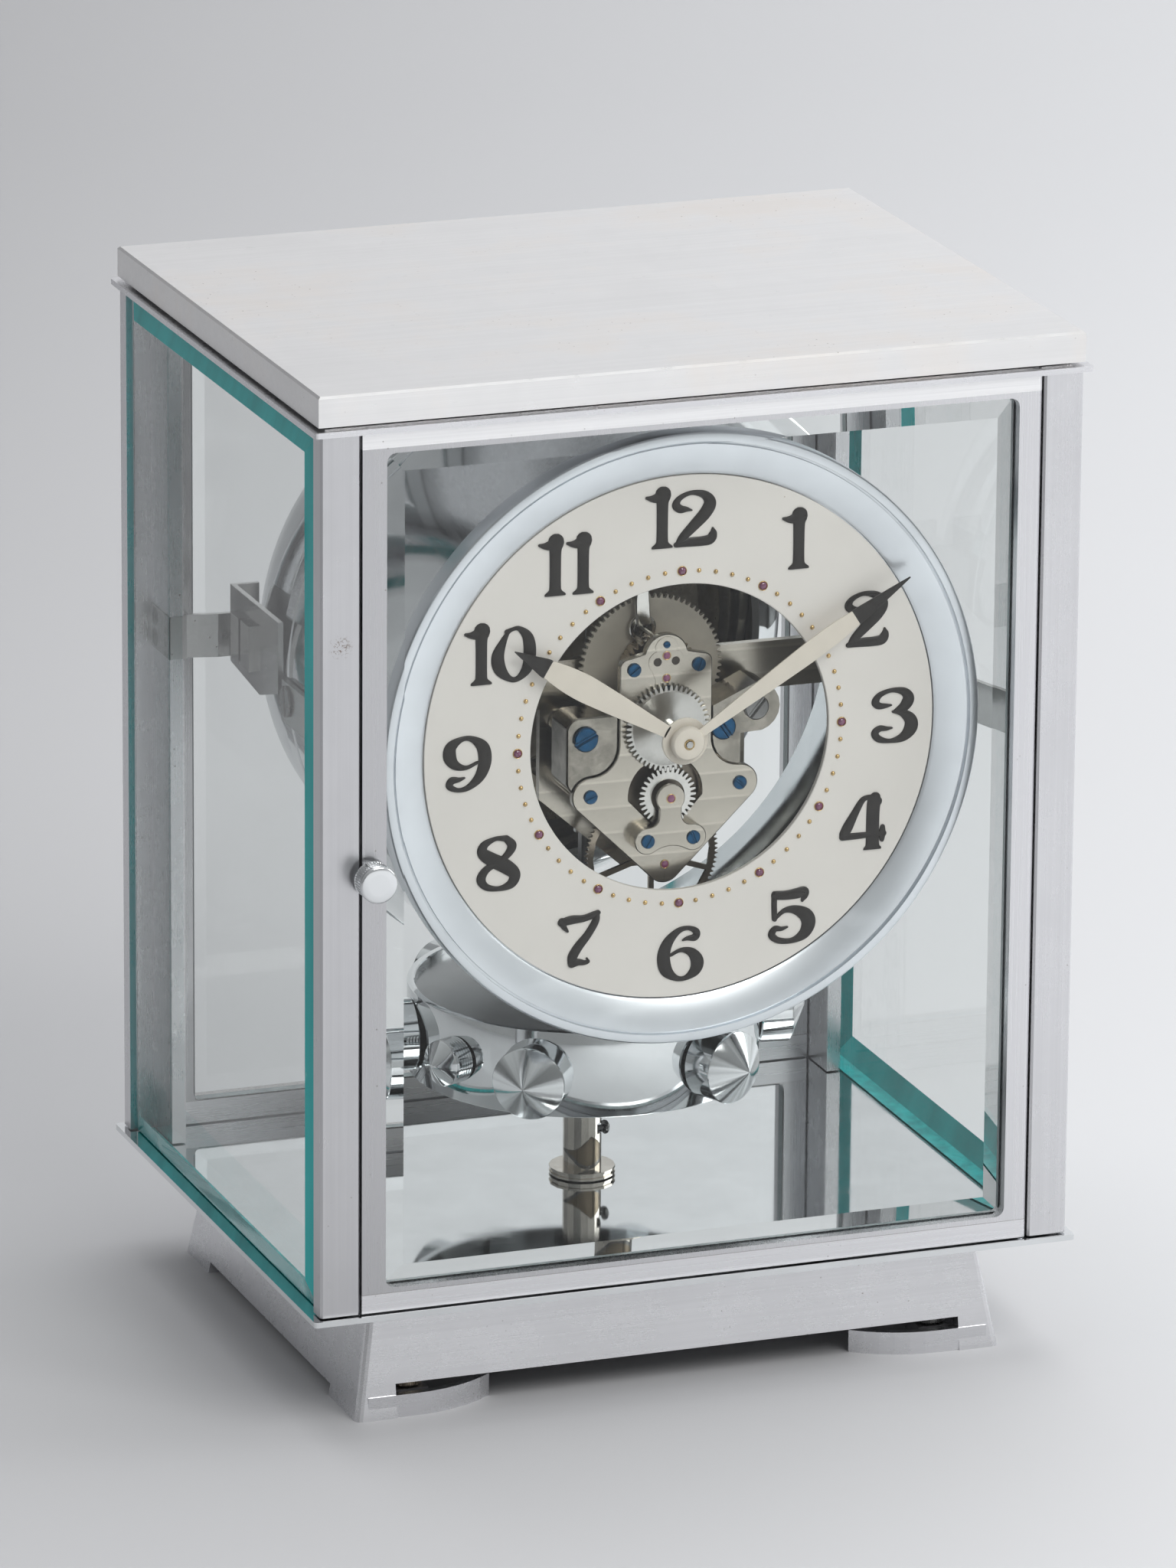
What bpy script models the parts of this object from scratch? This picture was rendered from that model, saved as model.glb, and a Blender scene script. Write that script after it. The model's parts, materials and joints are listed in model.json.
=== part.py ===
"""A table clock in a glazed metal case, with a slow torsion pendulum that runs on changes in the air.

Sizes are in metres, +Z is up, +X is right as one looks at the dial and -Y is the front. The origin lies
under the middle of the clock on the surface that it stands on. The pieces are drawn from the floor of the
glass case, which an empty carries, and the movement from the centre of its dial.
"""

import math

import bmesh
import bpy
from mathutils import Vector

MM = 0.001
TURN = 2.0 * math.pi
GAP = 0.3 * MM
OVERRUN = 1.0 * MM
SEAM = 0.002 * MM
MITRE_SHARE = 0.5

# The case
FLOOR_HEIGHT = 28.47 * MM
CASE_SETBACK = 2.575 * MM
TOP_CLEARANCE = 9.5 * MM
FLANGE_OVERHANG = 1.75 * MM
FLANGE_END_OVERHANG = 1.35 * MM
FLANGE_THICKNESS = 1.27 * MM
FLANGE_CORNER = 0.8 * MM
BEZEL_CLEARANCE = 9.2 * MM
BODY_DEPTH = 139.3 * MM
LID_OVERHANG = 0.4 * MM
LID_SETBACK = 0.05 * MM
LID_HEIGHT = 6.76 * MM
LID_CLEARANCE = 0.7 * MM
LID_LIP_INSET = 2.2 * MM
LID_EDGE = 0.5 * MM
POST_FACE = 9.1 * MM
POST_SIDE = 4.8 * MM
POST_LEG_THICKNESS = 3.3 * MM
POST_LEG_DEPTH = 12.8 * MM
POST_CHAMFER = 0.5 * MM
SIDE_GLASS_THICKNESS = 5.5 * MM
SIDE_GLASS_BEVEL = 5.5 * MM
SIDE_GLASS_BEVEL_DEPTH = 1.6 * MM

# The door and the rear frame
DOOR_DEPTH = 5.5 * MM
DOOR_STILE = 5.5 * MM
DOOR_TOP_RAIL = 4.5 * MM
DOOR_BOTTOM_RAIL = 5.4 * MM
DOOR_OPENING_CORNER = 2.0 * MM
DOOR_HINGE_RADIUS = 1.2 * MM
PIN_RADIUS = 0.8 * MM
PIN_LENGTH = 0.9 * MM
PIN_PLAY = 0.3 * MM
DOOR_GLASS_THICKNESS = 4.0 * MM
DOOR_GLASS_BEVEL = 4.2 * MM
DOOR_GLASS_BEVEL_DEPTH = 1.3 * MM
DOOR_GLASS_RECESS = 1.5 * MM
KNOB_INSET = 1.7 * MM
KNOB_HEIGHT = 99.5 * MM
KNOB_RADIUS = 4.15 * MM
KNOB_PROJECTION = 6.5 * MM
KNOB_NECK_RADIUS = 3.1 * MM
KNOB_NECK_LENGTH = 1.5 * MM
KNOB_EDGE = 0.5 * MM
KNOB_SHAFT_RADIUS = 0.8 * MM
KNOB_SHAFT_PLAY = 0.3 * MM
LATCH_LENGTH = 4.3 * MM
LATCH_HALF_WIDTH = 1.2 * MM
LATCH_THICKNESS = 1.2 * MM
LATCH_SLOT_PLAY = 0.45 * MM

# The plinth and its levelling screws
PLINTH_BASE_WIDTH = 151.7 * MM
PLINTH_BASE_DEPTH = 120.3 * MM
PLINTH_TAPER = 4.65 * MM
PLINTH_WALL = 3.0 * MM
PLINTH_CORNER = 1.5 * MM
FRONT_EDGE_HEIGHT = 7.6 * MM
FRONT_FOOT_HEIGHT = 5.2 * MM
FRONT_FOOT_THICKNESS = 1.8 * MM
FRONT_FOOT_INSET = 0.45 * MM
FRONT_FOOT_LENGTH = 32.8 * MM
FRONT_FOOT_STRAIGHT = 14.0 * MM
FRONT_FOOT_BEND = 30.0 * MM
FRONT_CORNER_LENGTH = 9.5 * MM
SIDE_EDGE_HEIGHT = 2.6 * MM
SIDE_FRONT_FOOT = 19.0 * MM
SIDE_REAR_FOOT = 17.0 * MM
REAR_FOOT = 19.0 * MM
SCREW_INSET = 13.95 * MM
SCREW_SETBACK = 7.6 * MM
SCREW_RADIUS = 1.5 * MM
SCREW_LENGTH = 12.0 * MM
SCREW_SOLE = 0.5 * MM
THUMB_WHEEL_RADIUS = 3.6 * MM
THUMB_WHEEL_THICKNESS = 1.8 * MM
THUMB_WHEEL_KNURL = 0.25 * MM
SHELF_THICKNESS = 2.8 * MM
SHELF_HALF_WIDTH = 4.0 * MM
BOSS_HEIGHT = 5.0 * MM

# The dial, its bezel and the drum, about the dial's centre
PENDULUM_CLEARANCE = 4.18 * MM
DIAL_FRONT = -55.5 * MM
DIAL_THICKNESS = 1.2 * MM
BEZEL_WIDTH = 10.0 * MM
DIAL_RING_WIDTH = 24.4 * MM
BEZEL_LEDGE_WIDTH = 1.5 * MM
BEZEL_LEDGE_THICKNESS = 1.1 * MM
BEZEL_RIM_WIDTH = 2.65 * MM
BEZEL_CONE_RISE = 2.1 * MM
BEZEL_CONE_SWELL = 0.25 * MM
BEZEL_GROOVE = 0.5 * MM
BEZEL_GROOVE_DEPTH = 0.8 * MM
BEZEL_RIM_RADIUS = 69.0 * MM
BEZEL_RIM_RISE = 2.6 * MM
BEZEL_RIM_EDGE = 0.8 * MM
BEZEL_OVERHANG = 3.0 * MM
DRUM_WALL = 2.0 * MM
DRUM_BACK = 20.0 * MM
DRUM_BAND = 5.0 * MM
DRUM_BAND_RISE = 0.25 * MM

# The hands
HAND_THICKNESS = 0.4 * MM
HOUR_HAND_FRONT = -58.6 * MM
MINUTE_HAND_FRONT = -60.2 * MM
HOUR_HAND_TIP = 46.0 * MM
HOUR_HAND_WIDTH = 6.0 * MM
HOUR_HAND_DEGREES = 58.8
MINUTE_HAND_TIP = 61.0 * MM
MINUTE_HAND_WIDTH = 4.7 * MM
MINUTE_HAND_DEGREES = -57.5
HAND_POINT = 1.0 * MM
HAND_RING_RADIUS = 5.3 * MM
HAND_CAP_RADIUS = 3.9 * MM
HAND_CAP_RISE = 1.0 * MM
WIDEST_SHARE = 0.62

# The movement's plates and blocks, by depth
FRONT_PLATE_FRONT = -46.6 * MM
PLATE_THICKNESS = 2.0 * MM
MAIN_PLATE_FRONT = -32.0 * MM
BRIDGE_FRONT = -50.0 * MM
BRIDGE_THICKNESS = 0.8 * MM
LOBE_X = 17.4 * MM
LOBE_Z = -14.4 * MM
LOBE_RADIUS = 4.2 * MM
FLARE_RADIUS = 6.7 * MM
WAIST_X = 10.7 * MM
SHOULDER_Z = 16.0 * MM
SHOULDER_CORNER = 2.0 * MM
CROWN_RADIUS = 5.0 * MM
TAIL_LOBE_RADIUS = 4.0 * MM
PLATE_WINDOW_RADIUS = 8.5 * MM
PILLAR_RADIUS = 2.6 * MM
BLOCK_EDGE_X = 23.0 * MM
BLOCK_TOP_Z = 3.7 * MM
BLOCK_DEPTH = 9.9 * MM
COCK_THICKNESS = 1.5 * MM
COCK_TOP_Z = 1.55 * MM
COCK_HALF_WIDTH = 1.8 * MM
SIDE_PILLAR_X = 19.5 * MM
SIDE_PILLAR_Z = -1.0 * MM
SIDE_PILLAR_RADIUS = 2.5 * MM
LUG_PILLAR_X = 21.0 * MM
LUG_PILLAR_Z = 2.5 * MM
LUG_RADIUS = 5.6 * MM
CROSS_BAR_TOP = 12.7 * MM
CROSS_BAR_BOTTOM = 2.0 * MM
MAIN_PLATE_HALF_WIDTH = 24.0 * MM
MAIN_PLATE_BOTTOM = -36.0 * MM
BRIDGE_FOOT_X = 5.3 * MM
BRIDGE_FOOT_Z = -24.7 * MM
BRIDGE_FOOT_RADIUS = 1.9 * MM
BRIDGE_HEAD_RADIUS = 2.4 * MM
BRIDGE_ARM_WIDTH = 2.6 * MM

# The train: teeth, modules and where the wheels stand
GOING_MODULE = 0.4278 * MM
MOTION_MODULE = 0.385 * MM
SCAPE_MODULE = 0.34 * MM
BARREL_TEETH = 40
CENTRE_PINION_TEETH = 8
MINUTE_WHEEL_TEETH = 64
MOTION_PINION_TEETH = 32
HOUR_WHEEL_TEETH = 48
THIRD_PINION_TEETH = 12
THIRD_WHEEL_TEETH = 90
SCAPE_PINION_TEETH = 15
SCAPE_WHEEL_TEETH = 15
RATCHET_TEETH = 72
BARREL_X = 0.7 * MM
SCAPE_BEARING_DEGREES = 134.9
POINTED_TEETH = 30
TIP_SHARE = 2.0
ROOT_SHARE = 2.4
WHEEL_ROOT_SHARE = 0.62
PINION_TIP_SHARE = 0.16
PINION_ROOT_SHARE = 0.5
ARBOR_RADIUS = 0.6 * MM
THIN_ARBOR_RADIUS = 0.35 * MM
CENTRE_ARBOR_RADIUS = 0.8 * MM
BARREL_ARBOR_RADIUS = 1.0 * MM
WHEEL_THICKNESS = 0.8 * MM
MINUTE_WHEEL_FRONT = -43.6 * MM
MOTION_FRONT = -48.2 * MM
MOTION_THICKNESS = 1.0 * MM
GREAT_WHEEL_FRONT = -41.0 * MM
GREAT_WHEEL_THICKNESS = 1.0 * MM
CENTRE_PINION_FRONT = -44.0 * MM
CENTRE_PINION_BACK = -39.6 * MM
THIRD_PINION_FRONT = -44.2 * MM
THIRD_PINION_BACK = -42.2 * MM
THIRD_WHEEL_FRONT = -38.5 * MM
SCAPE_PINION_FRONT = -39.1 * MM
SCAPE_PINION_BACK = -37.1 * MM
BARREL_RADIUS = 7.8 * MM
BARREL_BACK = -35.3 * MM
BARREL_LID = 0.6 * MM
BARREL_WALL = 0.7 * MM
RATCHET_FRONT = -35.0 * MM
RATCHET_RADIUS = 16.6 * MM
RATCHET_TOOTH = 0.55 * MM
RATCHET_THICKNESS = 1.0 * MM
CLICK_X = -1.8 * MM
CLICK_Z = 19.7 * MM
CLICK_TIP_X = -2.0 * MM
CLICK_TIP_Z = 28.0 * MM
CLICK_EYE_RADIUS = 1.25 * MM
CLICK_STUD_RADIUS = 0.5 * MM
CLICK_FRONT = -36.7 * MM
CLICK_THICKNESS = 1.2 * MM
CLICK_FINGER = 0.55 * MM
CLICK_HOOK = 0.45 * MM
SCAPE_WHEEL_FRONT = -28.0 * MM
SCAPE_WHEEL_RADIUS = 6.0 * MM
SCAPE_TOOTH = 1.5 * MM
SCAPE_TOOTH_SHARES = (0.0, 0.12, 0.6)
SCAPE_HUB_RADIUS = 1.5 * MM
HOUR_PIPE_RADIUS = 2.2 * MM
HOUR_HUB_RADIUS = 3.2 * MM
HOUR_WINDOW_RADIUS = 7.04 * MM
WHEEL_HUB_RADIUS = 2.4 * MM
WHEEL_SPOKE = 1.2 * MM
WHEEL_RIM = 1.6 * MM
SCAPE_ARM_FRONT = -41.5 * MM
SCAPE_ARM_THICKNESS = 1.5 * MM
SCAPE_ARM_RADIUS = 1.6 * MM

# The pallet lever and the cock behind it
LEVER_Z = -27.0 * MM
LEVER_THICKNESS = 1.0 * MM
LEVER_ARM_WIDTH = 1.4 * MM
LEVER_HUB_RADIUS = 1.8 * MM
STONE_REACH_DEGREES = 34.0
STONE_DISTANCE = 13.2 * MM
STONE_SIZE = 0.8 * MM
FORK_Z = -20.2 * MM
FORK_LENGTH = 3.2 * MM
FORK_GAP = 1.5 * MM
FORK_TINE = 0.6 * MM
FORK_HEIGHT = 1.4 * MM
FORK_CLEARANCE = 0.35 * MM
REAR_COCK_FRONT = -22.6 * MM
REAR_COCK_RADIUS = 2.2 * MM
REAR_COCK_POST = 1.5 * MM
REAR_COCK_REACH = 9.5 * MM

# The pressure housing behind the drum
DOME_SETBACK = 5.0 * MM
DOME_Z = -1.9 * MM
DOME_FRONT = 28.0 * MM
DOME_WIDEST = 49.5 * MM
DOME_BACK = 62.0 * MM
DOME_LIP = 12.1 * MM
DOME_WALL = 1.7 * MM
CAPSULE_CLEARANCE = 14.5 * MM
CAPSULE_FOLD = 5.5 * MM
CAPSULE_FRONT = 41.0 * MM
CAPSULE_FOLDS = 3
CAPSULE_SEAT_RADIUS = 27.0 * MM
ROD_X = 6.0 * MM
ROD_Z = 7.0 * MM
ROD_RADIUS = 1.5 * MM
ROD_TRAVEL = 3.0 * MM
ROD_PLATE_RADIUS = 30.0 * MM
ROD_PLATE_THICKNESS = 1.2 * MM

# The brackets and straps that hold drum and housing to the posts
BRACKET_THICKNESS = 1.2 * MM
BRACKET_TOP = 12.4 * MM
BRACKET_FRONT = 17.0 * MM
BRACKET_WEB_BACK = 50.6 * MM
BRACKET_FRONT_BOTTOM = -4.0 * MM
BRACKET_LOW_Y = 30.0 * MM
BRACKET_LOW_BOTTOM = -7.8 * MM
BRACKET_BACK_BOTTOM = -5.5 * MM
STRAP_THICKNESS = 1.2 * MM
FRONT_STRAP_TOP = 0.0
FRONT_STRAP_HEIGHT = 9.5 * MM
FRONT_STRAP_PAD = 9.0 * MM
FRONT_STRAP_BEND_Y = -33.0 * MM
FRONT_STRAP_KNEE_Y = -44.5 * MM
FRONT_STRAP_KNEE_OUT = 3.1 * MM
FRONT_STRAP_END_Y = 15.5 * MM
FRONT_STRAP_LAND_Y = -1.5 * MM
REAR_STRAP_TOP = 5.5 * MM
REAR_STRAP_HEIGHT = 10.0 * MM
REAR_STRAP_PAD = 7.6 * MM
REAR_STRAP_KNEE_OUT = 4.5 * MM
REAR_STRAP_OVERLAP = 3.1 * MM

# The pendulum, its wire and its lock, about the upright axis
PENDULUM_Y = 4.07 * MM
RING_RADIUS = 39.6 * MM
RING_BOTTOM = 26.35 * MM
RING_HEIGHT = 19.77 * MM
RING_WALL = 1.8 * MM
WEB_RECESS = 1.6 * MM
WEB_THICKNESS = 2.0 * MM
HUB_RADIUS = 6.2 * MM
HUB_BOTTOM = 24.4 * MM
WEIGHT_RADIUS = 8.25 * MM
WEIGHT_SHOULDER = 47.2 * MM
WEIGHT_CONE_SLOPE = 0.577
WEIGHT_FIRST_DEGREES = -35.0
WEIGHT_COUNT = 6
TRIM_RADIUS = 5.2 * MM
TRIM_SHOULDER = 44.9 * MM
TRIM_GROOVE = 0.5 * MM
TRIM_LAND = 1.0 * MM
TRIM_FIRST_DEGREES = -65.0
SHAFT_RADIUS = 1.5 * MM
SHAFT_TOP = -14.0 * MM
SHAFT_HOLE_RADIUS = 3.0 * MM
ROLLER_RADIUS = 4.2 * MM
ROLLER_THICKNESS = 1.2 * MM
ROLLER_TOP = -21.2 * MM
ROLLER_PIN_REACH = 3.0 * MM
ROLLER_PIN_RADIUS = 0.4 * MM
ROLLER_PIN_HEIGHT = 1.9 * MM
WIRE_RADIUS = 0.15 * MM
WIRE_SIDES = 6
BLOCK_HALF_WIDTH = 6.0 * MM
BLOCK_HALF_LENGTH = 5.0 * MM
BLOCK_REACH = 10.0 * MM
LOCK_FLANGE_RADIUS = 7.5 * MM
LOCK_FLANGE_HEIGHT = 1.7 * MM
LOCK_GROOVE = 0.35 * MM
LOCK_TUBE_RADIUS = 4.35 * MM
LOCK_TUBE_BORE = 3.3 * MM
LOCK_TUBE_TOP = 20.0 * MM
LOCK_PLUNGER_BOTTOM = 2.6 * MM
LOCK_LIFT = 1.2 * MM
LOCK_DEGREES = 36.0
LOCK_SCREW_RADIUS = 0.9 * MM
LOCK_SCREW_HEIGHT = 10.0 * MM
LOCK_SCREW_REACH = 5.6 * MM
LOCK_CUT_PLAY = 0.35 * MM

# Sides of the round pieces
FINE_SIDES = 48
ROUND_SIDES = 36
SMALL_SIDES = 16
TINY_SIDES = 8

# Finishes: colour, roughness and metallic value
SATIN_CHROME = ((0.70, 0.70, 0.69), 0.24, 1.0)
BRIGHT_CHROME = ((0.78, 0.78, 0.78), 0.08, 1.0)
NICKEL = ((0.67, 0.63, 0.56), 0.22, 1.0)
GILT = ((0.74, 0.55, 0.28), 0.25, 1.0)
BRASS = ((0.70, 0.52, 0.26), 0.30, 1.0)
STEEL = ((0.45, 0.45, 0.46), 0.25, 1.0)
DIAL_SILVER = ((0.72, 0.70, 0.65), 0.45, 0.6)
DARK_HAND = ((0.045, 0.042, 0.040), 0.35, 0.2)
GLASS = ((0.80, 0.90, 0.88), 0.03, 0.0)

# Derived places
RING_TOP = RING_BOTTOM + RING_HEIGHT
DIAL_RADIUS = BEZEL_RIM_RADIUS - BEZEL_WIDTH
DIAL_OPENING = DIAL_RADIUS - DIAL_RING_WIDTH
BEZEL_LEDGE_RADIUS = DIAL_RADIUS - BEZEL_LEDGE_WIDTH
BEZEL_CONE_RADIUS = BEZEL_RIM_RADIUS - BEZEL_RIM_WIDTH
DRUM_RADIUS = BEZEL_RIM_RADIUS - BEZEL_OVERHANG
DOME_RADIUS = DRUM_RADIUS - DOME_SETBACK
DOME_MOUTH_RADIUS = DOME_RADIUS - DOME_LIP
CAPSULE_RADIUS = DOME_RADIUS - CAPSULE_CLEARANCE
REAR_STRAP_KNEE_X = DRUM_RADIUS + REAR_STRAP_KNEE_OUT
REAR_STRAP_END_X = DRUM_RADIUS - REAR_STRAP_OVERLAP
BLOCK_BOTTOM = DRUM_RADIUS - BLOCK_REACH
DIAL_HEIGHT = RING_TOP + PENDULUM_CLEARANCE + BEZEL_RIM_RADIUS
CLEAR_HEIGHT = DIAL_HEIGHT + BEZEL_RIM_RADIUS + TOP_CLEARANCE
CASE_TOP = CLEAR_HEIGHT + FLANGE_THICKNESS + LID_CLEARANCE + LID_HEIGHT
GROUND = -FLOOR_HEIGHT
HALF_BODY = BEZEL_RIM_RADIUS + BEZEL_CLEARANCE + POST_FACE
HALF_DEPTH = BODY_DEPTH / 2.0
FLANGE_HALF_WIDTH = HALF_BODY + FLANGE_OVERHANG
FLANGE_HALF_DEPTH = HALF_DEPTH + FLANGE_END_OVERHANG
LID_HALF_WIDTH = HALF_BODY + LID_OVERHANG
LID_HALF_DEPTH = HALF_DEPTH - LID_SETBACK
POST_INNER_X = HALF_BODY - POST_FACE
DOOR_HALF_WIDTH = POST_INNER_X - GAP
DOOR_FRONT = -HALF_DEPTH
DOOR_BACK = DOOR_FRONT + DOOR_DEPTH
SHELL_BOTTOM = GAP
SHELL_TOP = CLEAR_HEIGHT - GAP
HINGE_X = DOOR_HALF_WIDTH - DOOR_HINGE_RADIUS
HINGE_Y = DOOR_FRONT + DOOR_HINGE_RADIUS
KNOB_X = KNOB_INSET - DOOR_HALF_WIDTH
SCREW_X = PLINTH_BASE_WIDTH / 2.0 - SCREW_INSET
SCREW_Y = SCREW_SETBACK - PLINTH_BASE_DEPTH / 2.0
SHELF_TOP = GROUND + FRONT_FOOT_HEIGHT
PLINTH_TOP = -FLANGE_THICKNESS - GAP
PLINTH_HEIGHT = PLINTH_TOP - GROUND
DIAL_BACK = DIAL_FRONT + DIAL_THICKNESS
BEZEL_BACK = DIAL_BACK + GAP + BEZEL_LEDGE_THICKNESS
DRUM_FRONT = BEZEL_BACK + GAP
DRUM_BORE = DRUM_RADIUS - DRUM_WALL
MAIN_PLATE_BACK = MAIN_PLATE_FRONT + PLATE_THICKNESS
FRONT_PLATE_BACK = FRONT_PLATE_FRONT + PLATE_THICKNESS
MINUTE_WHEEL_Z = -GOING_MODULE * (CENTRE_PINION_TEETH + MINUTE_WHEEL_TEETH) / 2.0
THIRD_Z = MINUTE_WHEEL_Z - GOING_MODULE * (MINUTE_WHEEL_TEETH + THIRD_PINION_TEETH) / 2.0
BARREL_REACH = GOING_MODULE * (BARREL_TEETH + CENTRE_PINION_TEETH) / 2.0
BARREL_Z = math.sqrt(BARREL_REACH ** 2 - BARREL_X ** 2)
SCAPE_REACH = SCAPE_MODULE * (THIRD_WHEEL_TEETH + SCAPE_PINION_TEETH) / 2.0
SCAPE_X = SCAPE_REACH * math.cos(math.radians(SCAPE_BEARING_DEGREES))
SCAPE_Z = THIRD_Z + SCAPE_REACH * math.sin(math.radians(SCAPE_BEARING_DEGREES))
WEIGHT_Z = RING_BOTTOM + RING_HEIGHT / 2.0
BLOCK_BACK = FRONT_PLATE_FRONT + BLOCK_DEPTH


# Where a drawn point (u, v) at a distance w goes
def upright(u, v, w):
    """A plan drawn in x and y, raised to the height w."""
    return (u, v, w)


def facing(u, v, w):
    """A front view drawn in x and z, at the depth w."""
    return (u, w, v)


def sideways(u, v, w):
    """A side view drawn in y and z, at the distance w to the right."""
    return (w, u, v)


# Outlines
def circle(radius, sides, u=0.0, v=0.0):
    steps = [TURN * i / sides for i in range(sides)]
    return [(u + radius * math.cos(a), v + radius * math.sin(a)) for a in steps]


def arc(u, v, radius, start, end, steps):
    """Points of an arc about (u, v), with its angles in degrees."""
    angles = [math.radians(start + (end - start) * i / steps) for i in range(steps + 1)]
    return [(u + radius * math.cos(a), v + radius * math.sin(a)) for a in angles]


def rectangle(left, right, low, high):
    return [(left, low), (right, low), (right, high), (left, high)]


def rounded_rectangle(left, right, low, high, radius, steps=3):
    points = arc(right - radius, high - radius, radius, 0.0, 90.0, steps)
    points += arc(left + radius, high - radius, radius, 90.0, 180.0, steps)
    points += arc(left + radius, low + radius, radius, 180.0, 270.0, steps)
    points += arc(right - radius, low + radius, radius, 270.0, 360.0, steps)
    return points


def bar(start, end, radius, steps=5):
    """A straight bar with round ends."""
    heading = math.degrees(math.atan2(end[1] - start[1], end[0] - start[0]))
    points = arc(end[0], end[1], radius, heading - 90.0, heading + 90.0, steps)
    points += arc(start[0], start[1], radius, heading + 90.0, heading + 270.0, steps)
    return points


def ribbon(path, thickness):
    """The outline of a strip that follows a path, mitred at its bends."""
    left = []
    right = []
    for i, point in enumerate(path):
        before = Vector(path[max(i - 1, 0)])
        after = Vector(path[min(i + 1, len(path) - 1)])
        here = Vector(point)
        arrive = (here - before).normalized() if i else (after - here).normalized()
        leave = (after - here).normalized() if i < len(path) - 1 else arrive
        tangent = (arrive + leave).normalized()
        normal = Vector((-tangent.y, tangent.x))
        reach = thickness / 2.0 / max(normal.dot(Vector((-leave.y, leave.x))), MITRE_SHARE)
        left.append(tuple(here + normal * reach))
        right.append(tuple(here - normal * reach))
    return left + right[::-1]


def mirrored(points):
    return [(-u, v) for u, v in points]


def gear(teeth, module, turn_share=0.0):
    """A toothed outline, pointed on a wheel and blunt on a pinion, shifted by a share of a tooth."""
    tip = module * (teeth + TIP_SHARE) / 2.0
    root = module * (teeth - ROOT_SHARE) / 2.0
    pitch = TURN / teeth
    flanks = [(root, -WHEEL_ROOT_SHARE), (tip, 0.0), (root, WHEEL_ROOT_SHARE)]
    if teeth < POINTED_TEETH:
        flanks = [(root, -PINION_ROOT_SHARE), (tip, -PINION_TIP_SHARE),
                  (tip, PINION_TIP_SHARE), (root, PINION_ROOT_SHARE)]
    points = []
    for i in range(teeth):
        for radius, share in flanks:
            angle = pitch * (i + turn_share + share / 2.0)
            points.append((radius * math.cos(angle), radius * math.sin(angle)))
    return points


def meshing_share(teeth, turn_share, other_teeth, bearing):
    """The shift of another wheel, seen at a bearing from this one, that puts the two in mesh."""
    offset = turn_share - bearing * teeth / 360.0
    return ((bearing + 180.0) * other_teeth / 360.0 - offset + 0.5) % 1.0


def saw(teeth, tip, depth):
    """A ratchet's outline, each tooth rising slowly and falling at once."""
    points = []
    for i in range(teeth):
        angle = TURN * i / teeth
        points.append(((tip - depth) * math.cos(angle), (tip - depth) * math.sin(angle)))
        points.append((tip * math.cos(angle), tip * math.sin(angle)))
    return points


def windows(count, inner, outer, spoke, steps=3, start=0.0):
    """The openings between the spokes of a wheel."""
    loops = []
    for i in range(count):
        middle = start + 360.0 * i / count
        wide = 180.0 / count - math.degrees(math.asin(spoke / 2.0 / outer))
        narrow = 180.0 / count - math.degrees(math.asin(spoke / 2.0 / inner))
        loop = arc(0.0, 0.0, outer, middle - wide, middle + wide, steps)
        loop += arc(0.0, 0.0, inner, middle + narrow, middle - narrow, steps)
        loops.append(loop)
    return loops


# Solids
def plate(outline, start, end, place=facing, holes=()):
    """A flat piece: the outline less its holes, from one distance to the other."""
    mesh = bmesh.new()
    edges = []
    for loop in (outline, *holes):
        verts = [mesh.verts.new(Vector(place(u, v, start)) / MM) for u, v in loop]
        edges += [mesh.edges.new((verts[i - 1], verts[i])) for i in range(len(verts))]
    bmesh.ops.triangle_fill(mesh, use_beauty=True, use_dissolve=False, edges=edges)
    raised = bmesh.ops.extrude_face_region(mesh, geom=mesh.faces[:])
    moved = [v for v in raised["geom"] if isinstance(v, bmesh.types.BMVert)]
    shift = Vector(place(0.0, 0.0, end)) - Vector(place(0.0, 0.0, start))
    bmesh.ops.translate(mesh, vec=shift / MM, verts=moved)
    return finished(mesh)


def turned(profile, place=upright, sides=ROUND_SIDES):
    """A piece turned about its axis from a profile of (radius, height) points."""
    mesh = bmesh.new()
    rings = []
    for radius, height in profile:
        if radius == 0.0:
            rings.append([mesh.verts.new(Vector(place(0.0, 0.0, height)) / MM)])
        else:
            ring = [mesh.verts.new(Vector(place(u, v, height)) / MM) for u, v in circle(radius, sides)]
            rings.append(ring)
    closed = profile[0][0] > 0.0
    for i in range(0 if closed else 1, len(rings)):
        join_rings(mesh, rings[i - 1], rings[i])
    return finished(mesh)


def join_rings(mesh, first, second):
    if len(first) == 1 and len(second) == 1:
        return
    count = max(len(first), len(second))
    for i in range(count):
        corners = [first[i - 1 if len(first) > 1 else 0]]
        if len(first) > 1:
            corners.append(first[i])
        if len(second) > 1:
            corners.append(second[i])
        corners.append(second[i - 1 if len(second) > 1 else 0])
        mesh.faces.new(corners)


def lofted(sections):
    """A skin over closed sections of equal count, with both ends filled."""
    mesh = bmesh.new()
    loops = [[mesh.verts.new(Vector(p) / MM) for p in section] for section in sections]
    for first, second in zip(loops, loops[1:]):
        join_rings(mesh, first, second)
    mesh.faces.new(loops[0])
    mesh.faces.new(loops[-1])
    return finished(mesh)


def finished(mesh):
    """Sharp-sided faces out, at the size of the clock."""
    bmesh.ops.recalc_face_normals(mesh, faces=mesh.faces[:])
    bmesh.ops.scale(mesh, vec=(MM, MM, MM), verts=mesh.verts[:])
    return mesh


def cylinder(radius, start, end, place=facing, u=0.0, v=0.0, sides=SMALL_SIDES):
    return plate(circle(radius, sides, u, v), start, end, place)


def block(x, y, z):
    """A box between pairs of x, y and z."""
    return plate(rectangle(x[0], x[1], y[0], y[1]), z[0], z[1], upright)


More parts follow.
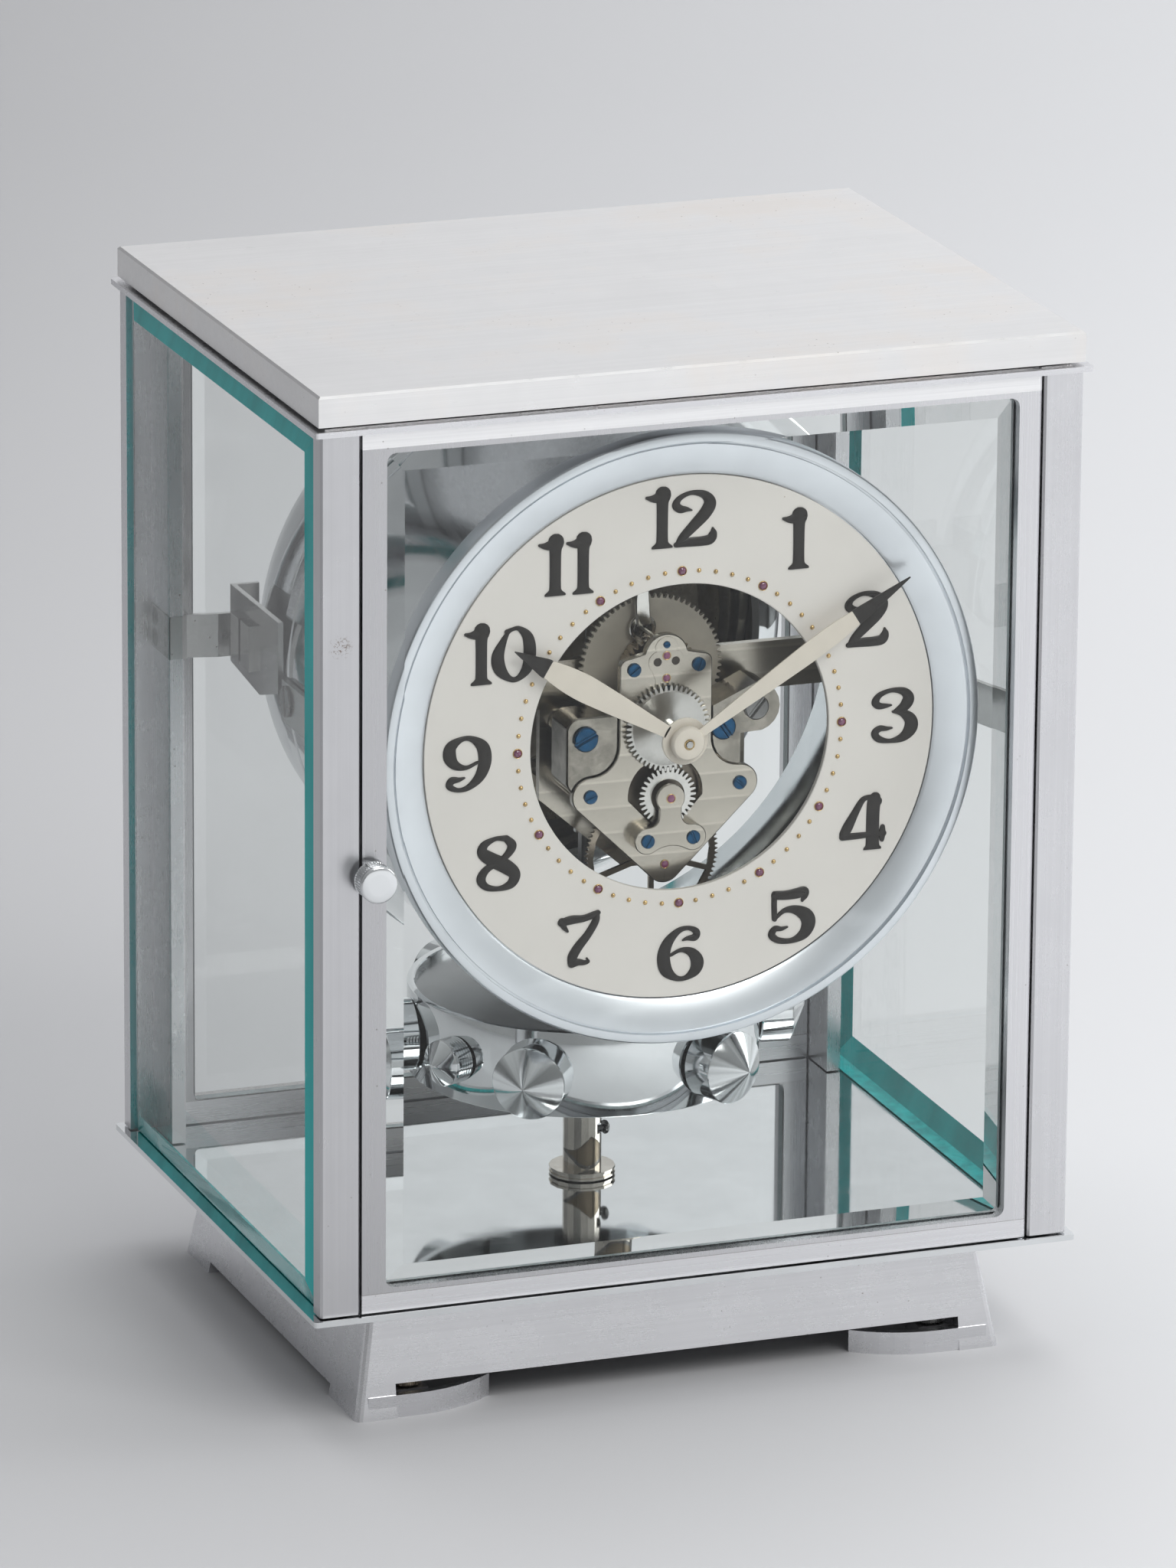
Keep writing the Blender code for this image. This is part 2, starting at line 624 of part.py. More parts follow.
# Objects
def finish_material(name, finish):
    colour, roughness, metallic = finish
    material = bpy.data.materials.new(name)
    material.use_nodes = True
    shader = material.node_tree.nodes["Principled BSDF"]
    shader.inputs["Base Color"].default_value = (*colour, 1.0)
    shader.inputs["Roughness"].default_value = roughness
    shader.inputs["Metallic"].default_value = metallic
    if finish is GLASS:
        shader.inputs["Transmission Weight"].default_value = 0.95
        shader.inputs["IOR"].default_value = 1.5
    return material


def new_object(name, mesh):
    data = bpy.data.meshes.new(name)
    mesh.to_mesh(data)
    mesh.free()
    thing = bpy.data.objects.new(name, data)
    bpy.context.scene.collection.objects.link(thing)
    return thing


def shape_with(thing, mesh, operation):
    """Join a solid to the object, or cut it away."""
    tool = new_object(thing.name + "_tool", mesh)
    modifier = thing.modifiers.new(operation.lower(), "BOOLEAN")
    modifier.object = tool
    modifier.operation = operation
    modifier.solver = "EXACT"
    bpy.context.view_layer.update()
    shaped = thing.evaluated_get(bpy.context.evaluated_depsgraph_get())
    data = bpy.data.meshes.new_from_object(shaped)
    old = thing.data
    thing.modifiers.clear()
    thing.data = data
    bpy.data.meshes.remove(old)
    tool_data = tool.data
    bpy.data.objects.remove(tool)
    bpy.data.meshes.remove(tool_data)


def weld(data):
    """Close the hairline seams that joining leaves."""
    mesh = bmesh.new()
    mesh.from_mesh(data)
    bmesh.ops.remove_doubles(mesh, verts=mesh.verts[:], dist=SEAM)
    loose = [edge for edge in mesh.edges if not edge.link_faces]
    bmesh.ops.delete(mesh, geom=loose, context="EDGES")
    mesh.to_mesh(data)
    mesh.free()


def piece(name, solids, finish, at=(0.0, 0.0, 0.0), turn=0.0, cuts=(), extras=(), bores=(), parent=None):
    """One named piece: solids joined, cuts taken away, the extras joined on, then the bores cut."""
    thing = new_object(name, solids[0])
    for solid in solids[1:]:
        shape_with(thing, solid, "UNION")
    for cut in cuts:
        shape_with(thing, cut, "DIFFERENCE")
    for extra in extras:
        shape_with(thing, extra, "UNION")
    for bore in bores:
        shape_with(thing, bore, "DIFFERENCE")
    weld(thing.data)
    thing.data.name = name
    thing.data.materials.clear()
    thing.data.materials.append(finish_material(name, finish))
    thing.data.shade_smooth()
    thing.data.set_sharp_from_angle(angle=math.radians(32.0))
    thing.location = at
    thing.rotation_euler = (0.0, 0.0, turn)
    thing.parent = parent
    return thing


def clear_scene():
    for thing in list(bpy.data.objects):
        bpy.data.objects.remove(thing, do_unlink=True)


def empty(name, at, parent=None):
    holder = bpy.data.objects.new(name, None)
    holder.location = at
    holder.parent = parent
    bpy.context.scene.collection.objects.link(holder)
    return holder


# The plinth
def tapered_section(height, inset):
    drop = PLINTH_TAPER * (height - GROUND) / PLINTH_HEIGHT + inset
    half_width = PLINTH_BASE_WIDTH / 2.0 - drop
    half_depth = PLINTH_BASE_DEPTH / 2.0 - drop
    outline = rounded_rectangle(-half_width, half_width, -half_depth, half_depth, PLINTH_CORNER)
    return [(x, y, height) for x, y in outline]


def foot_strip(side):
    """The front foot: straight from its corner, then curving inward to a free end."""
    y = -PLINTH_BASE_DEPTH / 2.0 + FRONT_FOOT_INSET + FRONT_FOOT_THICKNESS / 2.0
    corner = PLINTH_BASE_WIDTH / 2.0
    bend_x = corner - FRONT_FOOT_STRAIGHT
    sweep = math.degrees(math.asin((FRONT_FOOT_LENGTH - FRONT_FOOT_STRAIGHT) / FRONT_FOOT_BEND))
    path = [(corner - PLINTH_WALL, y)]
    path += arc(bend_x, y + FRONT_FOOT_BEND, FRONT_FOOT_BEND, 270.0, 270.0 - sweep, 6)
    outline = [(side * u, v) for u, v in ribbon(path, FRONT_FOOT_THICKNESS)]
    return plate(outline, GROUND, GROUND + FRONT_FOOT_HEIGHT, upright)


def build_plinth(base):
    low = GROUND - OVERRUN
    outer = lofted([tapered_section(GROUND, 0.0), tapered_section(PLINTH_TOP, 0.0)])
    under = PLINTH_TOP - PLINTH_WALL
    inner = lofted([tapered_section(low, PLINTH_WALL), tapered_section(under, PLINTH_WALL)])
    half_width = PLINTH_BASE_WIDTH / 2.0
    half_depth = PLINTH_BASE_DEPTH / 2.0
    front_cut = half_width - FRONT_CORNER_LENGTH
    rear_cut = half_width - REAR_FOOT
    wall_reach = 2.0 * PLINTH_WALL
    cuts = [inner]
    cuts.append(block((-front_cut, front_cut), (-half_depth - OVERRUN, wall_reach - half_depth),
                      (low, GROUND + FRONT_EDGE_HEIGHT)))
    cuts.append(block((-half_width - OVERRUN, half_width + OVERRUN),
                      (SIDE_FRONT_FOOT - half_depth, half_depth - SIDE_REAR_FOOT),
                      (low, GROUND + SIDE_EDGE_HEIGHT)))
    cuts.append(block((-rear_cut, rear_cut), (half_depth - wall_reach, half_depth + OVERRUN),
                      (low, GROUND + SIDE_EDGE_HEIGHT)))
    extras = []
    bores = []
    for side in (-1.0, 1.0):
        extras.append(foot_strip(side))
        outer_x = side * (half_width - PLINTH_WALL / 2.0)
        shelf_x = sorted((side * (SCREW_X - SHELF_HALF_WIDTH), outer_x))
        boss_x = (side * SCREW_X - SHELF_HALF_WIDTH, side * SCREW_X + SHELF_HALF_WIDTH)
        around_y = (SCREW_Y - SHELF_HALF_WIDTH, SCREW_Y + SHELF_HALF_WIDTH)
        boss_low = GROUND + FRONT_EDGE_HEIGHT + GAP / 2.0
        boss_top = boss_low + BOSS_HEIGHT
        extras.append(block(shelf_x, around_y, (SHELF_TOP - SHELF_THICKNESS, SHELF_TOP)))
        extras.append(block(boss_x, around_y, (boss_low, boss_top)))
        bores.append(cylinder(SCREW_RADIUS + GAP, low, boss_top + OVERRUN, upright, side * SCREW_X, SCREW_Y,
                              TINY_SIDES))
    piece("base_plinth", [outer], SATIN_CHROME, cuts=cuts, extras=extras, bores=bores, parent=base)


def build_levelling(base, side, word):
    knurl = []
    for i in range(SMALL_SIDES * 2):
        radius = THUMB_WHEEL_RADIUS - (THUMB_WHEEL_KNURL if i % 2 else 0.0)
        angle = TURN * i / (SMALL_SIDES * 2)
        knurl.append((radius * math.cos(angle), radius * math.sin(angle)))
    bore = [circle(SCREW_RADIUS + GAP, TINY_SIDES)]
    low = SHELF_TOP + GAP
    wheel = plate(knurl, 0.0, THUMB_WHEEL_THICKNESS, upright, bore)
    piece("levelling_wheel_" + word, [wheel], BRASS, at=(side * SCREW_X, SCREW_Y, low), parent=base)
    profile = [(0.0, 0.0), (SCREW_RADIUS - SCREW_SOLE, 0.0), (SCREW_RADIUS, SCREW_SOLE),
               (SCREW_RADIUS, SCREW_LENGTH), (0.0, SCREW_LENGTH)]
    foot = turned(profile, sides=TINY_SIDES)
    piece("levelling_foot_" + word, [foot], STEEL, at=(side * SCREW_X, SCREW_Y, GROUND + GAP), parent=base)


# The case
def flange(name, low, base):
    outline = rounded_rectangle(-FLANGE_HALF_WIDTH, FLANGE_HALF_WIDTH, -FLANGE_HALF_DEPTH, FLANGE_HALF_DEPTH,
                                FLANGE_CORNER)
    pivot = [circle(PIN_RADIUS + PIN_PLAY, TINY_SIDES, HINGE_X, HINGE_Y)]
    sheet = plate(outline, low, low + FLANGE_THICKNESS, upright, pivot)
    piece(name, [sheet], SATIN_CHROME, parent=base)


def box_section(half_width, half_depth, height):
    return [(x, y, height) for x, y in rectangle(-half_width, half_width, -half_depth, half_depth)]


def build_lid(base):
    lip_low = CLEAR_HEIGHT + FLANGE_THICKNESS + GAP
    low = CLEAR_HEIGHT + FLANGE_THICKNESS + LID_CLEARANCE
    rims = [(LID_LIP_INSET, lip_low), (LID_LIP_INSET, low), (0.0, low), (0.0, CASE_TOP - LID_EDGE),
            (LID_EDGE, CASE_TOP)]
    sections = [box_section(LID_HALF_WIDTH - inset, LID_HALF_DEPTH - inset, height) for inset, height in rims]
    piece("lid", [lofted(sections)], SATIN_CHROME, parent=base)


def build_post(base, side, end, name):
    """An L-shaped post: a face, a side, and an inner leg behind the side glass."""
    outer_x = HALF_BODY
    inner_x = POST_INNER_X
    leg_x = inner_x + POST_LEG_THICKNESS
    face_y = HALF_DEPTH
    side_y = face_y - POST_SIDE
    leg_y = side_y - POST_LEG_DEPTH
    chamfer = POST_CHAMFER
    outline = [(inner_x + chamfer, face_y), (outer_x - chamfer, face_y), (outer_x, face_y - chamfer),
               (outer_x, side_y), (leg_x, side_y), (leg_x, leg_y), (inner_x, leg_y),
               (inner_x, face_y - chamfer)]
    outline = [(side * u, end * v) for u, v in outline]
    cuts = []
    if side < 0.0 and end < 0.0:
        latch_back = DOOR_BACK + GAP + LATCH_THICKNESS
        slot_low = KNOB_HEIGHT - LATCH_HALF_WIDTH - LATCH_SLOT_PLAY
        slot_high = KNOB_HEIGHT + LATCH_LENGTH + 2.0 * LATCH_SLOT_PLAY
        cuts.append(block((-leg_x - OVERRUN, -inner_x + OVERRUN),
                          (DOOR_BACK - LATCH_SLOT_PLAY / 2.0, latch_back + LATCH_SLOT_PLAY),
                          (slot_low, slot_high)))
    post = plate(outline, SHELL_BOTTOM, SHELL_TOP, upright)
    piece(name, [post], SATIN_CHROME, cuts=cuts, parent=base)


def bevelled_pane(half_width, low, high, thickness, bevel, bevel_depth, place):
    """A pane with a wide bevel round its outer face, which lies at distance 0."""
    rims = [(0.0, thickness), (0.0, bevel_depth), (bevel, 0.0)]
    sections = []
    for inset, distance in rims:
        outline = rectangle(inset - half_width, half_width - inset, low + inset, high - inset)
        sections.append([place(u, v, distance) for u, v in outline])
    return lofted(sections)


def build_side_glass(base, side, word):
    half_length = HALF_DEPTH - POST_SIDE - GAP

    def place(u, v, w):
        return (-side * w, u, v)

    pane = bevelled_pane(half_length, SHELL_BOTTOM, SHELL_TOP, SIDE_GLASS_THICKNESS, SIDE_GLASS_BEVEL,
                         SIDE_GLASS_BEVEL_DEPTH, place)
    piece("side_glass_" + word, [pane], GLASS, at=(side * HALF_BODY, 0.0, 0.0), parent=base)


def frame_ring(end):
    """A door-sized frame; end is -1 at the front and 1 at the rear."""
    opening = rounded_rectangle(DOOR_STILE - DOOR_HALF_WIDTH, DOOR_HALF_WIDTH - DOOR_STILE,
                                SHELL_BOTTOM + DOOR_BOTTOM_RAIL, SHELL_TOP - DOOR_TOP_RAIL,
                                DOOR_OPENING_CORNER, 4)
    outline = rectangle(-DOOR_HALF_WIDTH, DOOR_HALF_WIDTH, SHELL_BOTTOM, SHELL_TOP)
    return plate(outline, end * HALF_DEPTH, end * (HALF_DEPTH - DOOR_DEPTH), facing, [opening])


def frame_pane(end):
    side = DOOR_STILE + GAP
    half_width = DOOR_HALF_WIDTH - side
    corner_low = SHELL_BOTTOM + DOOR_BOTTOM_RAIL + GAP
    corner_high = SHELL_TOP - DOOR_TOP_RAIL - GAP
    sections = []
    for inset, distance in ((0.0, DOOR_GLASS_THICKNESS), (0.0, DOOR_GLASS_BEVEL_DEPTH),
                            (DOOR_GLASS_BEVEL, 0.0)):
        radius = max(DOOR_OPENING_CORNER - inset, GAP)
        outline = rounded_rectangle(inset - half_width, half_width - inset, corner_low + inset,
                                    corner_high - inset, radius)
        depth = end * (HALF_DEPTH - DOOR_GLASS_RECESS - distance)
        sections.append([(x, depth, z) for x, z in outline])
    return lofted(sections)


def hinge_edge_cut():
    """What lies outside the round edge on the door's hinge side."""
    round_edge = arc(0.0, 0.0, DOOR_HINGE_RADIUS, 0.0, -90.0, 4)
    far = DOOR_HINGE_RADIUS + OVERRUN
    outline = [(far, 0.0), *round_edge, (0.0, -far), (far, -far)]
    outline = [(HINGE_X + u, HINGE_Y + v) for u, v in outline]
    return plate(outline, SHELL_BOTTOM - OVERRUN, SHELL_TOP + OVERRUN, upright)


def build_door(base):
    shaft_hole = cylinder(KNOB_SHAFT_RADIUS + KNOB_SHAFT_PLAY, DOOR_FRONT - OVERRUN, DOOR_BACK + OVERRUN,
                          facing, KNOB_X, KNOB_HEIGHT, TINY_SIDES)
    overlap = DOOR_BOTTOM_RAIL / 2.0
    low_pin = cylinder(PIN_RADIUS, SHELL_BOTTOM - GAP - PIN_LENGTH, SHELL_BOTTOM + overlap, upright,
                       HINGE_X, HINGE_Y, TINY_SIDES)
    high_pin = cylinder(PIN_RADIUS, SHELL_TOP - overlap, SHELL_TOP + GAP + PIN_LENGTH, upright,
                        HINGE_X, HINGE_Y, TINY_SIDES)
    piece("door_frame", [frame_ring(-1.0)], SATIN_CHROME, cuts=[hinge_edge_cut(), shaft_hole],
          extras=[low_pin, high_pin], parent=base)
    piece("door_glass", [frame_pane(-1.0)], GLASS, parent=base)
    piece("rear_frame", [frame_ring(1.0)], SATIN_CHROME, parent=base)
    piece("rear_glass", [frame_pane(1.0)], GLASS, parent=base)
    front = -KNOB_PROJECTION
    inside = DOOR_DEPTH + GAP
    profile = [(0.0, front), (KNOB_RADIUS - KNOB_EDGE, front), (KNOB_RADIUS, front + KNOB_EDGE),
               (KNOB_RADIUS, -GAP - KNOB_NECK_LENGTH), (KNOB_NECK_RADIUS, -GAP - KNOB_NECK_LENGTH),
               (KNOB_NECK_RADIUS, -GAP), (KNOB_SHAFT_RADIUS, -GAP),
               (KNOB_SHAFT_RADIUS, inside + LATCH_THICKNESS / 2.0), (0.0, inside + LATCH_THICKNESS / 2.0)]
    knob = turned(profile, facing, SMALL_SIDES)
    tongue = plate(bar((0.0, 0.0), (0.0, LATCH_LENGTH - LATCH_HALF_WIDTH), LATCH_HALF_WIDTH),
                   inside, inside + LATCH_THICKNESS, facing)
    piece("door_knob", [knob, tongue], BRIGHT_CHROME, at=(KNOB_X, DOOR_FRONT, KNOB_HEIGHT), parent=base)


# The dial, its bezel and the drum
def build_dial(dial):
    ring = plate(circle(DIAL_RADIUS, FINE_SIDES), DIAL_FRONT, DIAL_BACK, facing,
                 [circle(DIAL_OPENING, FINE_SIDES)])
    piece("dial_ring", [ring], DIAL_SILVER, parent=dial)
    inner = DIAL_RADIUS + GAP
    ledge = DIAL_BACK + GAP
    cone_front = DIAL_FRONT - BEZEL_CONE_RISE
    middle = (inner + BEZEL_CONE_RADIUS) / 2.0
    middle_front = DIAL_FRONT - BEZEL_CONE_RISE / 2.0 - BEZEL_CONE_SWELL
    groove = BEZEL_CONE_RADIUS + BEZEL_GROOVE
    rim_front = DIAL_FRONT - BEZEL_RIM_RISE
    profile = [(BEZEL_LEDGE_RADIUS, ledge), (inner, ledge), (inner, DIAL_FRONT), (middle, middle_front),
               (BEZEL_CONE_RADIUS, cone_front), (BEZEL_CONE_RADIUS, cone_front + BEZEL_GROOVE_DEPTH),
               (groove, cone_front + BEZEL_GROOVE_DEPTH), (groove, rim_front),
               (BEZEL_RIM_RADIUS - BEZEL_RIM_EDGE, rim_front),
               (BEZEL_RIM_RADIUS, rim_front + BEZEL_RIM_EDGE),
               (BEZEL_RIM_RADIUS, BEZEL_BACK), (BEZEL_LEDGE_RADIUS, BEZEL_BACK)]
    piece("bezel_ring", [turned(profile, facing, FINE_SIDES)], SATIN_CHROME, parent=dial)
    band = DRUM_RADIUS + DRUM_BAND_RISE
    tube = [(DRUM_BORE, DRUM_FRONT), (DRUM_RADIUS, DRUM_FRONT), (DRUM_RADIUS, DRUM_BACK - DRUM_BAND),
            (band, DRUM_BACK - DRUM_BAND), (band, DRUM_BACK), (DRUM_BORE, DRUM_BACK)]
    shaft_hole = cylinder(SHAFT_HOLE_RADIUS, -DRUM_RADIUS - OVERRUN, -DRUM_BORE / 2.0, upright,
                          0.0, PENDULUM_Y, TINY_SIDES)
    piece("drum_shell", [turned(tube, facing, FINE_SIDES)], BRIGHT_CHROME, cuts=[shaft_hole], parent=dial)


def hand_outline(tip, width, ring):
    """A lance-shaped hand that points up, widest past its middle, with a short tail."""
    half = width / 2.0
    widest = tip * WIDEST_SHARE
    neck = half / 2.0
    right = [(neck, ring), (half, widest), (HAND_POINT / 2.0, tip)]
    outline = right + mirrored(right)[::-1]
    return outline


def build_hands(dial):
    bore = [circle(CENTRE_ARBOR_RADIUS + GAP, SMALL_SIDES)]
    ring = plate(circle(HAND_RING_RADIUS, SMALL_SIDES), 0.0, HAND_THICKNESS, facing, bore)
    blade = plate(hand_outline(HOUR_HAND_TIP, HOUR_HAND_WIDTH, HAND_CAP_RADIUS), 0.0, HAND_THICKNESS, facing)
    hour = piece("hour_hand", [ring, blade], DARK_HAND, at=(0.0, HOUR_HAND_FRONT, 0.0), parent=dial)
    hour.rotation_euler = (0.0, -math.radians(HOUR_HAND_DEGREES), 0.0)
    cap = plate(circle(HAND_CAP_RADIUS, SMALL_SIDES), -HAND_CAP_RISE, HAND_THICKNESS, facing, bore)
    blade = plate(hand_outline(MINUTE_HAND_TIP, MINUTE_HAND_WIDTH, HAND_CAP_RADIUS - HAND_POINT),
                  0.0, HAND_THICKNESS, facing)
    minute = piece("minute_hand", [cap, blade], DARK_HAND, at=(0.0, MINUTE_HAND_FRONT, 0.0), parent=dial)
    minute.rotation_euler = (0.0, -math.radians(MINUTE_HAND_DEGREES), 0.0)


# The movement's plates
def front_plate_outline():
    """The plate from its crown down the right side to the tail lobe, then mirrored."""
    taper = math.degrees(math.atan2(THIRD_Z - LOBE_Z, LOBE_X))
    right = arc(0.0, SHOULDER_Z, CROWN_RADIUS, 90.0, 10.0, 5)
    right += arc(WAIST_X - SHOULDER_CORNER, SHOULDER_Z - SHOULDER_CORNER, SHOULDER_CORNER, 90.0, 0.0, 3)
    flare_x = WAIST_X + FLARE_RADIUS
    flare_z = LOBE_Z + LOBE_RADIUS + FLARE_RADIUS
    right += arc(flare_x, flare_z, FLARE_RADIUS, 180.0, 262.0, 5)
    right += arc(LOBE_X, LOBE_Z, LOBE_RADIUS, 84.0, taper, 8)
    right += arc(0.0, THIRD_Z, TAIL_LOBE_RADIUS, taper, -86.0, 3)
    return right + mirrored(right)[::-1]


def build_front_plate(dial):
    holes = [circle(PLATE_WINDOW_RADIUS, SMALL_SIDES, 0.0, MINUTE_WHEEL_Z),
             circle(CENTRE_ARBOR_RADIUS + GAP, TINY_SIDES),
             circle(BARREL_ARBOR_RADIUS + GAP, TINY_SIDES, BARREL_X, BARREL_Z),
             circle(ARBOR_RADIUS + GAP, TINY_SIDES, 0.0, THIRD_Z)]
    sheet = plate(front_plate_outline(), FRONT_PLATE_FRONT, FRONT_PLATE_BACK, facing, holes)
    rooted = FRONT_PLATE_BACK - PLATE_THICKNESS / 2.0
    stud = cylinder(CLICK_STUD_RADIUS, rooted, CLICK_FRONT + CLICK_THICKNESS, facing, CLICK_X, CLICK_Z,
                    TINY_SIDES)
    piece("front_plate", [sheet, stud], NICKEL, parent=dial)


def build_main_plate(dial):
    """The back plate, its cross bar to the drum, its pillars and the arm of the escape arbor."""
    reach = DRUM_BORE - GAP
    high = math.degrees(math.asin(CROSS_BAR_TOP / reach))
    low = math.degrees(math.asin(CROSS_BAR_BOTTOM / reach))
    right = arc(0.0, 0.0, reach, high, low, 3)
    right += [(MAIN_PLATE_HALF_WIDTH, CROSS_BAR_BOTTOM), (MAIN_PLATE_HALF_WIDTH, LOBE_Z - LOBE_RADIUS),
              (LOBE_RADIUS, MAIN_PLATE_BOTTOM)]
    outline = right + mirrored(right)[::-1]
    holes = [circle(BARREL_ARBOR_RADIUS + GAP, TINY_SIDES, BARREL_X, BARREL_Z),
             circle(THIN_ARBOR_RADIUS + GAP, TINY_SIDES, 0.0, MINUTE_WHEEL_Z),
             circle(ARBOR_RADIUS + GAP, TINY_SIDES, 0.0, THIRD_Z),
             circle(ARBOR_RADIUS + GAP, TINY_SIDES, SCAPE_X, SCAPE_Z),
             circle(ARBOR_RADIUS + GAP, TINY_SIDES, 0.0, LEVER_Z)]
    solids = [plate(outline, MAIN_PLATE_FRONT, MAIN_PLATE_BACK, facing, holes)]
    middle = MAIN_PLATE_FRONT + PLATE_THICKNESS / 2.0
    for side in (-1.0, 1.0):
        solids.append(cylinder(PILLAR_RADIUS, FRONT_PLATE_BACK + GAP, middle, facing, side * LOBE_X, LOBE_Z))
    arm = bar((-LOBE_X, LOBE_Z), (SCAPE_X, SCAPE_Z), SCAPE_ARM_RADIUS)
    solids.append(plate(arm, SCAPE_ARM_FRONT, SCAPE_ARM_FRONT + SCAPE_ARM_THICKNESS, facing,
                        [circle(ARBOR_RADIUS + GAP, TINY_SIDES, SCAPE_X, SCAPE_Z)]))
    cock = bar(rear_cock_end(), (0.0, LEVER_Z), REAR_COCK_RADIUS)
    pivots = [circle(ARBOR_RADIUS + GAP, TINY_SIDES, 0.0, LEVER_Z),
              circle(ARBOR_RADIUS + GAP, TINY_SIDES, SCAPE_X, SCAPE_Z)]
    solids.append(plate(cock, REAR_COCK_FRONT, REAR_COCK_FRONT + COCK_THICKNESS, facing, pivots))
    end_x, end_z = rear_cock_end()
    solids.append(cylinder(REAR_COCK_POST, MAIN_PLATE_BACK - PLATE_THICKNESS / 2.0,
                           REAR_COCK_FRONT + COCK_THICKNESS / 2.0, facing, end_x, end_z, TINY_SIDES))
    piece("main_plate", solids, NICKEL, parent=dial)


def rear_cock_end():
    """The foot of the cock, past the escape wheel on the line from the lever."""
    line = Vector((SCAPE_X, SCAPE_Z - LEVER_Z))
    reach = line.length + REAR_COCK_REACH
    foot = line.normalized() * reach
    return (foot.x, LEVER_Z + foot.y)


def build_blocks(dial):
    """The blocks beside the front plate, with the cock of the centre arbor on the left one."""
    edge = WAIST_X + GAP
    flare = FLARE_RADIUS - GAP
    flare_x = WAIST_X + FLARE_RADIUS
    flare_z = LOBE_Z + LOBE_RADIUS + FLARE_RADIUS
    outline = [(BLOCK_EDGE_X, BLOCK_TOP_Z), (edge, BLOCK_TOP_Z)]
    outline += arc(flare_x, flare_z, flare, 180.0, 262.0, 5)
    outline += arc(LOBE_X, LOBE_Z, LOBE_RADIUS + GAP, 80.0, 12.0, 4)
    outline += [(BLOCK_EDGE_X, LOBE_Z + GAP)]
    body = plate(mirrored(outline), FRONT_PLATE_FRONT, BLOCK_BACK, facing)
    pillar = cylinder(SIDE_PILLAR_RADIUS, FRONT_PLATE_FRONT + PLATE_THICKNESS, MAIN_PLATE_FRONT - GAP, facing,
                      -SIDE_PILLAR_X, SIDE_PILLAR_Z)
    cock_z = COCK_TOP_Z - COCK_HALF_WIDTH
    cock = plate(bar((-SIDE_PILLAR_X + SIDE_PILLAR_RADIUS, cock_z), (0.0, cock_z), COCK_HALF_WIDTH),
                 BLOCK_BACK - COCK_THICKNESS, BLOCK_BACK, facing,
                 [circle(CENTRE_ARBOR_RADIUS + GAP, TINY_SIDES)])
    piece("left_block", [body, pillar, cock], NICKEL, parent=dial)
    lug = [(edge, BLOCK_TOP_Z)]
    lug += [(LUG_PILLAR_X, LUG_PILLAR_Z + LUG_RADIUS)]
    lug += arc(LUG_PILLAR_X, LUG_PILLAR_Z, LUG_RADIUS, 75.0, -75.0, 8)
    lug += [(flare_x, LUG_PILLAR_Z - LUG_RADIUS), (flare_x, flare_z - flare)]
    lug += arc(flare_x, flare_z, flare, 262.0, 180.0, 5)
    body = plate(lug, FRONT_PLATE_FRONT, BLOCK_BACK, facing)
    pillar = cylinder(SIDE_PILLAR_RADIUS, FRONT_PLATE_FRONT + PLATE_THICKNESS, MAIN_PLATE_FRONT - GAP, facing,
                      LUG_PILLAR_X, LUG_PILLAR_Z)
    piece("right_lug", [body, pillar], NICKEL, parent=dial)


def build_bridge(dial):
    """The three-armed bridge in front of the minute wheel, on two feet."""
    back = BRIDGE_FRONT + BRIDGE_THICKNESS
    left_foot = (-BRIDGE_FOOT_X, BRIDGE_FOOT_Z)
    right_foot = (BRIDGE_FOOT_X, BRIDGE_FOOT_Z)
    head = (0.0, MINUTE_WHEEL_Z)
    arms = plate(ribbon([left_foot, head, right_foot], BRIDGE_ARM_WIDTH), BRIDGE_FRONT, back, facing)
    solids = [arms]
    proud = BRIDGE_FRONT - BRIDGE_THICKNESS / 4.0
    for foot in (left_foot, right_foot):
        solids.append(cylinder(BRIDGE_FOOT_RADIUS, proud, FRONT_PLATE_FRONT - GAP, facing, *foot))
    solids.append(cylinder(BRIDGE_HEAD_RADIUS, proud, back + BRIDGE_THICKNESS / 4.0, facing, *head))
    bore = cylinder(ARBOR_RADIUS + GAP, BRIDGE_FRONT - OVERRUN, back + OVERRUN, facing, *head, TINY_SIDES)
    piece("wheel_bridge", solids, NICKEL, cuts=[bore], parent=dial)


# The train
def arbor(radius, start, end, sides=TINY_SIDES):
    return cylinder(radius, start, end, facing, sides=sides)


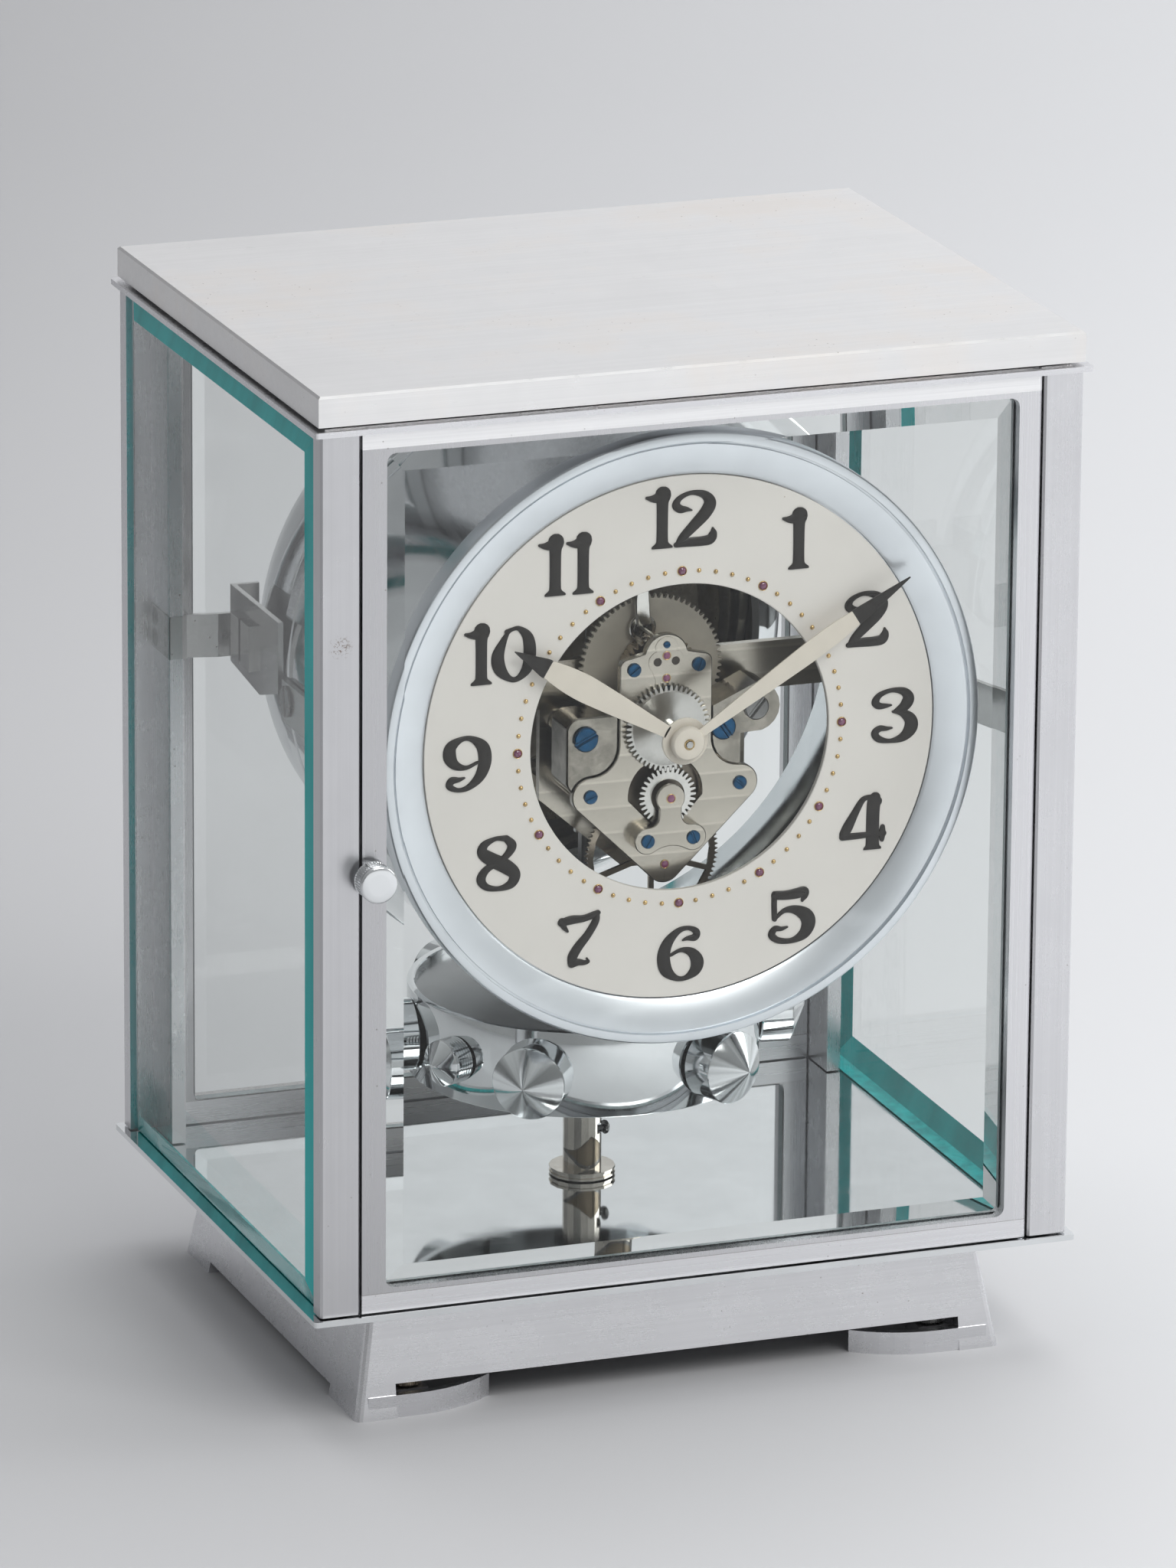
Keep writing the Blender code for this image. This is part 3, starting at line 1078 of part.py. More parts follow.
def build_train(dial):
    bore = [circle(CENTRE_ARBOR_RADIUS + GAP, TINY_SIDES)]
    minute_back = BLOCK_BACK + GAP
    centre = [arbor(CENTRE_ARBOR_RADIUS, MINUTE_HAND_FRONT - HAND_CAP_RISE - GAP, minute_back),
              plate(gear(CENTRE_PINION_TEETH, GOING_MODULE), CENTRE_PINION_FRONT, CENTRE_PINION_BACK)]
    piece("minute_arbor", centre, STEEL, parent=dial)
    motion_back = MOTION_FRONT + MOTION_THICKNESS
    hour_share = meshing_share(MOTION_PINION_TEETH, 0.0, HOUR_WHEEL_TEETH, 90.0)
    hour_holes = bore + windows(5, HOUR_HUB_RADIUS, HOUR_WINDOW_RADIUS, MOTION_THICKNESS)
    pipe_front = HOUR_HAND_FRONT + HAND_THICKNESS + GAP
    hour_rim = gear(HOUR_WHEEL_TEETH, MOTION_MODULE, hour_share)
    hour = [plate(hour_rim, MOTION_FRONT, motion_back, facing, hour_holes),
            plate(circle(HOUR_PIPE_RADIUS, SMALL_SIDES), pipe_front, motion_back, facing, bore)]
    piece("hour_wheel", hour, BRASS, parent=dial)
    wheel_back = MINUTE_WHEEL_FRONT + WHEEL_THICKNESS
    rim = GOING_MODULE * MINUTE_WHEEL_TEETH / 2.0 - WHEEL_RIM
    minute_share = meshing_share(CENTRE_PINION_TEETH, 0.0, MINUTE_WHEEL_TEETH, -90.0)
    minute_rim = gear(MINUTE_WHEEL_TEETH, GOING_MODULE, minute_share)
    minute_holes = windows(5, WHEEL_HUB_RADIUS, rim, WHEEL_SPOKE, 4, 90.0)
    minute = [arbor(ARBOR_RADIUS, BRIDGE_FRONT + GAP, GREAT_WHEEL_FRONT),
              arbor(THIN_ARBOR_RADIUS, MINUTE_WHEEL_FRONT, MAIN_PLATE_BACK - GAP),
              plate(minute_rim, MINUTE_WHEEL_FRONT, wheel_back, facing, minute_holes),
              plate(gear(MOTION_PINION_TEETH, MOTION_MODULE), MOTION_FRONT, motion_back)]
    piece("minute_wheel", minute, BRASS, at=(0.0, 0.0, MINUTE_WHEEL_Z), parent=dial)
    third_rim = SCAPE_MODULE * THIRD_WHEEL_TEETH / 2.0 - WHEEL_RIM
    third_back = THIRD_WHEEL_FRONT + WHEEL_THICKNESS
    third_share = meshing_share(MINUTE_WHEEL_TEETH, minute_share, THIRD_PINION_TEETH, -90.0)
    third_pinion = gear(THIRD_PINION_TEETH, GOING_MODULE, third_share)
    third_holes = windows(5, WHEEL_HUB_RADIUS, third_rim, WHEEL_SPOKE, 4, 90.0)
    third = [arbor(ARBOR_RADIUS, FRONT_PLATE_FRONT + GAP, MAIN_PLATE_BACK - GAP),
             plate(third_pinion, THIRD_PINION_FRONT, THIRD_PINION_BACK),
             plate(gear(THIRD_WHEEL_TEETH, SCAPE_MODULE), THIRD_WHEEL_FRONT, third_back, facing, third_holes)]
    piece("third_wheel", third, BRASS, at=(0.0, 0.0, THIRD_Z), parent=dial)
    build_escape_wheel(dial)
    build_barrel(dial)


def build_escape_wheel(dial):
    scape_back = SCAPE_WHEEL_FRONT + LEVER_THICKNESS
    inner = SCAPE_WHEEL_RADIUS - SCAPE_TOOTH
    pitch = TURN / SCAPE_WHEEL_TEETH
    teeth = []
    for i in range(SCAPE_WHEEL_TEETH):
        for radius, share in zip((SCAPE_WHEEL_RADIUS, inner, inner), SCAPE_TOOTH_SHARES):
            spot = pitch * (i + share)
            teeth.append((radius * math.cos(spot), radius * math.sin(spot)))
    scape_share = meshing_share(THIRD_WHEEL_TEETH, 0.0, SCAPE_PINION_TEETH, SCAPE_BEARING_DEGREES)
    scape_pinion = gear(SCAPE_PINION_TEETH, SCAPE_MODULE, scape_share)
    holes = windows(4, SCAPE_HUB_RADIUS, inner - WHEEL_THICKNESS, WHEEL_THICKNESS)
    solids = [arbor(ARBOR_RADIUS, SCAPE_ARM_FRONT + GAP, REAR_COCK_FRONT + COCK_THICKNESS - GAP),
              plate(scape_pinion, SCAPE_PINION_FRONT, SCAPE_PINION_BACK),
              plate(teeth, SCAPE_WHEEL_FRONT, scape_back, facing, holes)]
    piece("escape_wheel", solids, GILT, at=(SCAPE_X, 0.0, SCAPE_Z), parent=dial)


def build_barrel(dial):
    """The barrel turns on the arbor of the ratchet wheel."""
    great_back = GREAT_WHEEL_FRONT + GREAT_WHEEL_THICKNESS
    bore_radius = BARREL_ARBOR_RADIUS + GAP
    inside = BARREL_RADIUS - BARREL_WALL
    drum_front = GREAT_WHEEL_FRONT + BARREL_LID / 2.0
    drum = [(bore_radius, drum_front), (BARREL_RADIUS, drum_front), (BARREL_RADIUS, BARREL_BACK),
            (bore_radius, BARREL_BACK), (bore_radius, BARREL_BACK - BARREL_LID),
            (inside, BARREL_BACK - BARREL_LID), (inside, great_back + BARREL_LID),
            (bore_radius, great_back + BARREL_LID)]
    bore = [circle(bore_radius, TINY_SIDES)]
    bearing = math.degrees(math.atan2(BARREL_Z, BARREL_X))
    barrel_share = meshing_share(CENTRE_PINION_TEETH, 0.0, BARREL_TEETH, bearing)
    wheel = plate(gear(BARREL_TEETH, GOING_MODULE, barrel_share), GREAT_WHEEL_FRONT, great_back, facing, bore)
    at = (BARREL_X, 0.0, BARREL_Z)
    piece("barrel", [wheel, turned(drum, facing, SMALL_SIDES)], BRASS, at=at, parent=dial)
    ratchet_back = RATCHET_FRONT + RATCHET_THICKNESS
    ratchet = [plate(saw(RATCHET_TEETH, RATCHET_RADIUS, RATCHET_TOOTH), RATCHET_FRONT, ratchet_back),
               arbor(BARREL_ARBOR_RADIUS, FRONT_PLATE_FRONT + GAP, MAIN_PLATE_BACK - GAP)]
    piece("ratchet_wheel", ratchet, STEEL, at=at, parent=dial)
    tip = (CLICK_TIP_X - CLICK_X, CLICK_TIP_Z - CLICK_Z)
    back = CLICK_FRONT + CLICK_THICKNESS
    eye = plate(circle(CLICK_EYE_RADIUS, SMALL_SIDES), CLICK_FRONT, back, facing,
                [circle(CLICK_STUD_RADIUS + GAP, TINY_SIDES)])
    stem = (tip[0] * CLICK_EYE_RADIUS / tip[1], CLICK_EYE_RADIUS)
    finger = plate(bar(stem, tip, CLICK_FINGER), CLICK_FRONT, back, facing)
    hook = plate(bar(tip, (tip[0], tip[1] - CLICK_HOOK), CLICK_HOOK), CLICK_FRONT, ratchet_back, facing)
    piece("click", [eye, finger, hook], STEEL, at=(CLICK_X, 0.0, CLICK_Z), parent=dial)


def build_lever(dial):
    """The pallet lever: two arms to the escape wheel and a bent arm back to the roller."""
    toward = math.degrees(math.atan2(SCAPE_Z - LEVER_Z, SCAPE_X))
    front = SCAPE_WHEEL_FRONT
    back = front + LEVER_THICKNESS
    ends = []
    for side in (-1.0, 1.0):
        spot = math.radians(toward + side * STONE_REACH_DEGREES)
        ends.append((STONE_DISTANCE * math.cos(spot), STONE_DISTANCE * math.sin(spot)))
    solids = [plate(ribbon([ends[0], (0.0, 0.0), ends[1]], LEVER_ARM_WIDTH), front, back, facing),
              cylinder(LEVER_HUB_RADIUS, front - GAP, back + GAP, facing),
              cylinder(ARBOR_RADIUS, MAIN_PLATE_FRONT + GAP, REAR_COCK_FRONT + COCK_THICKNESS - GAP, facing,
                       sides=TINY_SIDES)]
    for x, z in ends:
        stone = rectangle(x - STONE_SIZE, x + STONE_SIZE, z - STONE_SIZE, z + STONE_SIZE)
        solids.append(plate(stone, front - GAP / 2.0, back + GAP / 2.0, facing))
    rise = FORK_Z - LEVER_Z
    half_arm = LEVER_ARM_WIDTH / 2.0
    solids.append(block((-half_arm, half_arm), (front + GAP, back + LEVER_THICKNESS), (0.0, rise)))
    tip = PENDULUM_Y - ROLLER_PIN_REACH - ROLLER_PIN_RADIUS - FORK_CLEARANCE
    heel = tip - FORK_LENGTH
    inner = FORK_GAP / 2.0
    outer = inner + FORK_TINE
    half_tail = half_arm - GAP / 2.0
    right = [(half_tail, back), (half_tail, heel - FORK_TINE), (outer, heel), (outer, tip), (inner, tip),
             (inner, heel)]
    fork = plate(right + mirrored(right)[::-1], rise - FORK_HEIGHT / 2.0, rise + FORK_HEIGHT / 2.0, upright)
    solids.append(fork)
    piece("pallet_lever", solids, STEEL, at=(0.0, 0.0, LEVER_Z), parent=dial)


# The pressure housing behind the drum
def build_housing(dial):
    """A round housing, open in front, with a folded capsule that fills it and a follower on its face."""
    outer_share = ((0.0, 0.83), (0.14, 0.90), (0.40, 0.962), (0.70, 0.993), (1.0, 1.0))
    rear_share = ((0.4, 0.975), (0.72, 0.90), (0.94, 0.754), (1.0, 0.49))
    outer = []
    for along, across in outer_share:
        outer.append((DOME_RADIUS * across, DOME_FRONT + (DOME_WIDEST - DOME_FRONT) * along))
    for along, across in rear_share:
        outer.append((DOME_RADIUS * across, DOME_WIDEST + (DOME_BACK - DOME_WIDEST) * along))
    inner = [(radius - DOME_WALL, y) for radius, y in outer[1:-3]]
    inner += [(radius - DOME_WALL, y - DOME_WALL) for radius, y in outer[-3:-1]]
    inner.append((outer[-1][0], outer[-1][1] - DOME_WALL))
    profile = [(0.0, DOME_BACK), *outer[::-1], (DOME_MOUTH_RADIUS, DOME_FRONT),
               (DOME_MOUTH_RADIUS, DOME_FRONT + DOME_WALL), *inner, (0.0, DOME_BACK - DOME_WALL)]
    at = (0.0, 0.0, DOME_Z)
    piece("dome_housing", [turned(profile, facing, ROUND_SIDES)], SATIN_CHROME, at=at, parent=dial)
    seat = DOME_BACK - DOME_WALL - GAP
    neck = seat - 2.0 * DOME_WALL
    fold = (neck - CAPSULE_FRONT) / CAPSULE_FOLDS
    capsule = [(0.0, seat), (CAPSULE_SEAT_RADIUS, seat), (CAPSULE_SEAT_RADIUS + DOME_WALL, neck)]
    for i in range(CAPSULE_FOLDS):
        start = neck - fold * i
        capsule += [(CAPSULE_RADIUS, start - fold / 4.0), (CAPSULE_RADIUS, start - fold + fold / 4.0)]
        capsule += [(CAPSULE_RADIUS - CAPSULE_FOLD, start - fold)]
    capsule += [(0.0, CAPSULE_FRONT)]
    piece("expansion_capsule", [turned(capsule, facing, ROUND_SIDES)], BRASS, at=at, parent=dial)
    back = CAPSULE_FRONT - GAP
    follower = [(0.0, back - ROD_PLATE_THICKNESS), (ROD_PLATE_RADIUS, back - ROD_PLATE_THICKNESS),
                (ROD_PLATE_RADIUS, back), (0.0, back)]
    rod = cylinder(ROD_RADIUS, MAIN_PLATE_BACK + GAP + ROD_TRAVEL, back - ROD_PLATE_THICKNESS / 2.0, facing,
                   ROD_X, ROD_Z - DOME_Z, TINY_SIDES)
    piece("capsule_follower", [turned(follower, facing, ROUND_SIDES), rod], STEEL, at=at, parent=dial)


# The brackets and straps
def build_brackets(dial):
    inner_x = DRUM_RADIUS + DRUM_BAND_RISE + GAP
    outer_x = inner_x + BRACKET_THICKNESS
    web_front = BRACKET_WEB_BACK - BRACKET_THICKNESS
    outline = [(BRACKET_FRONT, BRACKET_FRONT_BOTTOM), (BRACKET_LOW_Y, BRACKET_LOW_BOTTOM),
               (BRACKET_WEB_BACK, BRACKET_BACK_BOTTOM), (BRACKET_WEB_BACK, BRACKET_TOP),
               (BRACKET_FRONT, BRACKET_TOP)]
    web_inner = DOME_RADIUS + GAP
    for side, word in ((-1.0, "left"), (1.0, "right")):
        sheet = plate(outline, side * inner_x, side * outer_x, sideways)
        across = sorted((side * web_inner, side * (outer_x - BRACKET_THICKNESS / 2.0)))
        web = block(across, (web_front, BRACKET_WEB_BACK), (BRACKET_BACK_BOTTOM, BRACKET_TOP))
        piece("side_bracket_" + word, [sheet, web], STEEL, parent=dial)
        build_straps(dial, side, word, outer_x)


def build_straps(dial, side, word, bracket_x):
    half = STRAP_THICKNESS / 2.0
    pad_x = POST_INNER_X - GAP - half
    leg_end = HALF_DEPTH - POST_SIDE - POST_LEG_DEPTH
    land_x = DRUM_RADIUS + GAP + half
    path = [(pad_x, -leg_end - FRONT_STRAP_PAD), (pad_x, -leg_end + STRAP_THICKNESS),
            (pad_x + FRONT_STRAP_KNEE_OUT, FRONT_STRAP_KNEE_Y), (pad_x, FRONT_STRAP_BEND_Y),
            (land_x, FRONT_STRAP_LAND_Y), (land_x, FRONT_STRAP_END_Y - DRUM_BAND_RISE)]
    outline = [(side * u, v) for u, v in ribbon(path, STRAP_THICKNESS)]
    strap = plate(outline, FRONT_STRAP_TOP - FRONT_STRAP_HEIGHT, FRONT_STRAP_TOP, upright)
    piece("strap_front_" + word, [strap], STEEL, parent=dial)
    web_y = BRACKET_WEB_BACK + GAP + half
    path = [(pad_x, leg_end + REAR_STRAP_PAD), (pad_x, leg_end + STRAP_THICKNESS), (REAR_STRAP_KNEE_X, web_y),
            (REAR_STRAP_END_X, web_y)]
    outline = [(side * u, v) for u, v in ribbon(path, STRAP_THICKNESS)]
    strap = plate(outline, REAR_STRAP_TOP - REAR_STRAP_HEIGHT, REAR_STRAP_TOP, upright)
    piece("strap_rear_" + word, [strap], STEEL, parent=dial)


# The pendulum and what holds it
def build_pendulum(base):
    axis = empty("pendulum_axis", (0.0, PENDULUM_Y, 0.0), base)
    web_top = RING_TOP - WEB_RECESS
    web_low = web_top - WEB_THICKNESS
    bore = SHAFT_RADIUS + GAP
    ring = [(RING_RADIUS, RING_BOTTOM), (RING_RADIUS, RING_TOP), (RING_RADIUS - RING_WALL, RING_TOP),
            (RING_RADIUS - RING_WALL, web_top), (bore, web_top), (bore, HUB_BOTTOM), (HUB_RADIUS, HUB_BOTTOM),
            (HUB_RADIUS, web_low), (RING_RADIUS - RING_WALL, web_low), (RING_RADIUS - RING_WALL, RING_BOTTOM)]
    piece("pendulum_ring", [turned(ring, upright, FINE_SIDES)], BRIGHT_CHROME, parent=axis)
    inner = RING_RADIUS + GAP
    apex = WEIGHT_SHOULDER + WEIGHT_RADIUS * WEIGHT_CONE_SLOPE
    for i in range(WEIGHT_COUNT):
        weight = turned([(0.0, inner), (WEIGHT_RADIUS, inner), (WEIGHT_RADIUS, WEIGHT_SHOULDER), (0.0, apex)],
                        sideways, SMALL_SIDES)
        angle = math.radians(WEIGHT_FIRST_DEGREES + 360.0 * i / WEIGHT_COUNT - 90.0)
        piece("pendulum_weight_%d" % (i + 1), [weight], BRIGHT_CHROME, at=(0.0, 0.0, WEIGHT_Z), turn=angle,
              parent=axis)
    build_trim_weights(axis, inner)
    build_shaft(axis)


def build_trim_weights(axis, inner):
    apex = TRIM_SHOULDER + TRIM_RADIUS * WEIGHT_CONE_SLOPE
    profile = [(0.0, inner)]
    pitch = TRIM_LAND + TRIM_GROOVE
    grooves = int((TRIM_SHOULDER - inner) / pitch)
    for i in range(grooves):
        start = inner + pitch * i
        profile += [(TRIM_RADIUS, start), (TRIM_RADIUS, start + TRIM_LAND),
                    (TRIM_RADIUS - TRIM_GROOVE, start + TRIM_LAND + TRIM_GROOVE / 2.0)]
    profile += [(TRIM_RADIUS, TRIM_SHOULDER), (0.0, apex)]
    for i in range(2):
        angle = math.radians(TRIM_FIRST_DEGREES + 180.0 * i - 90.0)
        weight = turned(profile, sideways, SMALL_SIDES)
        piece("trim_weight_%d" % (i + 1), [weight], BRIGHT_CHROME, at=(0.0, 0.0, WEIGHT_Z), turn=angle,
              parent=axis)


def build_shaft(axis):
    """The shaft with its roller and pin, the wire above it and the lock below."""
    top = DIAL_HEIGHT + SHAFT_TOP
    roller_top = DIAL_HEIGHT + ROLLER_TOP
    roller_low = roller_top - ROLLER_THICKNESS
    shaft = [(0.0, HUB_BOTTOM), (SHAFT_RADIUS, HUB_BOTTOM), (SHAFT_RADIUS, roller_low),
             (ROLLER_RADIUS, roller_low), (ROLLER_RADIUS, roller_top), (SHAFT_RADIUS, roller_top),
             (SHAFT_RADIUS, top), (0.0, top)]
    pin = cylinder(ROLLER_PIN_RADIUS, roller_low + ROLLER_THICKNESS / 2.0, roller_top + ROLLER_PIN_HEIGHT,
                   upright, 0.0, -ROLLER_PIN_REACH, TINY_SIDES)
    piece("pendulum_shaft", [turned(shaft, upright, TINY_SIDES), pin], STEEL, parent=axis)
    reach = DRUM_BORE - GAP
    half = math.degrees(math.asin(BLOCK_HALF_WIDTH / reach))
    outline = arc(0.0, DIAL_HEIGHT, reach, 90.0 - half, 90.0 + half, 4)
    block_low = DIAL_HEIGHT + BLOCK_BOTTOM
    outline += [(-BLOCK_HALF_WIDTH, block_low), (BLOCK_HALF_WIDTH, block_low)]
    holder = plate(outline, -BLOCK_HALF_LENGTH, BLOCK_HALF_LENGTH, facing)
    wire = cylinder(WIRE_RADIUS, top + GAP, block_low + OVERRUN, upright, sides=WIRE_SIDES)
    piece("suspension_block", [holder, wire], STEEL, parent=axis)
    build_lock(axis)


def lock_cut():
    """The sloping opening in the sleeve that the screw of the plunger runs in."""
    sections = []
    play = LOCK_SCREW_RADIUS + LOCK_CUT_PLAY
    widen = math.degrees(play / LOCK_TUBE_BORE)
    steps = 6
    first = -LOCK_DEGREES - widen
    last = widen
    for i in range(steps + 1):
        degrees = first + (last - first) * i / steps
        lift = LOCK_LIFT * min(max(-degrees / LOCK_DEGREES, 0.0), 1.0)
        middle = LOCK_SCREW_HEIGHT + lift
        angle = math.radians(degrees)
        near = LOCK_TUBE_BORE - OVERRUN
        far = LOCK_TUBE_RADIUS + OVERRUN
        section = [(near, middle - play), (far, middle - play), (far, middle + play), (near, middle + play)]
        sections.append([(r * math.cos(angle), r * math.sin(angle), z) for r, z in section])
    return lofted(sections)


def build_lock(axis):
    """A turning sleeve whose sloping opening lifts the plunger against the hub."""
    groove_low = GAP + LOCK_FLANGE_HEIGHT / 2.0 - LOCK_GROOVE
    groove_high = GAP + LOCK_FLANGE_HEIGHT / 2.0 + LOCK_GROOVE
    groove_floor = LOCK_FLANGE_RADIUS - LOCK_GROOVE
    flange_top = GAP + LOCK_FLANGE_HEIGHT
    profile = [(LOCK_TUBE_BORE, GAP), (LOCK_FLANGE_RADIUS, GAP), (LOCK_FLANGE_RADIUS, groove_low),
               (groove_floor, groove_low), (groove_floor, groove_high), (LOCK_FLANGE_RADIUS, groove_high),
               (LOCK_FLANGE_RADIUS, flange_top), (LOCK_TUBE_RADIUS, flange_top),
               (LOCK_TUBE_RADIUS, LOCK_TUBE_TOP), (LOCK_TUBE_BORE, LOCK_TUBE_TOP)]
    piece("lock_sleeve", [turned(profile, upright, SMALL_SIDES)], NICKEL, cuts=[lock_cut()], parent=axis)
    radius = LOCK_TUBE_BORE - GAP
    high = HUB_BOTTOM - GAP - LOCK_LIFT
    rod = turned([(0.0, LOCK_PLUNGER_BOTTOM), (radius, LOCK_PLUNGER_BOTTOM), (radius, high), (0.0, high)],
                 upright, SMALL_SIDES)
    screw = cylinder(LOCK_SCREW_RADIUS, radius / 2.0, LOCK_SCREW_REACH, sideways, 0.0, LOCK_SCREW_HEIGHT,
                     TINY_SIDES)
    piece("lock_plunger", [rod, screw], STEEL, parent=axis)


def main():
    clear_scene()
    base = empty("case_floor", (0.0, CASE_SETBACK, FLOOR_HEIGHT))
    dial = empty("dial_centre", (0.0, 0.0, DIAL_HEIGHT), base)
    build_plinth(base)
    build_levelling(base, -1.0, "left")
    build_levelling(base, 1.0, "right")
    flange("lower_flange_plate", -FLANGE_THICKNESS, base)
    flange("upper_flange_plate", CLEAR_HEIGHT, base)
    build_lid(base)
    for end, place in ((-1.0, "front"), (1.0, "rear")):
        build_post(base, -1.0, end, "post_%s_left" % place)
        build_post(base, 1.0, end, "post_%s_right" % place)
    build_side_glass(base, -1.0, "left")
    build_side_glass(base, 1.0, "right")
    build_door(base)
    build_dial(dial)
    build_hands(dial)
    build_front_plate(dial)
    build_main_plate(dial)
    build_blocks(dial)
    build_bridge(dial)
    build_train(dial)
    build_lever(dial)
    build_housing(dial)
    build_brackets(dial)
    build_pendulum(base)
    bpy.context.view_layer.update()


main()
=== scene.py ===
"""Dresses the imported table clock: fine surfaces, finishes, a studio floor, lights and the camera.

Lengths are in metres in the frame's own axes: +X is right as one looks at the dial, -Y is the front and +Z
is up. Rows that profile() and arcs() take are in millimetres.
"""

import json
import math

import bmesh
import bpy
import numpy as np
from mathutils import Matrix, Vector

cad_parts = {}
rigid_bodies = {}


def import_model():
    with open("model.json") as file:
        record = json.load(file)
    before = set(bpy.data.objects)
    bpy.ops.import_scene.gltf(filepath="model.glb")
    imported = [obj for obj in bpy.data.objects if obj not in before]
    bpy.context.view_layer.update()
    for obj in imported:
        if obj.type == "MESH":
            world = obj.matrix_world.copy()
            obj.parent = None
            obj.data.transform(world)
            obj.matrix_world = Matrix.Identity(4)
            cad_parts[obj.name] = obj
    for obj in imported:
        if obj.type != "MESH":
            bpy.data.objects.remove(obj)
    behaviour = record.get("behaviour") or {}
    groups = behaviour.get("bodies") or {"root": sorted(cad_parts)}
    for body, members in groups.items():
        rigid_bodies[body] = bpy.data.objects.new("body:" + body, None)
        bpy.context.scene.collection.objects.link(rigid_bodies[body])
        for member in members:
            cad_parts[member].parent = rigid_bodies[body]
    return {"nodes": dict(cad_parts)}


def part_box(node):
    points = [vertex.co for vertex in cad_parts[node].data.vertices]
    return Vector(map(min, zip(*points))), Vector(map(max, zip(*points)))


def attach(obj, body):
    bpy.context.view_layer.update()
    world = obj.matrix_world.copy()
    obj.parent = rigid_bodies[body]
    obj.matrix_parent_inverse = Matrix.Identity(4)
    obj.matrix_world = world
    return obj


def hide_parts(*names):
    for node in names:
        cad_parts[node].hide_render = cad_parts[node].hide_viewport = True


for leftover in list(bpy.data.objects):
    bpy.data.objects.remove(leftover)
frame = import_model()

bl_info = {
    "name": "Glazed Table Clock",
    "version": (1, 0, 0),
    "blender": (4, 5, 0),
    "location": "3D View > Sidebar > Clock",
    "description": "Fine surfaces, finishes and a studio for a glazed table clock with a torsion pendulum",
    "category": "Object",
}

MM = 0.001
TURN = 2.0 * math.pi


# Places read from the frame
def low(node):
    """The lowest x, y and z of a node."""
    return np.array(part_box(node)[0])


def high(node):
    """The highest x, y and z of a node."""
    return np.array(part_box(node)[1])


def centre_of(node):
    """The middle of a node's box."""
    return (low(node) + high(node)) / 2.0


DIAL_CENTRE = np.array([0.0, low("dial_ring")[1], centre_of("dial_ring")[2]])
RING_LOW = low("pendulum_ring")
RING_HIGH = high("pendulum_ring")
RING_AXIS = centre_of("pendulum_ring")[1]

# Drawn places of the movement: right of and above the dial's centre, and a depth behind its face
MINUTE_ARBOR = (0.0, -15.4 * MM)
CLICK_EYE = (-1.8 * MM, 19.7 * MM)
RATCHET_MIDDLE = (0.7 * MM, 10.2 * MM)
MOTION_FRONT = 7.3 * MM
CLICK_FRONT = 18.9 * MM

# The hands: clockwise turn in degrees from twelve, and height over the dial; then their walls
HOUR_HAND = (-58.8, -3.1 * MM)
MINUTE_HAND = (57.5, -4.7 * MM)
HAND_THICK = 0.4 * MM
HAND_BEVEL = 0.06 * MM

# Thickness of the front plate and of the left block
PLATE_THICK = 2.0 * MM
BLOCK_THICK = 9.9 * MM

# The lock's cam cut: its ends in degrees from its middle, and the bearing of that middle
CAM_START = -72.7
CAM_END = 76.0
CAM_BEARING = -110.3

# The ring's weights: bearings in degrees of the first one and the first trim weight, their number, and how
# far outside the ring their cones start
FIRST_WEIGHT = -125.0
FIRST_TRIM = -155.0
WEIGHTS = 6
CONE_START = 7.8 * MM

# How far screws and stones are sunk into a plate, and the softened edge and the fineness of teeth
SUNK = 0.05 * MM
TOOTH_EDGE = 0.12 * MM
POINTS_PER_TOOTH = 12

# A slot's width as a share of its screw's radius
SLOT_SHARE = 0.22

# Satin frames: height of the upper and lower rail, which take a painted highlight, half the frame's width,
# across which painted shade ramps, and half the seam between rails
UPPER_RAIL = 4.5 * MM
LOWER_RAIL = 5.4 * MM
FRAME_HALF_WIDTH = 0.078
HALF_SEAM = 0.08 * MM

# Width and depth of the cut border of a pane: the door's and the rear one, and those of the sides
FLAT_CUT = (4.2 * MM, 1.3 * MM)
SIDE_CUT = (5.5 * MM, 1.6 * MM)

# Brushed grain: waves per metre along and across the strokes, and the fine one's detail and roughness
FINE_GRAIN = (20.0, 2600.0, 4.0, 0.65)
WIDE_GRAIN = (5.0, 760.0)

# Pin holes for each metre, and the tints of marks on the metal
PIT_SCALE = 420.0
PIT_TINT = (0.16, 0.12, 0.09)
SEAM_TINT = (0.16, 0.14, 0.12)
RUST_TINT = (0.13, 0.07, 0.035)
STAIN_TINT = (0.86, 0.80, 0.74)
SPOT_TINT = (0.35, 0.24, 0.15)

# The sweep of paper, in metres and as shares of its length: a floor, a quarter round and a wall
FLOOR_START = -3.2
FLOOR_END = 1.2
ROUND_RADIUS = 0.9
WALL_RISE = 1.6
SWEEP_HALF_WIDTH = 3.6
FLOOR_SHARE = 0.35
ROUND_SHARE = 0.45
WALL_SHARE = 0.2

# Lamps: name, place, diameter in metres, power in watts and tint; all aim at the clock's middle
LAMP_AIM = (0.0, 0.0, 0.11)
LAMPS = (
    ("Key_Light", (0.55, -1.75, 1.75), 1.5, 24.0, (1.0, 0.99, 0.975)),
    ("Top_Light", (0.05, 0.50, 1.9), 1.6, 14.0, (0.985, 0.99, 1.0)),
    ("Back_Light", (0.55, 1.5, 0.72), 1.4, 1.4, (0.99, 0.99, 1.0)),
    ("Right_Light", (1.8, -0.3, 0.9), 1.1, 8.0, (0.98, 0.99, 1.0)),
)

# The air: its strength where darkest and brightest, the way to the bright side, the change's reach, the tint
AIR_STRENGTH = (0.28, 0.80)
AIR_LEAN = (0.80, 0.45, 0.25)
AIR_REACH = 0.75
AIR_TINT = (0.97, 0.985, 1.0, 1.0)

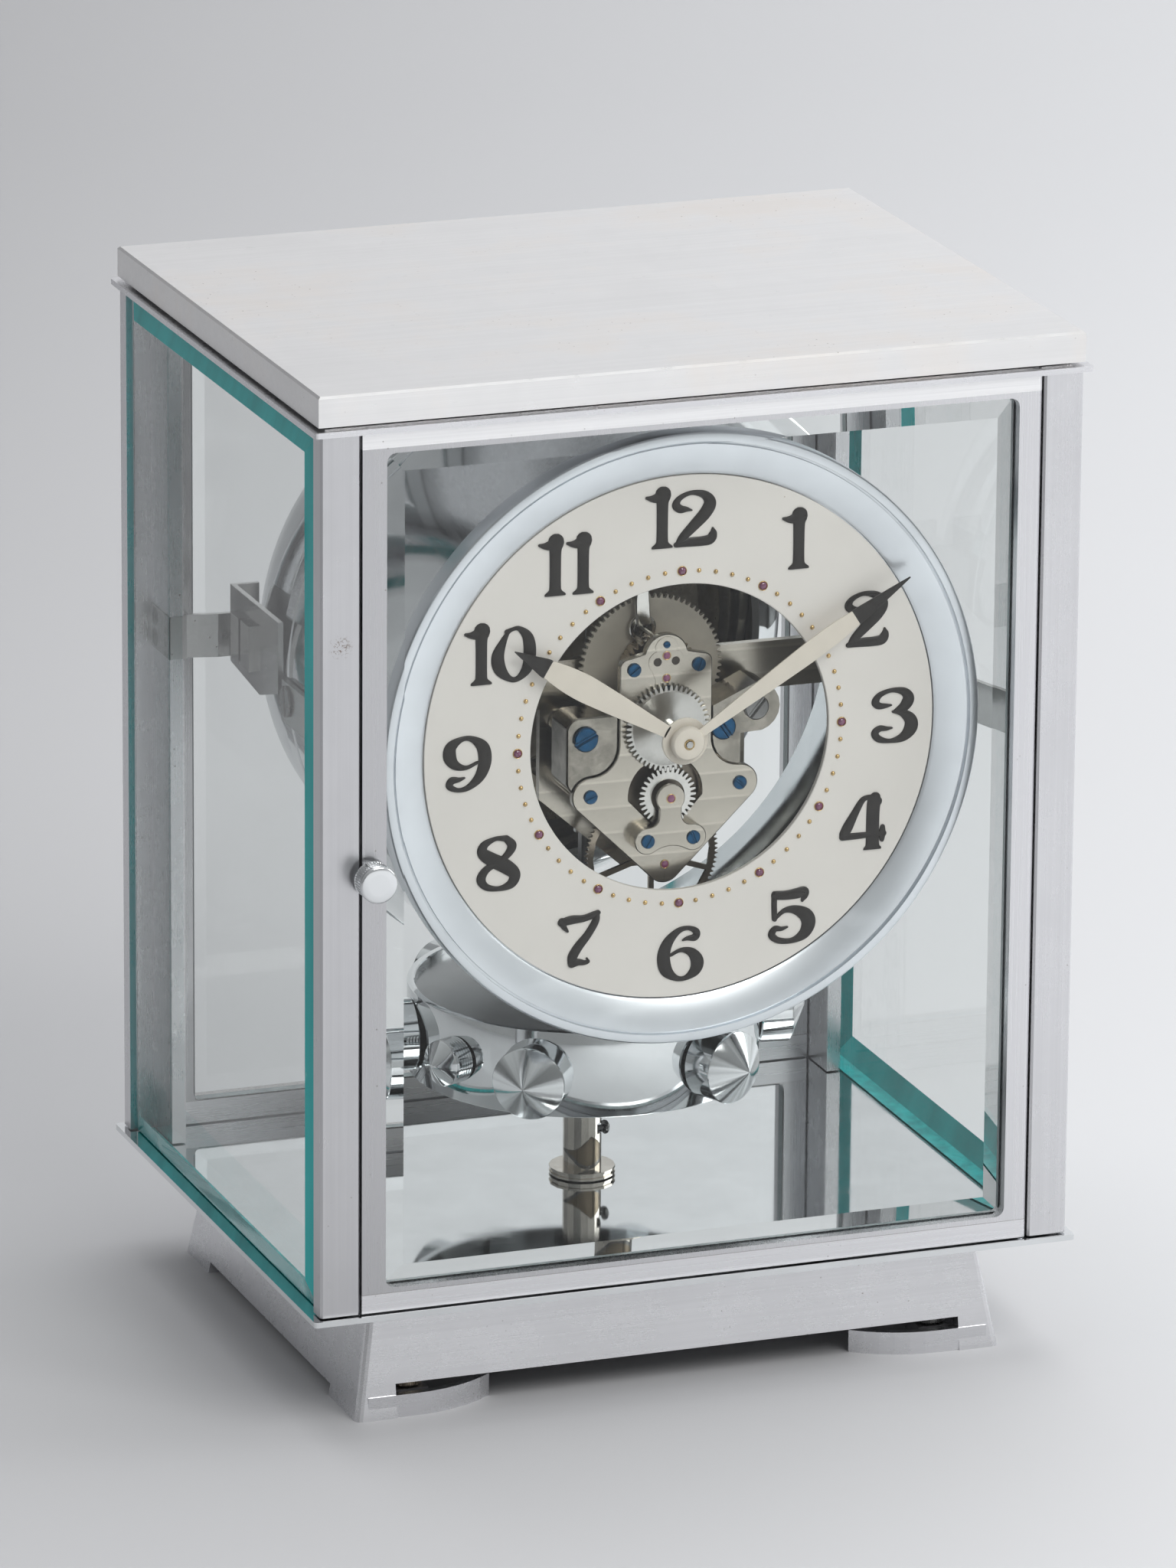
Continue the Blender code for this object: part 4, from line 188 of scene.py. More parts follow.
# The camera: azimuth, elevation and roll in degrees, its place in metres, lens and sensor in millimetres
CAMERA_TURN = (-20.3264, 16.9340, 0.43776)
CAMERA_PLACE = (-0.77171, -2.078675, 0.79707)
CAMERA_LENS = 239.23
CAMERA_SENSOR = 36.0


def placed(origin, across, up, along):
    """Where a drawn point (u, v, w) goes: origin + u across + v up + w along."""
    origin, across, up, along = (np.asarray(x, float) for x in (origin, across, up, along))

    def at(u, v, w):
        u, v, w = np.broadcast_arrays(np.asarray(u, float), v, w)
        return origin + u[..., None] * across + v[..., None] * up + w[..., None] * along

    return at


def facing_front(place):
    """Faces the viewer about a place; w runs back from it."""
    return placed(place, (1, 0, 0), (0, 0, 1), (0, 1, 0))


def facing_side(place):
    """Faces the left side about a place; w runs to the right from it."""
    return placed(place, (0, 1, 0), (0, 0, 1), (1, 0, 0))


def on_dial(u=0.0, v=0.0, depth=None):
    """Faces the viewer about a point of the dial; w runs back from the given depth."""
    front = DIAL_CENTRE[1] if depth is None else depth
    return facing_front((DIAL_CENTRE[0] + u, front, DIAL_CENTRE[2] + v))


def standing(x=0.0, y=0.0):
    """Stands upright about a point of the ground; w runs up from it."""
    return placed((x, y, 0.0), (1, 0, 0), (0, 1, 0), (0, 0, 1))


# Surfaces as whole arrays
def lattice(rows, columns, around=False, along=False):
    """Faces of a grid of rows by columns points; around and along close it on itself."""
    row = np.arange(rows if along else rows - 1)[:, None]
    column = np.arange(columns if around else columns - 1)[None, :]
    after = (row + 1) % rows * columns
    beside = (column + 1) % columns
    row = row * columns
    return np.stack((row + column, row + beside, after + beside, after + column), -1).reshape(-1, 4)


def ends(rows, columns):
    """One face over the first row and one over the last."""
    return [np.arange(columns)[None, ::-1], ((rows - 1) * columns + np.arange(columns))[None, :]]


class Mould:
    """Gathers surfaces, each a block of points with its faces, and casts them as one mesh."""

    def __init__(self):
        self.points = []
        self.faces = []
        self.finishes = []
        self.count = 0

    def add(self, points, groups, finish=0):
        """Takes a surface with one finish for all of its groups of faces, or a finish for each."""
        points = np.asarray(points, float).reshape(-1, 3)
        finishes = finish if isinstance(finish, tuple) else [finish] * len(groups)
        for group, index in zip(groups, finishes):
            rows = (np.asarray(group) + self.count).tolist()
            self.faces += rows
            self.finishes += [index] * len(rows)
        self.points.append(points)
        self.count += len(points)
        return self

    def repeat(self, points, groups, shifts):
        """The same surface at several places: every shift is added to every point at once."""
        points = points.reshape(-1, 3)
        starts = np.arange(len(shifts))[:, None, None] * len(points)
        widened = [(group + starts).reshape(-1, group.shape[-1]) for group in groups]
        return self.add(points[None] + shifts[:, None], widened)

    def cast(self, name, body, materials, slot, hides=(), smooth=32.0):
        """Makes one object that rides a body and stands for the nodes it hides.

        Edges that bend by more than smooth, in degrees, stay sharp.
        """
        mesh = bpy.data.meshes.new(name)
        mesh.from_pydata(np.concatenate(self.points).tolist(), [], self.faces)
        shape = bmesh.new()
        shape.from_mesh(mesh)
        bmesh.ops.recalc_face_normals(shape, faces=shape.faces)
        shape.to_mesh(mesh)
        shape.free()
        for material in materials:
            mesh.materials.append(material)
        mesh.polygons.foreach_set("material_index", np.array(self.finishes, np.int32))
        mesh.shade_smooth()
        mesh.set_sharp_from_angle(angle=math.radians(smooth))
        mesh.update()
        thing = bpy.data.objects.new(name, mesh)
        bpy.context.scene.collection.objects.link(thing)
        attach(thing, body)
        if hides:
            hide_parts(*hides)
        return thing


def profile(*rows, radius=0.0, height=0.0):
    """Rows of (radius, height) in millimetres, counted from a radius and a height in metres."""
    return np.array(rows) * MM + (radius, height)


def arcs(*rows):
    """Rounds joined by straight lines: rows of (u, v, radius, first and last bearing in degrees)."""
    rounds = []
    for u, v, radius, first, last in rows:
        bearing = np.radians(np.linspace(first, last, int(abs(last - first) / 8.0) + 2))
        rounds.append(np.stack([u + radius * np.cos(bearing), v + radius * np.sin(bearing)], 1))
    return np.concatenate(rounds) * MM


def both_sides(right):
    """The right half of an outline, from its lowest point up, and the same mirrored and run back down."""
    return np.concatenate([right, right[::-1] * (-1.0, 1.0)])


def drawn_in(outline, bevel):
    """An outline moved inwards along its own normals."""
    tangent = np.roll(outline, -1, 0) - np.roll(outline, 1, 0)
    normal = np.stack([tangent[:, 1], -tangent[:, 0]], 1) / np.linalg.norm(tangent, axis=1)[:, None]
    return outline - normal * bevel


def turned(rows, sides, at, closed=False):
    """A profile of (radius, height) carried round: u = r cos a, v = r sin a, w = h. Closed, it is a ring."""
    radius, height = np.asarray(rows, float).T[:, :, None]
    angle = np.linspace(0.0, TURN, sides, endpoint=False)[None, :]
    points = at(radius * np.cos(angle), radius * np.sin(angle), height)
    groups = [lattice(len(rows), sides, True, closed)]
    return points, groups if closed else groups + ends(len(rows), sides)


def toothed(teeth, root, tip, bore, start, end, at, share=0.0):
    """A wheel with rounded teeth: its rim is root + (tip - root) s, with s a softened pulse of cos(n a)."""
    angle = np.linspace(0.0, TURN, teeth * POINTS_PER_TOOTH, endpoint=False)
    wave = np.cos(teeth * (angle - TURN * share / teeth))
    rim = root + (tip - root) * np.clip(0.5 + 1.3 * wave, 0.0, 1.0) ** 0.8
    hole = 0.0 * rim + bore
    radius = np.stack([hole, rim - TOOTH_EDGE, rim, rim, rim - TOOTH_EDGE, hole])
    height = np.array([start, start, start + TOOTH_EDGE, end - TOOTH_EDGE, end, end])[:, None]
    points = at(radius * np.cos(angle), radius * np.sin(angle), height)
    return points, [lattice(6, len(angle), True, True)]


def plate(outline, start, end, bevel, at):
    """A flat outline made a wall from start to end; both edges are drawn in along the outline's normals."""
    outline = np.asarray(outline, float)
    inner = drawn_in(outline, bevel)
    rings = np.stack([inner, outline, outline, inner])
    height = np.array([start, start + bevel, end - bevel, end])[:, None]
    points = at(rings[..., 0], rings[..., 1], height)
    return points, [lattice(4, len(outline), True), *ends(4, len(outline))]


def windowed(outline, middle, radius, start, end, bevel, at):
    """A bevelled wall with a round window: each outline point meets the rim at its own bearing."""
    inner = drawn_in(outline, bevel)
    away = outline - np.asarray(middle)
    toward = away / np.linalg.norm(away, axis=1)[:, None]
    rim = middle + toward * radius
    lip = middle + toward * (radius + bevel)
    rings = np.stack([rim, lip, inner, outline, outline, inner, rim])
    height = np.array([start + bevel, start, start, start + bevel, end - bevel, end, end])[:, None]
    return at(rings[..., 0], rings[..., 1], height), [lattice(7, len(outline), True, True)]


def smoothed(route, steps):
    """A soft curve through the given rows: on each span, the cubic that its four nearest rows set."""
    route = np.asarray(route, float)
    padded = np.concatenate([2 * route[:1] - route[1:2], route, 2 * route[-1:] - route[-2:-1]])
    t = np.linspace(0.0, 1.0, steps, endpoint=False)[None, :, None]
    a, b, c, d = (padded[i:len(route) - 1 + i, None] for i in range(4))
    square = 2 * a - 5 * b + 4 * c - d
    cube = 3 * b - a - 3 * c + d
    spans = 0.5 * (2 * b + (c - a) * t + square * t ** 2 + cube * t ** 3)
    return np.concatenate([spans.reshape(-1, route.shape[1]), route[-1:]])


def stroke(route, rise, at, round_start=True, round_end=True, steps=7):
    """A raised stroke on a route of (u, v, width): a slab with soft shoulders and round or flat ends."""
    line = smoothed(route, steps)
    reach = np.array([0.96, 0.75, 0.45])[:, None]
    share = np.sqrt(1.0 - reach ** 2)

    def cap(first, second):
        direction = (first - second)[:2] / max(np.linalg.norm((first - second)[:2]), 1e-9)
        place = first[:2] + direction * reach * first[2] / 2.0
        return np.concatenate([place, first[2] * share], 1)

    parts = [line]
    if round_start:
        parts.insert(0, cap(line[0], line[1]))
    if round_end:
        parts.append(cap(line[-1], line[-2])[::-1])
    line = np.concatenate(parts)
    tangent = np.gradient(line[:, :2], axis=0)
    pace = np.linalg.norm(tangent, axis=1)[:, None] + 1e-12
    side = np.stack([-tangent[:, 1], tangent[:, 0]], 1) / pace
    across = np.array([-1.0, -1.0, -0.80, 0.0, 0.80, 1.0, 1.0])
    lift = np.array([-0.3, 0.55, 1.0, 1.08, 1.0, 0.55, -0.3]) * rise
    flat = line[:, None, :2] + side[:, None] * (across[None, :] * line[:, 2:3] / 2.0)[..., None]
    points = at(flat[..., 0], flat[..., 1], -lift[None, :])
    return points, [lattice(len(line), 7, True), *ends(len(line), 7)]


def brick(start, end, bevel):
    """A box between two corners with its upright edges drawn in."""
    (x0, y0, z0), (x1, y1, z1) = start, end
    outline = [(x0, y0), (x1, y0), (x1, y1), (x0, y1)]
    return plate(outline, z0, z1, bevel, standing())


def wrapped(bearing, lower, upper, radius, thick, centre):
    """A sheet bent round an upright rod: each bearing has its own lower and upper edge, above zero."""
    reach = np.array([radius - thick, radius, radius, radius - thick])[:, None]
    rise = np.stack([lower, lower, upper, upper])
    points = np.stack([centre[0] + reach * np.cos(bearing), centre[1] + reach * np.sin(bearing), rise], -1)
    first = np.arange(4)[None, :] * len(bearing)
    last = first[:, ::-1] + len(bearing) - 1
    return points, [lattice(4, len(bearing), False, True), first, last]


def screw(mould, radius, rise, at, degrees, finish=0):
    """A slotted head: two rounds cut short beside the slot, on a thinner disc that closes its floor."""
    start = math.asin(SLOT_SHARE / 2.0)
    angle = np.linspace(start, math.pi - start, 22) + math.radians(degrees)
    for side in (radius, -radius):
        outline = side * np.stack([np.cos(angle), np.sin(angle)], 1)
        mould.add(*plate(outline, -rise, SUNK, min(radius * 0.1, rise * 0.35), at), finish)
    mould.add(*turned([(radius * 0.96, SUNK), (radius * 0.96, -rise * 0.45)], 32, at), finish)


def jewel(mould, radius, rise, at, finish):
    """A set stone: a rounded ring, and a domed stone of the next finish inside it."""
    bend = np.linspace(0.0, math.pi, 7)
    ring = np.stack([radius * 1.16 + radius * 0.14 * np.cos(bend), -rise * 0.55 * np.sin(bend)], 1)
    mould.add(*turned([(radius * 1.30, SUNK), *ring, (radius * 1.02, SUNK)], 32, at, True), finish)
    bend = np.linspace(math.pi / 2.0, 0.12, 6)
    dome = np.stack([radius * np.sin(bend), -rise * np.cos(bend)], 1)
    mould.add(*turned([(radius, SUNK), *dome], 32, at), finish + 1)


# Shader sums as Python expressions
def operator(operation, swapped=False):
    """An operator that adds one Math node; swapped, the other value comes first."""

    def apply(wire, other):
        pair = (other, wire) if swapped else (wire, other)
        return wire.maths(operation, *pair)

    return apply


class Wire:
    """A socket with arithmetic: each operator adds a Math node to its finish."""

    def __init__(self, finish, socket):
        self.finish = finish
        self.socket = socket

    def maths(self, operation, *values, clamp=False):
        """One Math node on numbers and wires."""
        settings = {"operation": operation, "use_clamp": clamp}
        return self.finish.node("ShaderNodeMath", settings, dict(enumerate(values)))

    __add__ = __radd__ = operator("ADD")
    __mul__ = __rmul__ = operator("MULTIPLY")
    __sub__ = operator("SUBTRACT")
    __rsub__ = operator("SUBTRACT", True)
    __truediv__ = operator("DIVIDE")
    __pow__ = operator("POWER")
    __gt__ = operator("GREATER_THAN")
    __lt__ = operator("LESS_THAN")

    def bearing(self, other):
        """The angle whose tangent is this wire over the other."""
        return self.maths("ARCTAN2", self, other)

    def saw(self):
        """What lies past the whole number: a ramp that starts anew at every whole."""
        return self.maths("FRACT", self)

    def sine(self):
        """The sine of an angle in radians."""
        return self.maths("SINE", self)

    def between(self, start, end):
        """0 at start, 1 at end and straight in between."""
        return self.maths("MULTIPLY", self - start, 1.0 / (end - start), clamp=True)


class Finish:
    """The nodes of one material, with a Principled shader in front of its output."""

    def __init__(self, name, **constants):
        self.material = bpy.data.materials.new(name)
        self.material.use_nodes = True
        self.tree = self.material.node_tree
        self.tree.nodes.clear()
        self.output = self.tree.nodes.new("ShaderNodeOutputMaterial")
        self.shader = self.tree.nodes.new("ShaderNodeBsdfPrincipled")
        self.surface = Wire(self, self.shader.outputs[0])
        self.tree.links.new(self.surface.socket, self.output.inputs["Surface"])
        for label, value in constants.items():
            self.shader.inputs[label.replace("_", " ")].default_value = value
        self.spot = self.node("ShaderNodeTexCoord", output="Object")

    def node(self, kind, settings=None, inputs=None, output=0):
        """Adds a node: its settings first, then the values or links of its sockets."""
        made = self.tree.nodes.new(kind)
        for label, value in (settings or {}).items():
            setattr(made, label, value)
        for label, value in (inputs or {}).items():
            if isinstance(value, Wire):
                self.tree.links.new(value.socket, made.inputs[label])
            else:
                made.inputs[label].default_value = value
        return Wire(self, made.outputs[output])

    def axes(self, *indices):
        """Coordinates of the spot, each on a wire: 0, 1 and 2 for x, y and z."""
        return [self.node("ShaderNodeSeparateXYZ", None, {0: self.spot}, index) for index in indices]

    def noise(self, scale, detail=3.0, rough=0.6, spot=None):
        """Cloudy noise on the object's own coordinates, with so many waves per metre."""
        settings = {"Vector": spot or self.spot, "Scale": scale, "Detail": detail, "Roughness": rough}
        return self.node("ShaderNodeTexNoise", None, settings)

    def stretched(self, scale, detail=3.0, rough=0.6):
        """Noise with its own number of waves per metre along x, y and z."""
        spot = self.node("ShaderNodeMapping", None, {"Vector": self.spot, "Scale": scale})
        return self.noise(1.0, detail, rough, spot)

    def streaks(self, axis, along, across, detail=3.0, rough=0.6):
        """Noise drawn out: so many waves per metre along one axis and so many across it."""
        scale = [across] * 3
        scale[axis] = along
        return self.stretched(scale, detail, rough)

    def near(self, place, radius):
        """1 at a place, falling to 0 at a radius from it."""
        pair = {0: self.spot, 1: tuple(place)}
        apart = self.node("ShaderNodeVectorMath", {"operation": "DISTANCE"}, pair, 1)
        return 1.0 - apart.between(radius * 0.15, radius)

    def specks(self, scale, size):
        """1 in scattered round specks, 0 elsewhere."""
        away = self.node("ShaderNodeTexVoronoi", None, {"Vector": self.spot, "Scale": scale})
        return 1.0 - away.between(size * 0.5, size)

    def slant(self, blend=0.5):
        """0 where a surface faces the viewer, rising to 1 at a grazing angle."""
        return self.node("ShaderNodeLayerWeight", None, {"Blend": blend}, 1)

    def blend(self, factor, first, second):
        """The first colour where the factor is 0 and the second where it is 1."""
        pair = [value if isinstance(value, Wire) else (*value[:3], 1.0) for value in (first, second)]
        return self.node("ShaderNodeMix", {"data_type": "RGBA"}, {0: factor, 6: pair[0], 7: pair[1]}, 2)

    def toned(self, colour, first, *coats):
        """Shades of one colour laid over each other: the first shade, then each by its mask."""
        tone = shade(colour, first)
        for mask, factor in coats:
            tone = self.blend(mask, tone, shade(colour, factor))
        return tone

    def feed(self, **wires):
        """Links wires to the sockets of the shader by their names."""
        for label, wire in wires.items():
            self.tree.links.new(wire.socket, self.shader.inputs[label.replace("_", " ")])
        return self

    def bump(self, height, distance, strength=0.4):
        """Raises the surface by a height on a wire."""
        values = {"Strength": strength, "Distance": distance, "Height": height}
        return self.feed(Normal=self.node("ShaderNodeBump", None, values))

    def clear(self, tint):
        """Lets light through with a tint."""
        return self.node("ShaderNodeBsdfTransparent", None, {"Color": (*tint, 1.0)})

    def gloss(self):
        """A perfect mirror."""
        return self.node("ShaderNodeBsdfGlossy", None, {"Roughness": 0.0})

    def mirror_share(self):
        """How much a glass surface mirrors: 0.02 face on and rising with the fifth power of the slant."""
        return 0.02 + 0.96 * self.slant() ** 5.0

    def join(self, factor, first, second):
        """Puts a mix of two shaders in front of the output: the first at 0 and the second at 1."""
        mixed = self.node("ShaderNodeMixShader", None, {0: factor, 1: first, 2: second})
        self.tree.links.new(mixed.socket, self.output.inputs["Surface"])
        return mixed


def shade(colour, factor):
    """A colour made darker or lighter; no channel goes past 1."""
    return tuple(min(c * factor, 1.0) for c in colour[:3])


def brushed(name, colour, axis, rough=0.28, stain=None, rust=None):
    """Satin plated metal: long scratches along one axis, cloudy wear, pin holes, a stain or a rusty place."""
    finish = Finish(name, Metallic=1.0)
    lines = finish.streaks(axis, *FINE_GRAIN)
    bands = finish.streaks(axis, *WIDE_GRAIN)
    cloud = finish.noise(28.0, 4.0)
    wear = finish.noise(170.0)
    pits = finish.specks(PIT_SCALE, 0.10) * cloud.between(0.52, 0.66)
    tone = finish.toned(colour, 0.95, (cloud.between(0.32, 0.70), 1.03),
                        (bands.between(0.35, 0.70) * 0.35, 0.86), (lines.between(0.30, 0.72) * 0.20, 0.80))
    if stain:
        tone = finish.blend(cloud.between(0.50, 0.72) * 0.6, tone, stain)
    tone = finish.blend(pits * 0.7, tone, PIT_TINT)
    if rust:
        speckle = finish.noise(1900.0, 3.0, 0.7).between(0.55, 0.62) * finish.near(*rust)
        tone = finish.blend(speckle, tone, RUST_TINT)
    finish.feed(Base_Color=tone, Roughness=rough + 0.08 * (lines - 0.5) + 0.10 * (wear - 0.5) + 0.2 * pits)
    finish.bump(lines * 0.5 + bands * 0.5 + wear * 0.05, 0.004 * MM)
    return finish.material


def framed(name, colour, node):
    """A satin frame: bright rails brushed along x, lightened as a painted highlight, and stiles brushed along
    z that dull towards the left as painted shade.
    """
    finish = Finish(name, Metallic=1.0)
    x, z = finish.axes(0, 2)
    joint = low(node)[2] + LOWER_RAIL
    upper = z > high(node)[2] - UPPER_RAIL
    lower = z < joint
    along_x = finish.streaks(0, *FINE_GRAIN)
    along_z = finish.streaks(2, *FINE_GRAIN)
    lines = along_z + (upper + lower) * (along_x - along_z)
    pits = finish.specks(PIT_SCALE, 0.10) * finish.noise(170.0).between(0.52, 0.66)
    # Painted light: the ramp over x darkens the frame towards the left as painted shade, and the upper and
    # lower rails take lighter shades as a painted highlight of their brushing
    tone = finish.toned(colour, 0.66, (x.between(-FRAME_HALF_WIDTH, FRAME_HALF_WIDTH), 0.92), (upper, 1.26),
                        (lower, 1.02), (lines.between(0.30, 0.72) * 0.20, 0.70))
    seam = (z > joint - HALF_SEAM) * (z < joint + HALF_SEAM)
    tone = finish.blend(seam * 0.45 + pits * 0.6, tone, SEAM_TINT)
    finish.feed(Base_Color=tone, Roughness=0.28 + 0.08 * (lines - 0.5) + 0.2 * upper)
    finish.bump(lines, 0.003 * MM)
    return finish.material


def coned(name, colour, height):
    """Mirror plated weights on a ring, whose turned cones carry painted reflections: light and dark wedges
    about their points.
    """
    finish = Finish(name, Metallic=1.0)
    step = TURN / WEIGHTS
    x, y, z = finish.axes(0, 1, 2)
    y = y - RING_AXIS
    reach = (x ** 2.0 + y ** 2.0) ** 0.5
    place = (y.bearing(x) + (TURN * 1.5 / WEIGHTS - math.radians(FIRST_WEIGHT))) / step
    aside = ((place.saw() - 0.5) * step).sine() * reach
    round_point = (z - height).bearing(aside)
    across, up = (round_point + TURN / 4.0).sine(), round_point.sine()
    which = (place - place.saw()) * 3.7
    spot = finish.node("ShaderNodeCombineXYZ", None, {0: across * 1.5, 1: up * 1.5, 2: which})
    painted_reflection_sectors = finish.noise(1.0, 2.0, 0.5, spot)
    wiped = finish.noise(120.0)
    cone = reach > RING_HIGH[0] + CONE_START
    # Painted reflection: the cones' colour swings between a dark and a light shade of chrome in wedges round
    # each point
    light = finish.toned(colour, 0.42, (painted_reflection_sectors.between(0.40, 0.60), 1.10))
    rough = 0.06 + 0.10 * wiped.between(0.5, 0.8) + cone * 0.06
    finish.feed(Base_Color=finish.blend(cone, colour, light), Roughness=rough)
    return finish.material


def polished(name, colour, rough=0.045, smears=0.10):
    """Mirror plated metal with faint wiping marks and dust."""
    finish = Finish(name, Metallic=1.0)
    wiped = finish.streaks(2, 140.0, 45.0, 4.0)
    dust = finish.specks(900.0, 0.055) * wiped.between(0.50, 0.62)
    tone = finish.toned(colour, 0.94, (finish.noise(60.0).between(0.3, 0.75), 1.03))
    finish.feed(Base_Color=tone, Roughness=rough + smears * wiped.between(0.52, 0.80) + 0.3 * dust)
    return finish.material


def striped(name, colour, pitch):
    """Nickel plates with wide parallel stripes, each bumped and given painted shade from one edge to the
    other, with a painted highlight where one stripe meets the next.
    """
    finish = Finish(name, Metallic=1.0)
    x, z = finish.axes(0, 2)
    band = ((z - DIAL_CENTRE[2] + 0.012 * x) / pitch).saw()
    lines = finish.streaks(0, 90.0, 2600.0, 4.0)
    cloud = finish.noise(90.0)
    painted_ridge_highlight = (band < 0.07) + (band > 0.97)
    # Painted light: each stripe's colour ramps darker across it as painted shade, with a lighter line as
    # painted highlight where stripes meet; the bump gives the same ramp a real slope
    tone = finish.toned(colour, 1.04, (band, 0.88), (painted_ridge_highlight * 0.5, 1.22),
                        (cloud.between(0.35, 0.8) * 0.35, 0.75))
    finish.feed(Base_Color=tone, Roughness=0.21 + 0.12 * (lines - 0.5) + 0.08 * (cloud - 0.5))
    finish.bump(band + lines * 0.15, 0.05 * MM, 0.15)
    return finish.material


def ringed(name, colour, centre, rough=0.24, metal=1.0):
    """Wheels and discs with fine rings about their own middle."""
    finish = Finish(name, Metallic=metal)
    x, z = finish.axes(0, 2)
    reach = ((x - centre[0]) ** 2.0 + (z - centre[2]) ** 2.0) ** 0.5
    rings = (reach * (TURN / (0.16 * MM)) + 3.0 * finish.noise(300.0, 3.0, 0.55)).sine()
    cloud = finish.noise(130.0)
    tone = finish.toned(colour, 1.04, (rings.between(-1.0, 1.0) * 0.4, 0.78),
                        (cloud.between(0.4, 0.8) * 0.5, 0.62))
    finish.feed(Base_Color=tone, Roughness=rough + 0.04 * rings + 0.10 * (cloud - 0.5))
    finish.bump(rings, 0.004 * MM)
    return finish.material


def tarnished(name, colour, rough=0.28, dark=0.55):
    """Bare brass or steel with cloudy tarnish and fine scratches."""
    finish = Finish(name, Metallic=1.0)
    cloud = finish.noise(150.0, 4.0, 0.65)
    scratch = finish.stretched((3000.0, 600.0, 900.0), 3.0, 0.7)
    tone = finish.toned(colour, 1.0, (cloud.between(0.35, 0.75), dark))
    finish.feed(Base_Color=tone, Roughness=rough + 0.14 * (scratch - 0.5) + 0.12 * (cloud - 0.5))
    finish.bump(scratch, 0.006 * MM)
    return finish.material


def silvered(name, colour):
    """Matt silvering with a fine tooth, faint clouds and a few age spots."""
    finish = Finish(name, Metallic=0.15, Specular_IOR_Level=0.4)
    tooth = finish.noise(5200.0, 2.0)
    cloud = finish.noise(46.0, 4.0)
    spots = finish.specks(150.0, 0.035) * cloud.between(0.55, 0.62)
    tone = finish.toned(colour, 0.97, (cloud.between(0.3, 0.75), 1.02),
                        (tooth.between(0.35, 0.75) * 0.30, 0.90))
    finish.feed(Base_Color=finish.blend(spots * 0.5, tone, SPOT_TINT), Roughness=0.48 + 0.12 * (tooth - 0.5))
    finish.bump(tooth, 0.010 * MM, 0.5)
    return finish.material


def painted(name, colour, rough=0.38, patch=1.18):
    """Paint laid by hand, with slight brush grain, specks and patches of another shade."""
    finish = Finish(name, Specular_IOR_Level=0.25)
    grain = finish.noise(1400.0)
    cloud = finish.noise(210.0)
    specks = finish.specks(1500.0, 0.05)
    tone = finish.toned(colour, 0.88, (cloud.between(0.35, 0.75), patch), (specks * 0.6, 0.5))
    finish.feed(Base_Color=tone, Roughness=rough + 0.15 * (grain - 0.5))
    finish.bump(grain, 0.006 * MM, 0.5)
    return finish.material


def blued(name, colour):
    """Heat-blued steel with a polished, faintly scratched face."""
    finish = Finish(name, Metallic=0.9, Coat_Weight=0.05, Coat_Roughness=0.12)
    scratch = finish.streaks(2, 4200.0, 900.0, 3.0, 0.7)
    tone = finish.toned(colour, 1.0, (finish.noise(700.0).between(0.3, 0.75), 0.55))
    finish.feed(Base_Color=tone, Roughness=0.24 + 0.16 * (scratch - 0.5))
    return finish.material


def ruby(name, colour):
    """A red stone with a painted highlight that makes it brighter towards its rim."""
    finish = Finish(name, Roughness=0.08, IOR=1.77, Coat_Weight=0.6, Coat_Roughness=0.04)
    cloud = finish.noise(1800.0)
    # Painted highlight: the colour lightens where the surface turns away from the viewer
    tone = finish.toned(colour, 0.7, (cloud.between(0.3, 0.75), 1.35), (finish.slant(0.35), 1.9))
    return finish.feed(Base_Color=tone).material


def clear_glass(name, tint):
    """A clear pane: what lies behind it, under a mirror that grows with the angle."""
    finish = Finish(name)
    smear = finish.noise(35.0, 4.0)
    finish.join(finish.mirror_share() * (0.80 + 0.20 * smear), finish.clear(tint), finish.gloss())
    finish.tree.nodes.remove(finish.shader)
    return finish.material


def bevel_glass(name, tint, deep, depth):
    """The cut border of a pane: it bends what lies behind it and turns deep green at a slant."""
    finish = Finish(name, Roughness=0.20, Specular_IOR_Level=0.2)
    grain = finish.streaks(2, 9.0, 80.0)
    finish.feed(Base_Color=finish.toned(deep, 1.0, (grain.between(0.3, 0.75), 0.62)))
    constants = {"Color": (*tint, 1.0), "Roughness": 0.0, "IOR": 1.30}
    bend = finish.node("ShaderNodeBsdfRefraction", None, constants)
    lamp = finish.node("ShaderNodeLightPath", output="Is Shadow Ray")
    seen = finish.join(lamp, bend, finish.clear(tint))
    facing = finish.slant()
    slant = facing.between(depth, depth + 0.12) * (1.0 - facing.between(0.78, 0.88))
    green = finish.join(slant * (1.0 - lamp), seen, finish.surface)
    finish.join(finish.mirror_share() * 0.45 * (1.0 - lamp), green, finish.gloss())
    return finish.material


def edge_glass(name, deep):
    """The ground edge of a pane, which holds the glass's own green."""
    finish = Finish(name, Roughness=0.25, Specular_IOR_Level=0.3)
    grain = finish.streaks(2, 20.0, 300.0)
    return finish.feed(Base_Color=finish.toned(deep, 1.0, (grain.between(0.3, 0.75), 0.5))).material


